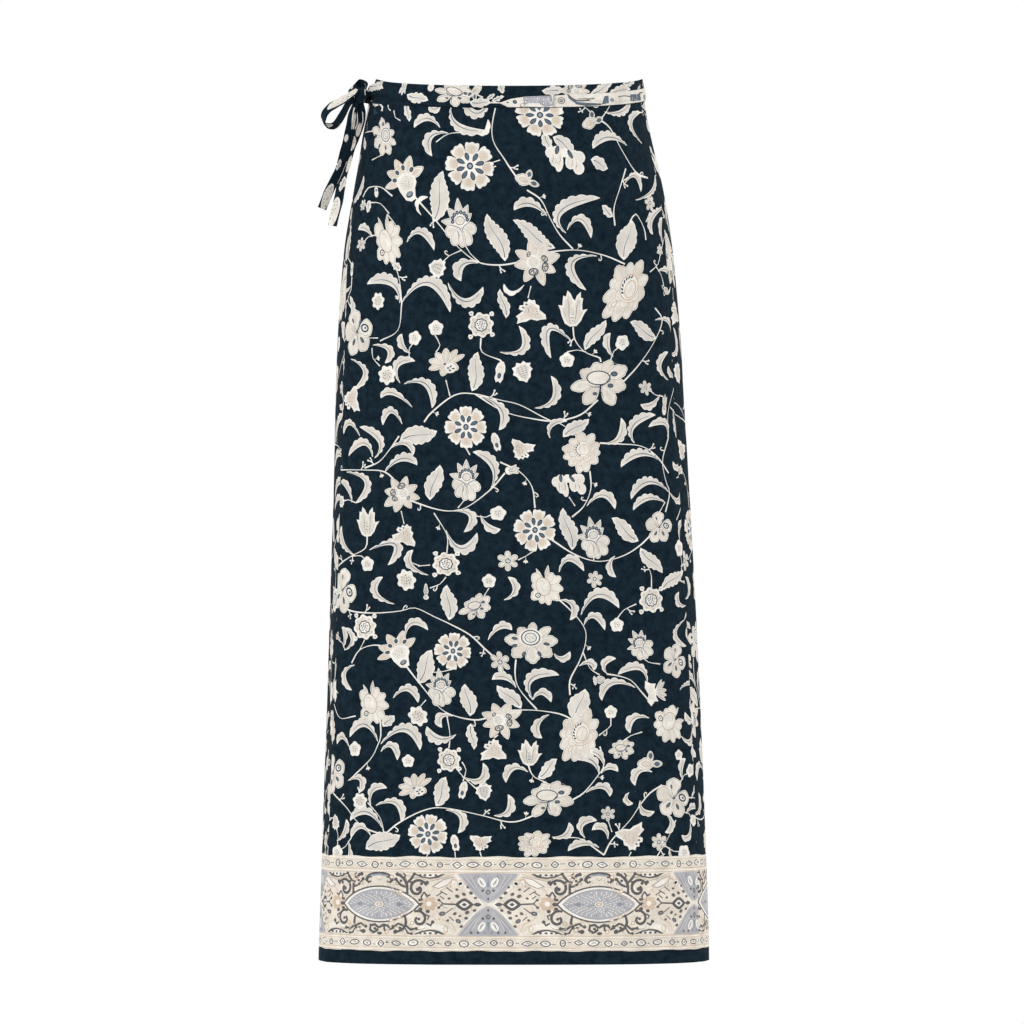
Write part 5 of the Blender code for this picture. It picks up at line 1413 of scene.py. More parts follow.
CURLED = [
    Curled((-63, 53.5), (-80, 58.5), (-79, 76.5), 10), Curled((-104, 162.5), (-91, 153.5), (-77, 170.5), 9),
    Curled((-109, 223.5), (-83, 204.5), (-61, 232.5), 13), Curled((-63, 203.5), (-46, 220.5), (-28, 207.5), 11),
    Curled((-33, 183.5), (-48, 186.5), (-50, 201.5), 12), Curled((-111, 223.5), (-120, 204.5), (-144, 204.5), 13),
    Curled((55, 153.5), (51, 132.5), (89, 118.5), 13), Curled((36, 136.5), (19, 125.5), (3, 130.5), 11),
    Curled((56, 150.5), (69, 140.5), (80, 158.5), 9), Curled((86, 176.5), (62, 184.5), (75, 210.5), 10),
    Curled((61, 262.5), (39, 250.5), (40, 278.5), 10), Curled((-11, 272.5), (11, 268.5), (8, 246.5), 9),
    Curled((24, 328.5), (42, 318.5), (40, 296.5), 9), Curled((-138, 265.5), (-123, 270.5), (-126, 283.5), 8),
    Curled((-160, 279.5), (-147, 292.5), (-157, 309.5), 8), Curled((-111, 303.5), (-113, 286.5), (-96, 281.5), 9),
    Curled((-107, 304.5), (-86, 305.5), (-79, 328.5), 10), Curled((-99, 327.5), (-118, 314.5), (-130, 318.5), 8),
    Curled((-109, 344.5), (-120, 332.5), (-128, 345.5), 8), Curled((-31, 316.5), (-11, 330.5), (-12, 350.5), 10),
    Curled((-138, 377.5), (-147, 364.5), (-162, 376.5), 9), Curled((-136, 378.5), (-132, 361.5), (-151, 347.5), 9),
    Curled((-120, 368.5), (-106, 364.5), (-98, 375.5), 7), Curled((-126, 392.5), (-110, 380.5), (-94, 385.5), 10),
    Curled((-164, 392.5), (-145, 402.5), (-155, 423.5), 9), Curled((-20, 408.5), (-19, 387.5), (-38, 372.5), 11),
    Curled((-65, 450.5), (-50, 467.5), (-34, 453.5), 11), Curled((-58, 431.5), (-41, 436.5), (-47, 452.5), 9),
    Curled((-141, 470.5), (-117, 465.5), (-123, 485.5), 10), Curled((-156, 475.5), (-167, 462.5), (-169, 446.5), 9),
    Curled((-117, 524.5), (-134, 512.5), (-128, 497.5), 9), Curled((-83, 495.5), (-100, 484.5), (-98, 470.5), 8),
    Curled((39, 358.5), (41, 346.5), (56, 341.5), 6), Curled((93, 363.5), (107, 357.5), (110, 338.5), 9),
    Curled((123, 363.5), (123, 346.5), (144, 335.5), 10), Curled((156, 357.5), (153, 344.5), (137, 347.5), 8),
    Curled((149, 381.5), (129, 375.5), (110, 387.5), 10), Curled((76, 426.5), (92, 416.5), (104, 429.5), 9),
    Curled((157, 412.5), (137, 403.5), (120, 419.5), 10), Curled((154, 423.5), (137, 419.5), (122, 430.5), 8),
    Curled((48, 492.5), (58, 480.5), (73, 491.5), 8), Curled((104, 476.5), (100, 486.5), (105, 497.5), 7),
    Curled((70, 535.5), (87, 516.5), (108, 528.5), 12), Curled((73, 545.5), (83, 537.5), (94, 550.5), 8),
    Curled((22, 620.5), (21, 600.5), (48, 595.5), 11), Curled((22, 620), (31, 614.1), (40, 622.5), 8),
    Curled((136, 602.5), (127.5, 589.1), (107, 595), 9), Curled((38, 635), (27.1, 646.2), (31, 658.5), 9),
    Curled((124, 608), (101.5, 604.4), (91, 621), 9), Curled((96, 594), (94.5, 584.8), (105, 579), 7),
    Curled((138, 638.5), (123.2, 639.7), (119, 653.5), 9), Curled((-130, 664.5), (-106.7, 651), (-91, 670.5), 12),
    Curled((-130, 672), (-119.9, 667), (-114, 680.5), 8), Curled((-163, 701), (-150.8, 700.1), (-152, 713.5), 8),
    Curled((-140, 725.5), (-137.6, 711.4), (-124, 708.5), 8), Curled((-135, 726), (-115.8, 724.3), (-110, 742.5), 9),
    Curled((-65, 730.5), (-50.6, 737.8), (-53, 753.5), 9), Curled((-17, 736), (-3.7, 730.8), (-3, 715), 9),
    Curled((17, 692.5), (2.5, 689.5), (-5, 703), 9), Curled((74, 758.5), (71.6, 745.7), (86, 741), 9),
    Curled((97, 759.5), (91.8, 749.4), (81, 750.5), 8), Curled((75, 713), (91.2, 708), (99, 717), 8),
    Curled((141, 692.5), (128, 692.8), (124, 706), 9), Curled((155, 735), (159.8, 744), (154, 753), 8),
    Curled((88, 694), (80.3, 682.1), (65, 680), 11), Curled((93, 686), (88, 676.9), (78, 672), 8),
    Curled((49, 520.5), (61, 526.5), (59, 540.5), 8), Curled((-7, 520.5), (3, 510.5), (-3, 497.5), 8),
    Curled((-23, 560.5), (-11, 548.5), (1, 550.5), 8), Curled((5, 608), (-5.6, 599.1), (-19, 600), 9),
    Curled((-107, 560.5), (-99, 544.5), (-83, 550.5), 8), Curled((-166, 570.5), (-159, 560.5), (-165, 548.5), 7),
    Curled((-156, 585.5), (-166, 595.5), (-159, 610.5), 8), Curled((165, 398.5), (173, 384.5), (167, 368.5), 8),
    Curled((157, 300.5), (149, 286.5), (157, 272.5), 8), Curled((144, 240.5), (157, 242.5), (161, 256.5), 7),
    Curled((165, 500.5), (179, 510.5), (175, 526.5), 8), Curled((173, 540.5), (165, 554.5), (175, 566.5), 7),
    Curled((169, 610.5), (181, 604.5), (189, 612.5), 7), Curled((-151, 356.5), (-161, 344.5), (-167, 354.5), 7),
    Curled((-90, 135.5), (-93, 124.5), (-83, 117.5), 5), Curled((13, 205.5), (1, 212.5), (-7, 204.5), 5),
    Curled((-21, 16.5), (-33, 32.5), (-49, 18.5), 10), Curled((125, 120.5), (141, 110.5), (144, 96.5), 6),
    Curled((-66, 18.5), (-75, 28.5), (-81, 24.5), 7),
    Curled((116, 66), (98, 59), (82, 69), 12), Curled((114, 104), (124, 97), (130, 112), 7),
    Curled((154, 127), (143, 137), (142, 155), 9), Curled((131, 64), (120.5, 44), (129, 33), 8),
    Curled((-71, 48), (-84, 40), (-97, 48), 9), Curled((-60, 28), (-52, 45), (-24, 51), 10),
    Curled((-32, 55), (-26, 52), (-23, 40), 5), Curled((-131, 24), (-128, 28), (-130, 31), 2),
    Curled((90, 694), (98.2, 688.8), (107, 692), 7), Curled((118, 713), (115.8, 719.5), (122, 724), 6),
    Curled((129, 721), (132.6, 730.4), (143.5, 732), 7), Curled((41, 757.5), (54, 754.3), (58, 743), 8),
    Curled((88, 768), (72.2, 765), (57, 771.5), 8), Curled((68, 586.5), (78.7, 584), (83, 591), 7),
    Curled((43, 574), (51, 577.9), (59, 572), 7), Curled((-118, 618.5), (-103.8, 610.4), (-93, 623), 9),
    Curled((-58, 636.5), (-69.5, 637.9), (-69, 648), 8), Curled((-55, 655), (-71.2, 658), (-84, 647), 11),
    Curled((-133, 662), (-146.3, 645.9), (-161, 657.5), 10), Curled((-129, 748), (-144.3, 733.6), (-161, 741), 10),
    Curled((-140, 756), (-150.7, 748), (-160, 758.5), 8), Curled((-49, 697), (-31.1, 699.2), (-28, 683.5), 9),
]
VINES = [
    [(62, 720), (73, 713), (87, 696), (93, 685), (89, 667)],
    [(-143, 723), (-131, 738), (-127, 754)], [(-56, 687), (-48, 697), (-35, 709)],
    [(26, 630), (14, 617), (6, 605), (4, 592), (5, 580)],
    [(-96, 117.5), (-74, 142.5), (-53, 167.5), (-33, 182.5), (-11, 185.5), (9, 182.5)],
    [(-11, 10.5), (-19, 55.5), (-6, 80.5), (6, 98.5)],
    [(16, 110.5), (30, 120.5), (39, 138.5), (49, 155.5), (62, 169.5)],
    [(29, 173.5), (64, 170.5), (92, 175.5), (114, 184.5)],
    [(109, 305.5), (129, 283.5), (144, 260.5), (151, 240.5), (144, 228.5)],
    [(62, 247.5), (64, 260.5), (74, 272.5), (89, 278.5), (90, 282.5)],
    [(-176, 390.5), (-146, 390.5), (-126, 392.5), (-113, 404.5)],
    [(-102, 420.5), (-79, 428.5), (-61, 431.5), (-44, 427.5), (-21, 410.5), (-6, 393.5)],
    [(-112, 356.5), (-121, 369.5), (-132, 382.5), (-146, 388.5)],
    [(-87, 342.5), (-79, 332.5), (-56, 315.5), (-36, 314.5), (-11, 320.5), (9, 325.5), (34, 338.5), (45, 341.5), (69, 335.5), (87, 320.5)],
    [(-36, 314.5), (-6, 332.5), (29, 340.5), (45, 341.5)],
    [(45, 341.5), (59, 350.5), (67, 358.5)],
    [(89, 363.5), (109, 364.5), (129, 366.5), (144, 375.5), (157, 393.5)],
    [(157, 357.5), (151, 380.5), (154, 400.5), (158, 413.5), (154, 432.5)],
    [(79, 391.5), (80, 409.5), (73, 426.5), (61, 437.5)],
    [(41, 460.5), (61, 473.5), (79, 480.5), (94, 481.5), (114, 475.5), (129, 465.5), (141, 453.5)],
    [(-11, 382.5), (9, 392.5), (21, 407.5), (24, 428.5)],
    [(-171, 524.5), (-159, 531.5), (-136, 533.5), (-111, 531.5), (-96, 528.5), (-76, 537.5), (-61, 544.5), (-41, 555.5), (-26, 569.5), (-17, 577.5)],
    [(-159, 583.5), (-151, 570.5), (-136, 565.5), (-123, 568.5)],
    [(-106, 585.5), (-86, 610.5), (-71, 628.5), (-56, 636.5), (-36, 640.5), (-24, 638.5)],
    [(-131, 635.5), (-130, 655.5), (-133, 665.5), (-141, 680.5), (-161, 700.5)],
    [(-109, 223.5), (-113, 250.5), (-131, 261.5)],
    [(-116, 182.5), (-111, 202.5), (-109, 223.5)],
    [(34, 510.5), (54, 525.5), (72, 545.5), (75, 560.5), (69, 580.5), (59, 600.5), (59, 615.5)],
    [(-14, 632), (8, 630.5), (27, 631), (49, 634.5), (63, 641)],
    [(93, 775.5), (101, 760.5), (119, 740.5), (129, 725.5), (139, 713.5), (151, 705.5)],
    [(93, 775.5), (79, 765.5), (67, 758.5), (42, 758.5)],
    [(-127, 755.5), (-111, 742.5), (-86, 730.5), (-66, 728.5), (-31, 735.5), (-1, 742.5), (19, 737.5), (34, 728.5)],
    [(-47, 163.5), (-41, 173.5), (-32, 182.5)],
    [(-49, 170.5), (-62, 176.5), (-70, 184.5)],
    [(-159, 197.5), (-160, 210.5), (-163, 220.5), (-157, 232.5)],
    [(20, 206.5), (17, 218.5)],
    [(56, 272.5), (66, 270.5), (75, 272.5)],
    [(-33, 98.5), (-23, 90.5), (-15, 86.5)],
    [(-11, 80.5), (-23, 84.5), (-29, 88.5)],
    [(-133, 258.5), (-146, 258.5)],
    [(-65, 300.5), (-61, 316.5)],
    [(-30, 258.5), (-29, 272.5), (-11, 280.5), (-9, 282.5)],
    [(-76, 255.5), (-71, 265.5), (-75, 272.5)],
    [(-45, 368.5), (-41, 375.5)],
    [(-110, 431.5), (-107, 444.5)],
    [(-143, 455.5), (-145, 468.5), (-159, 476.5), (-173, 486.5)],
    [(-159, 476.5), (-149, 476.5), (-144, 480.5)],
    [(-77, 433.5), (-64, 455.5), (-64, 473.5)],
    [(-45, 418.5), (-53, 428.5)],
    [(58, 417.5), (64, 426.5)],
    [(83, 475.5), (83, 480.5)],
    [(148, 432.5), (153, 423.5)],
    [(140, 508.5), (139, 492.5), (129, 476.5)],
    [(106, 539.5), (113, 530.5), (125, 524.5)],
    [(24, 470.5), (15, 476.5), (7, 480.5)],
    [(-22, 508.5), (-27, 516.5)],
    [(-65, 497.5), (-71, 504.5), (-81, 508.5)],
    [(-93, 486.5), (-81, 485.5)],
    [(89, 595.5), (79, 588.5), (72, 572.5)],
    [(96, 594.5), (108, 596.5), (120, 601), (130, 612), (137, 620)],
    [(100, 638), (100, 646), (88, 656)],
    [(-146, 560.5), (-151, 570.5)],
    [(-58, 589.5), (-71, 592.5), (-83, 592.5)],
    [(-93, 629.5), (-85, 620.5)],
    [(-62, 668.5), (-61, 655.5), (-64, 636.5)],
    [(-17, 658.5), (-13, 655.5)],
    [(-48, 701.5), (-45, 690.5), (-49, 682.5)],
    [(17, 684), (19, 691), (24, 698), (35, 703), (40, 708)],
    [(111, 662.5), (119, 656.5), (131, 652.5)],
    [(97, 740.5), (101, 752.5)],
    [(120, 772.5), (115, 782.5)],
    [(-83, 773.5), (-87, 786.5)],
    [(-151, 713.5), (-153, 707.5)],
    [(165, 740.5), (157, 758.5), (145, 778.5)],
    [(-56, 772.5), (-55, 786.5)],
    [(-31, 772.5), (-27, 786.5)],
    [(-178, 713.5), (-166, 726.5), (-149, 746.5), (-127, 755.5)],
    [(165, 300.5), (157, 330.5), (157, 357.5)],
    [(179, 390.5), (173, 420.5), (165, 440.5)],
    [(129, 575.5), (137, 582.5), (149, 584.5)],
    [(-177, 624.5), (-171, 638.5), (-155, 636.5)],
    [(-106, 480.5), (-91, 486.5)],
    [(135, 160.5), (133, 148.5), (125, 134.5), (119, 142.5)],
    [(149, 176.5), (147, 184.5), (139, 192.5)],
    [(139, 132.5), (135, 142.5)],
    [(86, 38.5), (99, 48.5), (111, 70.5), (125, 92.5), (137, 98.5)],
    [(137, 98.5), (121, 96.5), (111, 102.5)],
    [(-148, 117.5), (-143, 108.5), (-131, 107.5), (-119, 116.5)],
    [(-75, 62.5), (-63, 54.5), (-45, 52.5)],
    [(-127, 74.5), (-139, 80.5)],
    [(82, 35.5), (75, 28.5), (66, 24.5)],
    [(-124, 134.5), (-115, 146.5), (-117, 156.5)],
    [(-139, 268.5), (-138, 278.5), (-131, 286.5)],
    [(-175, 340.5), (-171, 360.5), (-176, 390.5)],
    [(115, 89), (109, 109), (103, 129), (104, 146)],
    [(-122, 134), (-131, 124), (-141, 123)],
    [(-113, 18), (-107, 26), (-103, 32)],
    [(-123, 25), (-122, 29), (-120, 31)],
    [(-117, 31), (-116, 38), (-111, 41)],
]

def wrapped(u):
    return (np.asarray(u) + PERIOD / 2) % PERIOD - PERIOD / 2


def samples(shapes):
    out = []
    for pts, _, base in shapes:
        if base:
            out.append(pts)
            mid = pts.mean(axis=0)
            out.append(mid + (pts[::2] - mid) * 0.5)
            out.append(mid[None])
    pts = np.vstack(out)
    return np.column_stack([wrapped(pts[:, 0]), pts[:, 1]])


def room(points, lattice):
    """How far each lattice point is from the nearest of the points, and where
    that one lies."""
    all_pts = [points]
    for k in (-1, 1):
        q = points + [k * PERIOD, 0]
        all_pts.append(q[np.abs(q[:, 0]) < PERIOD / 2 + 40])
    all_pts = np.vstack(all_pts)
    tree = KDTree(len(all_pts))
    for i, (x, y) in enumerate(all_pts):
        tree.insert((x, y, 0.0), i)
    tree.balance()
    gap, near = np.empty(len(lattice)), np.empty((len(lattice), 2))
    for i, (x, y) in enumerate(lattice):
        co, _, d = tree.find((x, y, 0.0))
        gap[i], near[i] = d, co[:2]
    return gap, near


def print_repeat():
    """The flowered ground, one repeat wide, from the waist to the border."""
    stems, leaves, heads = Cloth(), Cloth(), Cloth()
    lines = []
    for row in VINES:
        u, v = seen([p[0] for p in row], [p[1] for p in row])
        pts = np.column_stack([u, v])
        lines.append(pts)
        vine(stems, pts, 1.25 if len(row) < 4 else 1.6)
    for leaf in LEAVES:
        u, v = seen([leaf.base[0], leaf.tip[0]], [leaf.base[1], leaf.tip[1]])
        straight_leaf(leaves, (u[0], v[0]), (u[1], v[1]), leaf.width,
                      0.10 if (leaf.width * 7) % 2 else -0.09)
    for leaf in CURLED:
        u, v = seen([leaf.base[0], leaf.bend[0], leaf.tip[0]],
                    [leaf.base[1], leaf.bend[1], leaf.tip[1]])
        curled_leaf(leaves, (u[0], v[0]), (u[1], v[1]), (u[2], v[2]), leaf.width)
    for b in BLOOMS:
        u, v = seen([b.across], [b.down])
        MOTIFS[b.kind](Pen(heads, u[0], v[0], b.wide, b.high, b.turn))
    # little shoots along the vines, where there is room
    taken = samples(stems.shapes + leaves.shapes + heads.shapes)
    spots, turns = [], []
    for n, pts in enumerate(lines):
        line = curve(pts, 2.0)
        run = np.concatenate([[0], np.cumsum(np.hypot(*np.diff(line, axis=0).T))])
        s, side = 11.0 + (n * 5) % 9, 1 if n % 2 else -1
        while s < run[-1] - 8:
            q = np.array([np.interp(s, run, line[:, 0]), np.interp(s, run, line[:, 1])])
            e = np.array([np.interp(s + 2, run, line[:, 0]), np.interp(s + 2, run, line[:, 1])]) - q
            e /= max(math.hypot(*e), 1e-6)
            out = np.array([-e[1], e[0]]) * side
            lean = out * 0.85 + e * 0.5
            lean /= math.hypot(*lean)
            spots.append((q + lean * 4.4, q + lean * 9.0, lean))
            s += 15.0 + (n * 3 + len(spots) * 7) % 11
            side = -side
    if spots:
        tips = np.array([[wrapped(t[0]), t[1]] for _, t, _ in spots])
        gap, _ = room(taken, tips)
        for k, ((mid, tip, lean), g) in enumerate(zip(spots, gap)):
            if g > 4.2:
                sprig(stems, mid, math.degrees(math.atan2(lean[0], -lean[1])), 0.95, k % 4)
    # fill what is still bare
    lat = np.array([(x, y) for x in np.arange(-PERIOD / 2, PERIOD / 2, 4.0)
                    for y in np.arange(14.0, BORDER_TOP - 2, 4.0)])
    rng = np.random.default_rng(17)
    hidden = np.abs(lat[:, 0]) > 178.0
    for least, least_seen in ((16.5, 20.5), (12.5, 17.0), (10.5, 99.0)):
        taken = samples(stems.shapes + leaves.shapes + heads.shapes)
        gap, near = room(taken, lat)
        order = np.argsort(-gap)
        placed = []
        for i in order:
            d = gap[i]
            if d < (least if hidden[i] else least_seen):
                continue
            c = lat[i]
            if any(abs(wrapped(c[0] - q[0])) ** 2 + (c[1] - q[1]) ** 2 < (0.9 * (d + r)) ** 2
                   for q, r in placed):
                continue
            placed.append((c, d))
            to = near[i] - c
            to /= max(math.hypot(*to), 1e-6)
            side = np.array([-to[1], to[0]]) * (1 if rng.random() < 0.5 else -1)
            turn = math.degrees(math.atan2(-to[0], to[1]))
            if d >= 14.5:
                kind = ("tulipbud", "small", "fuzzy", "round", "rosebud", "hatched")[int(rng.integers(6))]
                size = min(d * 0.85, 18.0)
                vine(stems, np.array([c + to * d * 1.04, c + to * d * 0.55 + side * 2.4, c + to * size * 0.2]), 1.3)
                MOTIFS[kind](Pen(heads, c[0] - to[0] * 1.5, c[1] - to[1] * 1.5, size * 0.8, size * 0.9, turn))
                curled_leaf(leaves, c + to * d * 0.80, c + to * d * 0.45 + side * d * 0.55,
                            c - to * d * 0.10 + side * d * 0.80, min(d * 0.45, 8.0))
            else:
                size = 0.80 * d
                tilt = to * 0.82 + side * 0.35
                curled_leaf(leaves, c + to * d * 0.98, c + side * size * 0.55,
                            c - tilt * size * 0.80, min(d * 0.60, 8.0))
    return stems.shapes + leaves.shapes + heads.shapes


def shapes_over(shapes, u0, u1, v0, v1, shift=0.0):
    """The repeat's shapes that touch a stretch, shift mm moved along."""
    out = []
    for pts, no, base in shapes:
        lo, hi = pts.min(axis=0), pts.max(axis=0)
        if hi[1] < v0 or lo[1] > v1:
            continue
        for k in range(-3, 4):
            move = shift + k * PERIOD
            if hi[0] + move > u0 and lo[0] + move < u1:
                out.append((pts + [move, 0], no, base))
    return out


# --------------------------------------------------------- cloth into a mesh
def clipped(pts, a0, a1, b0, b1):
    """The part of an outline that lies inside a rectangle."""
    for axis, limit, sign in ((0, a0, 1), (0, a1, -1), (1, b0, 1), (1, b1, -1)):
        d = (pts[:, axis] - limit) * sign
        if (d >= 0).all():
            continue
        if (d <= 0).all():
            return None
        out = []
        for i in range(len(pts)):
            j = (i + 1) % len(pts)
            if d[i] >= 0:
                out.append(pts[i])
            if (d[i] >= 0) != (d[j] >= 0):
                q = pts[i] + (pts[j] - pts[i]) * (d[i] / (d[i] - d[j]))
                q[axis] = limit
                out.append(q)
        if len(out) < 3:
            return None
        pts = np.array(out)
    return pts


def split_long(pts, most):
    """The same outline with a point at least every so many mm."""
    e = np.roll(pts, -1, axis=0) - pts
    n = np.maximum(np.ceil(np.hypot(e[:, 0], e[:, 1]) / most).astype(int), 1)
    if (n == 1).all():
        return pts
    return np.vstack([p + d * (np.arange(k) / k)[:, None] for p, d, k in zip(pts, e, n)])


def area_of(pts):
    return np.sum(pts[:, 0] * np.roll(pts[:, 1], -1) - np.roll(pts[:, 0], -1) * pts[:, 1]) / 2


def grid_points(a0, a1, b0, b1, gap):
    na, nb = max(int(round((a1 - a0) / gap)), 1), max(int(round((b1 - b0) / gap)), 1)
    a, b = np.meshgrid(a0 + (np.arange(na) + 0.5) * (a1 - a0) / na,
                       b0 + (np.arange(nb) + 0.5) * (b1 - b0) / nb)
    a = a + np.where(np.arange(nb) % 2, 0.25, -0.25)[:, None] * (a1 - a0) / na
    return np.column_stack([a.ravel(), b.ravel()])


def pile(edge, shapes, ground):
    """The pile of shapes cut up flat: points, triangles and each triangle's
    ink, which is that of the topmost shape over it."""
    verts, faces, inks = [edge], [list(range(len(edge)))], [INK_NO[ground]]
    count = len(edge)
    for pts, no in shapes:
        if area_of(pts) < 0:
            pts = pts[::-1]
        verts.append(pts)
        faces.append(list(range(count, count + len(pts))))
        inks.append(no)
        count += len(pts)
    v, _, tris, _, _, from_faces = delaunay_2d_cdt(
        [Vector(p) for p in np.vstack(verts).tolist()], [], faces, 0, 1e-4, True)
    keep = [(t, inks[max(f)]) for t, f in zip(tris, from_faces) if f]
    return (np.array([(p[0], p[1]) for p in v]), np.array([t for t, _ in keep]),
            np.array([k for _, k in keep]))


def thinned(pts, slack, most):
    """A line with fewer points, nowhere more than slack from the first one."""
    keep = np.zeros(len(pts), bool)
    keep[0] = keep[-1] = True
    stack = [(0, len(pts) - 1)]
    while stack:
        i, j = stack.pop()
        if j <= i + 1:
            continue
        d = pts[j] - pts[i]
        size = math.hypot(*d)
        rel = pts[i + 1:j] - pts[i]
        if size < 1e-6:
            off = np.hypot(rel[:, 0], rel[:, 1])
        else:
            off = np.abs(rel[:, 0] * d[1] - rel[:, 1] * d[0]) / size
        k = int(np.argmax(off))
        if off[k] > slack or size > most:
            k = k if off[k] > slack else (j - i) // 2 - 1
            keep[i + 1 + k] = True
            stack += [(i, i + 1 + k), (i + 1 + k, j)]
    return np.flatnonzero(keep)


def pattern_lines(v, tris, inks, slack, most):
    """The lines between unlike inks, as chains of points with few points."""
    e = np.vstack([tris[:, [0, 1]], tris[:, [1, 2]], tris[:, [2, 0]]])
    who = np.tile(np.arange(len(tris)), 3)
    key = np.sort(e, axis=1)
    code = key[:, 0].astype(np.int64) * len(v) + key[:, 1]
    order = np.argsort(code, kind="stable")
    code, who, key = code[order], who[order], key[order]
    same = np.flatnonzero(code[1:] == code[:-1])
    shown = key[same[inks[who[same]] != inks[who[same + 1]]]]
    ends = {}
    for i, j in shown.tolist():
        ends.setdefault(i, []).append(j)
        ends.setdefault(j, []).append(i)
    used, chains = set(), []

    def walk(i, j):
        chain = [i, j]
        used.add((i, j) if i < j else (j, i))
        while len(ends[j]) == 2:
            k = ends[j][0] if ends[j][0] != i else ends[j][1]
            pair = (j, k) if j < k else (k, j)
            if pair in used:
                break
            used.add(pair)
            chain.append(k)
            i, j = j, k
        return chain

    for i in ends:
        if len(ends[i]) != 2:
            for j in ends[i]:
                if ((i, j) if i < j else (j, i)) not in used:
                    chains.append(walk(i, j))
    for i in ends:
        for j in ends[i]:
            if ((i, j) if i < j else (j, i)) not in used:
                chains.append(walk(i, j))
    out = []
    for c in chains:
        c = np.array(c)
        if c[0] == c[-1] and len(c) > 3:
            h = len(c) // 2
            k = np.concatenate([thinned(v[c[:h + 1]], slack, most),
                                h + thinned(v[c[h:]], slack, most)[1:]])
        else:
            k = thinned(v[c], slack, most)
        if len(c) > 3 and len(k) < 4 and c[0] == c[-1]:
            k = np.unique(np.linspace(0, len(c) - 1, 5).astype(int))
        out.append(c[k])
    return out


def components(count, pairs):
    """The lowest member of each item's group, items being joined by pairs."""
    root = np.arange(count)
    while True:
        low = np.minimum(root[pairs[:, 0]], root[pairs[:, 1]])
        new = root.copy()
        np.minimum.at(new, root[pairs[:, 0]], low)
        np.minimum.at(new, root[pairs[:, 1]], low)
        while True:
            jump = new[new]
            if (jump == new).all():
                break
            new = jump
        if (new == root).all():
            return root
        root = new


def inlaid(edge, inner, shapes, ground, slack=0.1, most=6.0):
    """Triangles that fill the outline edge, with the pattern's outlines as
    edges among them, and each triangle's ink."""
    v0, t0, k0 = pile(edge, shapes, ground)
    chains = pattern_lines(v0, t0, k0, slack, most)
    used = np.unique(np.concatenate(chains)) if chains else np.zeros(0, int)
    number = np.full(len(v0), -1)
    number[used] = np.arange(len(used)) + len(edge)
    pairs = [(int(i), int(i + 1) % len(edge)) for i in range(len(edge))]
    for c in chains:
        n = number[c].tolist()
        pairs += list(zip(n, n[1:]))
    # support points keep a little off the lines
    if len(used):
        tree = KDTree(len(used))
        for i, p in enumerate(v0[used].tolist()):
            tree.insert((p[0], p[1], 0.0), i)
        tree.balance()
        inner = np.array([p for p in inner.tolist() if tree.find((p[0], p[1], 0.0))[2] > 2.2])
    verts = np.vstack([edge, v0[used], inner.reshape(-1, 2)])
    v, e, tris, from_verts, from_edges, _ = delaunay_2d_cdt(
        [Vector(p) for p in verts.tolist()], pairs, [], 0, 1e-4, True)
    v = np.array([(p[0], p[1]) for p in v])
    tris = np.array([t for t in tris])
    # outside triangles don't arise: the outline is a rectangle
    fixed = set()
    for (i, j), src in zip(e, from_edges):
        if src:
            fixed.add((i, j) if i < j else (j, i))
    es = np.vstack([tris[:, [0, 1]], tris[:, [1, 2]], tris[:, [2, 0]]])
    who = np.tile(np.arange(len(tris)), 3)
    key = np.sort(es, axis=1)
    code = key[:, 0].astype(np.int64) * len(v) + key[:, 1]
    stop_codes = np.array([i * len(v) + j for i, j in fixed], np.int64)
    order = np.argsort(code, kind="stable")
    code, who = code[order], who[order]
    same = np.flatnonzero(code[1:] == code[:-1])
    same = same[~np.isin(code[same], stop_codes)]
    group = components(len(tris), np.column_stack([who[same], who[same + 1]]))
    # each group's ink is the first cut's ink over most of its area
    flat3 = [(p[0], p[1], 0.0) for p in v0.tolist()]
    tree = BVHTree.FromPolygons(flat3, t0.tolist(), all_triangles=True)
    mid = v[tris].mean(axis=1)
    down = Vector((0, 0, -1))
    at = np.array([tree.ray_cast(Vector((x, y, 1.0)), down)[2] or 0 for x, y in mid.tolist()])
    a, b, c = v[tris[:, 0]], v[tris[:, 1]], v[tris[:, 2]]
    size = np.abs((b[:, 0] - a[:, 0]) * (c[:, 1] - a[:, 1]) - (b[:, 1] - a[:, 1]) * (c[:, 0] - a[:, 0]))
    votes = np.zeros((len(tris), len(INK_LIST)))
    np.add.at(votes, (group, k0[at]), size + 1e-9)
    inks = np.argmax(votes, axis=1)[group]
    where = {}
    for i, src in enumerate(from_verts):
        for s in src:
            if s < len(edge):
                where[s] = i
    return v, tris, inks, where


def rim_of(tris):
    """The edge of a patch as one round of vertices, with each edge's triangle."""
    pairs = np.vstack([tris[:, [0, 1]], tris[:, [1, 2]], tris[:, [2, 0]]])
    owner = np.tile(np.arange(len(tris)), 3)
    seen_pairs = set(map(tuple, pairs.tolist()))
    nxt, own = {}, {}
    for (i, j), t in zip(pairs.tolist(), owner.tolist()):
        if (j, i) not in seen_pairs:
            nxt[i], own[i] = j, t
    start = next(iter(nxt))
    loop, i = [], start
    while True:
        loop.append(i)
        i = nxt[i]
        if i == start:
            break
    return loop, [own[i] for i in loop]


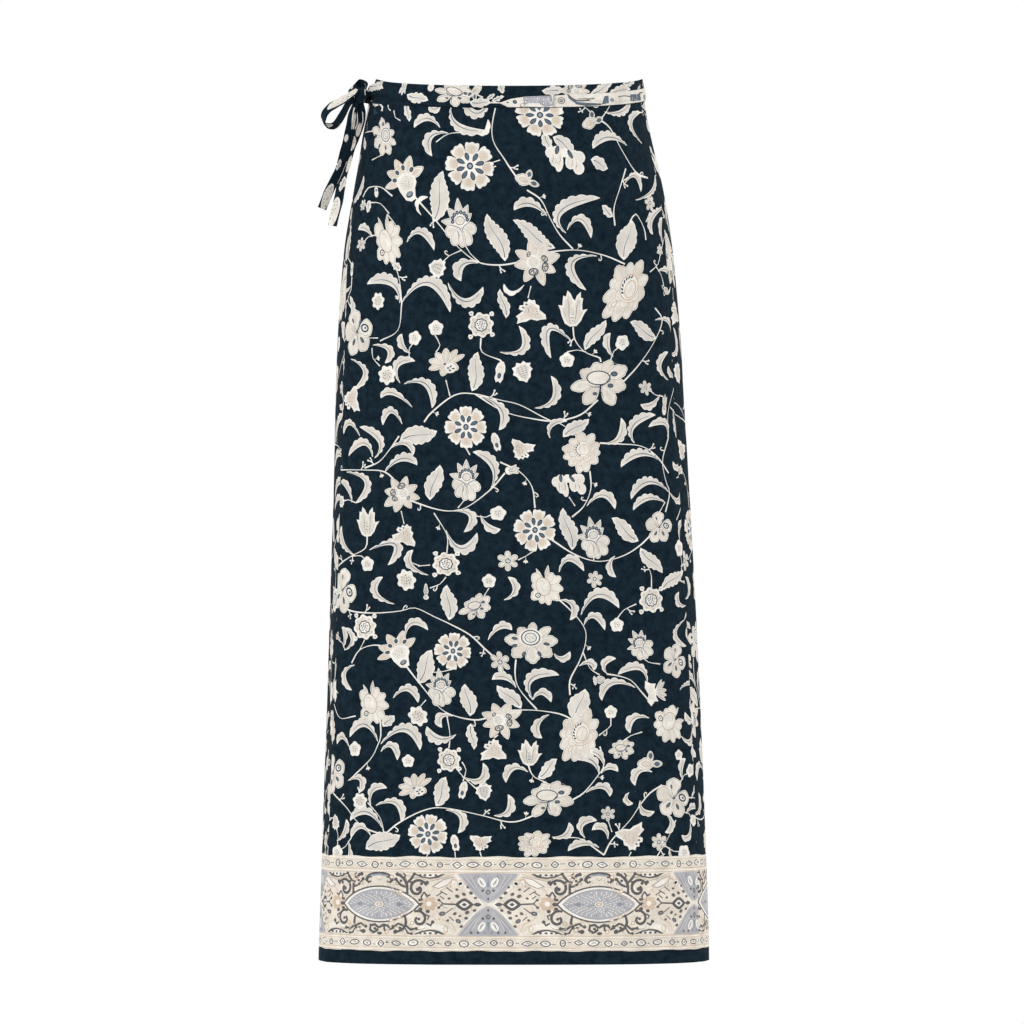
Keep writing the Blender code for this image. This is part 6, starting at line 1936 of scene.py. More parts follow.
def printed_sheet(name, wide, high, place, shapes, thick, way_out, ground="navy",
                  back=(), back_ground="navy_back", gap=7.0, back_gap=None, zones=(),
                  most=6.0, edge=4.0, bulge=0.3, slack=0.1):
    """Cloth with its printed pattern as one closed mesh: an outer face, a
    reverse and a rounded rim.  place(a, b) gives the outer face in mm."""
    n_a, n_b = max(int(round(wide / edge)), 1), max(int(round(high / edge)), 1)
    ta, tb = np.arange(n_a) / n_a * wide, np.arange(n_b) / n_b * high
    outline = np.vstack([
        np.column_stack([ta, np.zeros(n_a)]), np.column_stack([np.full(n_b, wide), tb]),
        np.column_stack([wide - ta, np.full(n_a, high)]), np.column_stack([np.zeros(n_b), high - tb])])
    inner = grid_points(0, wide, 0, high, gap)
    for a0, a1, b0, b1, fine in zones:
        a0, a1, b0, b1 = max(a0, 0), min(a1, wide), max(b0, 0), min(b1, high)
        out = (inner[:, 0] < a0) | (inner[:, 0] > a1) | (inner[:, 1] < b0) | (inner[:, 1] > b1)
        inner = np.vstack([inner[out], grid_points(a0, a1, b0, b1, fine)])
    ready = []
    for pts, no in shapes:
        c = clipped(pts, 0.0, wide, 0.0, high)
        if c is not None and abs(area_of(c)) > 0.12:
            ready.append((c, no))
    flat, tris, inks, _ = inlaid(outline, inner, ready, ground, slack, most)
    loop, owners = rim_of(tris)

    rim = flat[loop]
    ready = []
    for pts, no in back:
        c = clipped(pts, 0.4, wide - 0.4, 0.4, high - 0.4)
        if c is not None and abs(area_of(c)) > 0.8:
            ready.append((c, no))
    flat2, tris2, inks2, at = inlaid(rim, grid_points(0, wide, 0, high, back_gap or gap * 1.3),
                                     ready, back_ground, slack * 3, most * 1.6)
    back_loop = [at[k] for k in range(len(loop))]

    def both(p):
        a, b = p[:, 0], p[:, 1]
        h = 0.3
        da = place(a + h, b) - place(a - h, b)
        db = place(a, b + h) - place(a, b - h)
        n = np.cross(da, db) * way_out
        n /= np.maximum(np.linalg.norm(n, axis=1), 1e-12)[:, None]
        return place(a, b), n

    pos, nor = both(flat)
    pos2, nor2 = both(flat2)
    pos2 = pos2 - nor2 * thick(flat2[:, 0], flat2[:, 1])[:, None]
    # the rim's middle row stands out a little
    ra, rb = rim[:, 0], rim[:, 1]
    oa = np.where(ra < 1e-4, -1.0, np.where(ra > wide - 1e-4, 1.0, 0.0))
    ob = np.where(rb < 1e-4, -1.0, np.where(rb > high - 1e-4, 1.0, 0.0))
    size = np.maximum(np.hypot(oa, ob), 1e-9)
    out = place(ra + oa / size * 0.4, rb + ob / size * 0.4) - place(ra - oa / size * 0.1, rb - ob / size * 0.1)
    out -= np.sum(out * nor[loop], axis=1)[:, None] * nor[loop]
    out /= np.maximum(np.linalg.norm(out, axis=1), 1e-12)[:, None]
    mid = (pos[loop] + pos2[back_loop]) / 2 + out * bulge

    n0, n1, m = len(pos), len(pos2), len(loop)
    verts = np.vstack([pos, pos2, mid]) * MM
    normals = np.vstack([nor, -nor2, out])
    # which way the outer triangles must run to face out
    t = tris[len(tris) // 2]
    bad = np.mean([np.dot(np.cross(pos[q[1]] - pos[q[0]], pos[q[2]] - pos[q[0]]), nor[q[0]])
                   for q in tris[:: max(len(tris) // 40, 1)]]) < 0
    lo, hi = np.array(loop), np.array(back_loop) + n0
    mids = np.arange(m) + n0 + n1
    nlo, nhi, nmid = np.roll(lo, -1), np.roll(hi, -1), np.roll(mids, -1)
    outer = tris[:, ::-1] if bad else tris
    inner_t = (tris2 if bad else tris2[:, ::-1]) + n0
    q1 = np.column_stack([nlo, lo, mids, nmid])
    q2 = np.column_stack([nmid, mids, hi, nhi])
    if bad:
        q1, q2 = q1[:, ::-1], q2[:, ::-1]
    own = inks[np.array(owners)]
    # UVs: the outer face on the left, the reverse on the right, the rim last
    whole = np.vstack([flat, flat2, rim])
    long_way = wide > 3 * high
    if long_way:
        bake_o = np.column_stack([flat[:, 0] / wide * 0.98 + 0.01, flat[:, 1] / high * 0.50 + 0.01])
        bake_r = np.column_stack([flat2[:, 0] / wide * 0.98 + 0.01, flat2[:, 1] / high * 0.38 + 0.53])
    else:
        bake_o = np.column_stack([flat[:, 0] / wide * 0.565 + 0.005, flat[:, 1] / high * 0.99 + 0.005])
        bake_r = np.column_stack([flat2[:, 0] / wide * 0.36 + 0.58, flat2[:, 1] / high * 0.99 + 0.005])
    k = np.arange(m)
    run = (0.01 + 0.98 * k / m, 0.01 + 0.98 * (k + 1) / m)
    band = (0.93, 0.96, 0.99) if long_way else (0.950, 0.970, 0.990)

    def rim_uv(x, which):
        y = np.full(m, band[which])
        return np.column_stack([x, y]) if long_way else np.column_stack([y, x])

    uv1 = np.stack([rim_uv(run[1], 0), rim_uv(run[0], 0), rim_uv(run[0], 1), rim_uv(run[1], 1)], axis=1)
    uv2 = np.stack([rim_uv(run[1], 1), rim_uv(run[0], 1), rim_uv(run[0], 2), rim_uv(run[1], 2)], axis=1)
    if bad:
        uv1, uv2 = uv1[:, ::-1], uv2[:, ::-1]
    bake = np.vstack([np.vstack([bake_o, bake_r])[np.vstack([outer, inner_t])].reshape(-1, 2),
                      uv1.reshape(-1, 2), uv2.reshape(-1, 2)])
    loops = np.concatenate([outer.ravel(), inner_t.ravel(), q1.ravel(), q2.ravel()])
    colour_no = np.concatenate([np.repeat(inks, 3), np.repeat(inks2, 3),
                                np.repeat(own, 4), np.repeat(own, 4)])
    sizes = np.concatenate([np.full(len(outer) + len(inner_t), 3), np.full(2 * m, 4)])

    mesh = bpy.data.meshes.new(name)
    mesh.vertices.add(len(verts))
    mesh.vertices.foreach_set("co", verts.astype(np.float32).ravel())
    mesh.loops.add(len(loops))
    mesh.loops.foreach_set("vertex_index", loops.astype(np.int32))
    mesh.polygons.add(len(sizes))
    mesh.polygons.foreach_set("loop_start", np.concatenate([[0], np.cumsum(sizes)[:-1]]).astype(np.int32))
    mesh.update(calc_edges=True)
    mesh.shade_smooth()
    layer = mesh.uv_layers.new(name="OFBake")
    layer.uv.foreach_set("vector", bake.astype(np.float32).ravel())
    layer = mesh.uv_layers.new(name="cloth")
    layer.uv.foreach_set("vector", (whole[loops] * MM).astype(np.float32).ravel())
    table = np.array([(*INKS[n], 1.0) for n in INK_LIST])
    colour = mesh.color_attributes.new("print", "FLOAT_COLOR", "CORNER")
    colour.data.foreach_set("color", table[colour_no].astype(np.float32).ravel())
    mesh.validate()
    mesh.normals_split_custom_set(normals[loops].tolist())
    obj = bpy.data.objects.new(name, mesh)
    bpy.context.scene.collection.objects.link(obj)
    return obj


# --------------------------------------------------------- the skirt's pieces
class Panel:
    """A flat piece of cloth, wide x high mm, and where it lies on the skirt."""

    def __init__(self, left, right, wide, top, end, offset, trims=(SEAM / 2, SEAM / 2)):
        self.left, self.right, self.wide = left, right, wide
        self.top, self.end, self.high = top, end, end - top
        self.offset, self.trims = offset, trims

    def edges(self, drop):
        return self.left(drop) + self.trims[0], self.right(drop) - self.trims[1]

    def middle(self, way):
        return 0.0

    def to_flat(self, along, drop):
        way = FACE.way(along, drop)
        dip = FACE.dip(way)
        below = (drop - dip) / (1 - dip / LENGTH)
        a0, a1 = self.edges(drop)
        return (along - a0) / (a1 - a0) * self.wide, below - self.top - self.middle(way)

    def to_skirt(self, a, b):
        share = a / self.wide
        drop = self.top + b
        for _ in range(3):
            a0, a1 = self.edges(drop)
            along = a0 + (a1 - a0) * share
            way = FACE.way(along, drop)
            below = self.top + b + self.middle(way)
            drop = below + FACE.dip(way) * (1 - below / LENGTH)
        a0, a1 = self.edges(drop)
        return a0 + (a1 - a0) * share, drop

    def place(self, a, b):
        along, drop = self.to_skirt(a, b)
        x, y, nx, ny = FACE.point(FACE.way(along, drop), drop)
        out = self.offset(along, drop, a, b) + relief(along, drop)
        return np.column_stack([x + nx * out, y + ny * out, -drop])


class Belt_(Panel):
    """A stretch of the tie belt: b runs across it."""

    def middle(self, way):
        return np.interp(way, np.linspace(-2, 4, 601), BELT_LINE)


def belt_line():
    ways = np.linspace(-2, 4, 601)
    return smooth(column(BELT, "way"), column(BELT, "below"),
                  np.where(ways > 2, ways - 4, ways)) - TIE_WIDTH / 2


BELT_LINE = belt_line()


def edge_line(name, more=0.0):
    return lambda drop: FACE.edge(name, drop) + more


def sink(along, drop, outer, under):
    """The back goes under the overlap on the left."""
    start = FACE.edge("left_side_again", drop) - 34.0
    end = FACE.edge("left_seam_again", drop) - OVERLAP - 2.0
    return outer + (under - outer) * step(along, start, end)


def seam_dip(panel, a):
    """The cloth dips a little into a seam at either end."""
    return -0.55 * (np.exp(-(a / 1.6) ** 2) + np.exp(-((panel.wide - a) / 1.6) ** 2))


def mapped(panel, shapes, base_only=False, ink_of=None):
    """Shapes from (along, drop) to the panel's own flat measure."""
    picked = [s for s in shapes if s[2] or not base_only]
    if not picked:
        return []
    pts = np.vstack([s[0] for s in picked])
    a, b = panel.to_flat(pts[:, 0], pts[:, 1])
    flat = np.column_stack([a, b])
    out, i = [], 0
    for p, no, base in picked:
        out.append((flat[i:i + len(p)], no if ink_of is None else ink_of(no)))
        i += len(p)
    return out


def back_ink(no):
    return INK_NO["band_back"] if no == INK_NO["ground"] else INK_NO["pale_back"]


def centre_back(drop):
    return FACE.at_drop(FACE.knots[:, 4], drop)


def around_back(shapes):
    """Shapes measured from the centre back, to along."""
    return [(np.column_stack([p[:, 0] + centre_back(p[:, 1]), p[:, 1]]), no, base)
            for p, no, base in shapes]


# --------------------------------------------------------------- materials
def cloth_material(name, rough=0.90, weave=0.00046, bump=1.0, sheen=0.0):
    """Printed plain-weave cloth: the pattern's colours with slub and dye variation over them, painted shade between
    the threads and painted light on their tops, and a fine bump."""
    mat = bpy.data.materials.new(name)
    mat.use_nodes = True
    nodes, links = mat.node_tree.nodes, mat.node_tree.links
    shader = nodes["Principled BSDF"]

    def node(kind, **values):
        n = nodes.new(kind)
        for key, value in values.items():
            if key in n.inputs.keys():
                n.inputs[key].default_value = value
            else:
                setattr(n, key, value)
        return n

    def noise(scale, stretch=(1, 1, 1), detail=2.0, rough_=0.5):
        m = node("ShaderNodeMapping")
        m.inputs["Scale"].default_value = stretch
        links.new(uv.outputs["UV"], m.inputs["Vector"])
        n = node("ShaderNodeTexNoise", Scale=scale, Detail=detail, Roughness=rough_)
        links.new(m.outputs["Vector"], n.inputs["Vector"])
        return n.outputs["Fac"]

    def ramp(value, low, high, to_low=0.0, to_high=1.0):
        n = node("ShaderNodeMapRange")
        n.inputs["From Min"].default_value, n.inputs["From Max"].default_value = low, high
        n.inputs["To Min"].default_value, n.inputs["To Max"].default_value = to_low, to_high
        links.new(value, n.inputs["Value"])
        return n.outputs["Result"]

    def maths(op, a, b):
        n = node("ShaderNodeMath", operation=op)
        for socket, v in zip(n.inputs, (a, b)):
            if isinstance(v, (int, float)):
                socket.default_value = v
            else:
                links.new(v, socket)
        return n.outputs["Value"]

    def mix(blend, factor, a, b):
        n = node("ShaderNodeMix", data_type="RGBA", blend_type=blend)
        for socket, v in ((n.inputs["Factor"], factor), (n.inputs["A"], a), (n.inputs["B"], b)):
            if isinstance(v, (int, float)):
                socket.default_value = v
            elif isinstance(v, tuple):
                socket.default_value = v
            else:
                links.new(v, socket)
        return n.outputs["Result"]

    uv = node("ShaderNodeUVMap", uv_map="cloth")
    tint = node("ShaderNodeAttribute", attribute_name="print")
    # the warp and weft threads
    threads = []
    for way in ("X", "Y"):
        w = node("ShaderNodeTexWave", wave_type="BANDS", bands_direction=way,
                 Scale=1.0 / weave / 6.2832 * 0.5 * 2, Distortion=1.2, Detail=1.0)
        w.inputs["Detail Scale"].default_value = 0.6
        links.new(uv.outputs["UV"], w.inputs["Vector"])
        threads.append(w.outputs["Fac"])
    weave_height = maths("MULTIPLY", threads[0], threads[1])
    slub = maths("ADD", noise(1500, (0.05, 1, 1)), noise(1500, (1, 0.05, 1)))
    mottle = noise(70, detail=4.0, rough_=0.6)
    patch = noise(16, detail=2.0)
    speck = noise(900, detail=3.0, rough_=0.7)
    # the dye is uneven and the print's white is a little rubbed; the colour is also painted darker in the weave's
    # hollows and lighter on the thread tops, painted shade and highlight of the thread relief
    tone = ramp(mottle, 0.30, 0.70, 0.89, 1.10)
    tone = maths("MULTIPLY", tone, ramp(patch, 0.3, 0.7, 0.955, 1.04))
    tone = maths("MULTIPLY", tone, ramp(slub, 0.7, 1.3, 0.93, 1.07))
    # painted shade in the hollows of the weave and painted light on the thread tops, taken from the bump's own height
    tone = maths("MULTIPLY", tone, ramp(weave_height, 0.0, 1.0, 0.94, 1.04))
    grey = node("ShaderNodeCombineColor")
    for socket in grey.inputs[:3]:
        links.new(tone, socket)
    base = mix("MULTIPLY", 1.0, tint.outputs["Color"], grey.outputs["Color"])
    lint = ramp(speck, 0.60, 0.78, 0.0, 0.035)
    base = mix("MIX", lint, base, (0.42, 0.42, 0.40, 1.0))
    # the navy itself is cloudy
    cloud = ramp(noise(120, detail=4.0, rough_=0.65), 0.36, 0.64, 0.0, 0.022)
    base = mix("MIX", cloud, base, (0.30, 0.56, 0.80, 1.0))
    links.new(base, shader.inputs["Base Color"])
    links.new(ramp(slub, 0.6, 1.4, rough - 0.06, rough + 0.08), shader.inputs["Roughness"])
    shader.inputs["Specular IOR Level"].default_value = 0.05
    shader.inputs["Sheen Weight"].default_value = sheen
    shader.inputs["Sheen Roughness"].default_value = 0.5
    # thread relief, and the small crinkles of washed cotton over it
    fine = maths("ADD", maths("MULTIPLY", weave_height, 0.45), maths("MULTIPLY", slub, 0.35))
    b1 = node("ShaderNodeBump", Strength=0.5 * bump, Distance=0.00012)
    links.new(fine, b1.inputs["Height"])
    b2 = node("ShaderNodeBump", Strength=0.8 * bump, Distance=0.0011)
    links.new(noise(95, (1, 0.8, 1), 3.0, 0.55), b2.inputs["Height"])
    links.new(b1.outputs["Normal"], b2.inputs["Normal"])
    links.new(b2.outputs["Normal"], shader.inputs["Normal"])
    return mat


def thread_material(name, colour):
    mat = bpy.data.materials.new(name)
    mat.use_nodes = True
    nodes, links = mat.node_tree.nodes, mat.node_tree.links
    shader = nodes["Principled BSDF"]
    at = nodes.new("ShaderNodeTexCoord")
    n = nodes.new("ShaderNodeTexNoise")
    n.inputs["Scale"].default_value = 900.0
    links.new(at.outputs["Object"], n.inputs["Vector"])
    r = nodes.new("ShaderNodeMapRange")
    r.inputs["To Min"].default_value, r.inputs["To Max"].default_value = 0.75, 1.2
    links.new(n.outputs["Fac"], r.inputs["Value"])
    c = nodes.new("ShaderNodeCombineColor")
    for socket, v in zip(c.inputs[:3], colour):
        m = nodes.new("ShaderNodeMath")
        m.operation = "MULTIPLY"
        m.inputs[1].default_value = v
        links.new(r.outputs["Result"], m.inputs[0])
        links.new(m.outputs["Value"], socket)
    links.new(c.outputs["Color"], shader.inputs["Base Color"])
    shader.inputs["Roughness"].default_value = 0.6
    shader.inputs["Specular IOR Level"].default_value = 0.2
    b = nodes.new("ShaderNodeBump")
    b.inputs["Strength"].default_value = 0.4
    b.inputs["Distance"].default_value = 0.0002
    links.new(n.outputs["Fac"], b.inputs["Height"])
    links.new(b.outputs["Normal"], shader.inputs["Normal"])
    return mat


# ------------------------------------------------------------ camera and light
scene = bpy.context.scene
scene.view_settings.view_transform = "Standard"

cam = bpy.data.cameras.new("camera")
cam.sensor_width, cam.lens = 36.0, 316.4
cam.clip_start, cam.clip_end = 0.1, 60.0
cam_obj = bpy.data.objects.new("camera", cam)
cam_obj.location = (0.001, -9.0, -0.4325)
cam_obj.rotation_euler = (math.pi / 2, 0, 0)
scene.collection.objects.link(cam_obj)
scene.camera = cam_obj

world = bpy.data.worlds.new("studio")
world.use_nodes = True
world.node_tree.nodes["Background"].inputs["Color"].default_value = (1.0, 1.0, 1.0, 1.0)
world.node_tree.nodes["Background"].inputs["Strength"].default_value = 1.0
scene.world = world

Lamp = namedtuple("Lamp", "name x y z aim_x aim_y aim_z size watts")
LAMPS = [
    Lamp("key", -2.6, -3.0, 1.4, 0.0, 0.0, -0.45, 1.6, 24.0),
    Lamp("rim", 2.6, 1.6, 1.2, 0.0, 0.0, -0.4, 1.4, 12.0),
]
for row in LAMPS:
    light = bpy.data.lights.new(row.name, "AREA")
    light.shape, light.size, light.energy = "DISK", row.size, row.watts
    obj = bpy.data.objects.new(row.name, light)
    obj.location = (row.x, row.y, row.z)
    aim = Vector((row.aim_x, row.aim_y, row.aim_z)) - obj.location
    obj.rotation_euler = aim.to_track_quat("-Z", "Y").to_euler()
    scene.collection.objects.link(obj)


def floor(radius=1.16, z=-1.03):
    n = 96
    mesh = bpy.data.meshes.new("floor")
    ring_pts = [(radius * math.cos(2 * math.pi * k / n), radius * math.sin(2 * math.pi * k / n), z)
                for k in range(n)]
    low = [(x, y, z - 0.02) for x, y, _ in ring_pts]
    faces = [list(range(n)), list(range(2 * n - 1, n - 1, -1))]
    faces += [[(k + 1) % n, k, n + k, n + (k + 1) % n] for k in range(n)]
    mesh.from_pydata(ring_pts + low, [], faces)
    mesh.update()
    obj = bpy.data.objects.new("floor", mesh)
    mat = bpy.data.materials.new("floor")
    mat.use_nodes = True
    nodes, links = mat.node_tree.nodes, mat.node_tree.links
    shader = nodes["Principled BSDF"]
    shader.inputs["Roughness"].default_value = 0.9
    shader.inputs["Specular IOR Level"].default_value = 0.1
    n1 = nodes.new("ShaderNodeTexNoise")
    n1.inputs["Scale"].default_value = 3.0
    r = nodes.new("ShaderNodeValToRGB")
    r.color_ramp.elements[0].color = (0.90, 0.90, 0.89, 1)
    r.color_ramp.elements[1].color = (0.93, 0.93, 0.925, 1)
    links.new(n1.outputs["Fac"], r.inputs["Fac"])
    links.new(r.outputs["Color"], shader.inputs["Base Color"])
    mesh.materials.append(mat)
    scene.collection.objects.link(obj)
    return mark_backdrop(obj) or obj


floor()


# ---------------------------------------------------------------- the panels
REPEAT_SHAPES = print_repeat()


def panel_print(u0, u1, shift, border_phase):
    """Flowers and border over a stretch of cloth."""
    edge = Cloth()
    border(edge, border_phase, u0 - 12, u1 + 12)
    flowers = shapes_over(REPEAT_SHAPES, u0 - 12, u1 + 12, 10.0, BORDER_TOP + 14, shift)
    return flowers + edge.shapes


TOP = BAND_HEIGHT + SEAM
printed = cloth_material("printed_cloth_look")


def finish_piece(obj, node, mat, extra=()):
    obj.data.materials.append(mat)
    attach(obj, "root")
    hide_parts(node)
    for e in extra:
        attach(e, "root")


def hem_thick(panel, most):
    """One layer of cloth, and the turned-up hem along the bottom."""
    def thick(a, b):
        return CLOTH + (most - CLOTH) * (1 - step(panel.high - b, 9.5, 12.0))
    return thick


front = Panel(edge_line("lap"), edge_line("seam"), 400.0, TOP, LENGTH,
              lambda along, drop, a, b: seam_dip(front, a) * 0.8)
whole = panel_print(-215, 215, 0.0, -24.7)
front_obj = printed_sheet("front_cloth", front.wide, front.high, front.place, mapped(front, whole),
                          hem_thick(front, 1.6), -1, back=mapped(front, whole, True, back_ink),
                          zones=[(-1, 90, -1, 90, 2.6)])

back = Panel(edge_line("seam"), edge_line("left_seam_again"), 620.0, TOP, LENGTH,
             lambda along, drop, a, b: seam_dip(back, a) * 0.8 + sink(along, drop, 0.0, -UNDER))
whole = around_back(panel_print(-345, 355, 143.0, 58.0))
back_obj = printed_sheet("back_cloth", back.wide, back.high, back.place, mapped(back, whole),
                         hem_thick(back, 2.0), -1, back=mapped(back, whole, True, back_ink),
                         zones=[(520, 625, -1, 60, 4.0)], slack=0.33, gap=10.0)

under = Panel(edge_line("left_seam"), edge_line("under_edge"), 330.0, TOP, LENGTH,
              lambda along, drop, a, b: seam_dip(under, a) * 0.5 - UNDER)
whole = panel_print(-205, 175, 88.0, 31.0)
under_obj = printed_sheet("under_front_cloth", under.wide, under.high, under.place,
                          mapped(under, whole, True), hem_thick(under, 1.8), -1,
                          back=mapped(under, whole, True, back_ink), slack=0.3, gap=9.0,
                          zones=[(-1, 80, -1, 80, 4.0)])


# ------------------------------------------------------- waistband, tie belt
Bit = namedtuple("Bit", "kind across down wide high turn")
WAIST_BITS = [
    Bit("tulipbud", -107, 7, 19, 17, 180), Bit("camellia", -56, 14, 42, 27, 12),
    Bit("rosebud", -37, 12, 20, 15, 96), Bit("lily", 64, 11, 34, 24, 0),
    Bit("small", -130, 5.5, 11, 12, 30),
]
WAIST_LEAVES = [
    Leaf((-139, 3), (-126, 9), 9), Leaf((-103, 15), (-82, 21), 10), Leaf((-41, 22.5), (-20, 23.5), 9),
    Leaf((-24, 19), (-16, 15), 4), Leaf((-19, 21), (-7, 17), 4), Leaf((-10.5, 3), (-8.5, 14), 6),
    Leaf((79, 14.5), (102, 3), 10), Leaf((112, 4), (126, -1), 7), Leaf((52, 12), (31, 11), 9),
]
WAIST_CURLED = [Curled((94, 17), (106, 12.5), (119, 10), 8), Curled((122, 15), (131, 6), (134, 12), 6)]
WAIST_VINES = [[(101, 2), (95, 9), (93, 17)], [(-20, 23), (-8, 23.5), (4, 22.5)], [(-28, 18), (-40, 12.5), (-47, 14)]]


def shown(points):
    """Places across and down as seen from the front, as places on the cloth."""
    u, v = seen([q[0] for q in points], [q[1] for q in points])
    return np.column_stack([u, v])


def waist_print():
    """What runs across the waistband's front and on over the belt."""
    cloth = Cloth()
    for row in WAIST_VINES:
        vine(cloth, shown(row), 1.5)
    for row in WAIST_LEAVES:
        (u0, v0), (u1, v1) = shown([row.base, row.tip])
        straight_leaf(cloth, (u0, v0), (u1, v1), row.width, 0.08)
    for row in WAIST_CURLED:
        a, b, c = shown([row.base, row.bend, row.tip])
        curled_leaf(cloth, a, b, c, row.width)
    for row in WAIST_BITS:
        (u, v), = shown([(row.across, row.down)])
        MOTIFS[row.kind](Pen(cloth, u, v, row.wide, row.high, row.turn))
    (u, v), = shown([(-80, 8)])
    Pen(cloth, u, v, 7, 8).oval(0, 0, 1, 1, "white", 0, 9, True)
    Pen(cloth, u, v, 7, 8).oval(0, 0, 0.6, 0.6, "stone", 0, 7)
    return cloth


def crown_of(b, high, rise, edge=3.0):
    """A low crown across a band, rounded off at its two folded edges."""
    t = np.clip(b / high, 0.0, 1.0)
    return rise * (1 - (2 * t - 1) ** 2) - 0.35 * (1 - step(b, 0, edge)) - 0.35 * (1 - step(high - b, 0, edge))


def even(t):
    return lambda a, b: np.full(np.shape(a), t)


band_look = cloth_material("waistband_look")
band_front = Panel(edge_line("lap"), edge_line("seam"), 316.0, 0.0, BAND_HEIGHT,
                   lambda along, drop, a, b: BAND_PROUD + crown_of(b, 22.0, 0.25) + seam_dip(band_front, a) * 0.5)
band_front_obj = printed_sheet("waistband_front_cloth", band_front.wide, band_front.high,
                               band_front.place, mapped(band_front, waist_print().shapes), even(BAND_CLOTH), -1,
                               back_ground="navy_back", gap=3.2, most=3.2, edge=2.5, bulge=0.5)

band_back = Panel(edge_line("seam"), edge_line("left_seam_again"), 419.0, 0.0, BAND_HEIGHT,
                  lambda along, drop, a, b: crown_of(b, 22.0, 0.25) + seam_dip(band_back, a) * 0.5
                  + sink(along, drop, BAND_PROUD, -BAND_UNDER))
whole = around_back(shapes_over(REPEAT_SHAPES, -230, 235, 95.0, 130.0, 60.0))
whole = [(p - [0, 98.0], no, base) for p, no, base in whole]
band_back_obj = printed_sheet("waistband_back_cloth", band_back.wide, band_back.high, band_back.place,
                              mapped(band_back, whole), even(BAND_CLOTH), -1, gap=3.6, most=3.6,
                              edge=3.0, bulge=0.5)

band_under = Panel(edge_line("left_seam"), edge_line("under_edge"), 257.0, 0.0, BAND_HEIGHT,
                   lambda along, drop, a, b: -BAND_UNDER + crown_of(b, 22.0, 0.1))
whole = [(p - [0, 290.0], no, base) for p, no, base in
         shapes_over(REPEAT_SHAPES, -160, 130, 285.0, 322.0)]
band_under_obj = printed_sheet("waistband_under_cloth", band_under.wide, band_under.high,
                               band_under.place, mapped(band_under, whole, True), even(BAND_CLOTH), -1,
                               gap=4.5, most=5.0, bulge=0.4)


def strip_print(cloth, u0, u1, v, seed):
    """A stretch of the border's cloth as it falls on a narrow tie."""
    rng = np.random.default_rng(seed)
    cloth.add(np.array([(u0, v - 9), (u1, v - 9), (u1, v + 9), (u0, v + 9)]), "ground", True)
    u = u0 + 3
    k = 0
    while u < u1 - 2:
        kind = (k * 7 + seed) % 6
        p = Pen(cloth, u, v + rng.uniform(-1.5, 1.5), 10, 10, rng.uniform(-20, 20))
        if kind == 0:
            p.oval(0, 0, 0.72, 0.52, "slate", 20, 9)
            p.oval(0, 0, 0.50, 0.32, "haze", 20, 8)
        elif kind == 1:
            p.line([(-0.8, -0.6), (0, 0.5), (0.8, -0.3)], 1.1, "ink", gap=2)
            p.oval(0.1, -0.4, 0.24, 0.2, "ink", 0, 6)
        elif kind == 2:
            p.lay(lens(0.9, 0.6, 7), "ink")
            p.lay(lens(0.66, 0.38, 7), "pearl")
            p.oval(0, 0, 0.2, 0.18, "ink", 0, 6)
        elif kind == 3:
            p.oval(0, 0.2, 0.55, 0.5, "fleck", 0, 8)
            p.oval(0, 0.2, 0.3, 0.28, "pearl", 0, 7)
        elif kind == 4:
            p.lay(petal_outline(rng.uniform(0, 360), -0.8, 0.9, 0.8, 0.3, 0.5, 4), "blue")
            p.dots(0, 0, 0.5, 0.5, 5, 0.8, "pearl")
        else:
            p.line([(-0.7, 0.7), (-0.1, 0.0), (0.1, -0.8)], 0.9, "fleck", gap=2)
            p.oval(-0.5, -0.5, 0.22, 0.22, "ink", 0, 5)
        u += rng.uniform(5.0, 8.0)
        k += 1


# spots on the belt's pale stretch: across, down, half-sizes, turn, inks from
# the outside in
Spot = namedtuple("Spot", "across down rx ry turn inks")
BELT_SPOTS = [
    Spot(-3.4, 23.0, 1.3, 0.8, 10, "slate"), Spot(3.8, 22.5, 2.4, 1.9, 30, "dark slate"),
    Spot(11.5, 25.6, 3.0, 1.7, -20, "line pearl"), Spot(14.5, 22.6, 1.8, 1.2, 60, "line pearl"),
    Spot(49.8, 21.2, 4.0, 3.4, 10, "ink cream ink pearl"), Spot(49.8, 21.4, 1.0, 0.8, 0, "ink"),
    Spot(83.0, 17.8, 8.2, 3.6, -8, "white cream"), Spot(79.0, 19.4, 4.6, 0.8, -6, "ink"),
    Spot(100.0, 20.6, 2.5, 1.8, 10, "slate haze"), Spot(108.0, 19.4, 2.2, 1.4, 0, "fleck pearl"),
    Spot(131.5, 16.5, 3.0, 2.4, 0, "dark pearl dark"), Spot(136.6, 19.5, 1.8, 1.6, 0, "dark haze"),
]


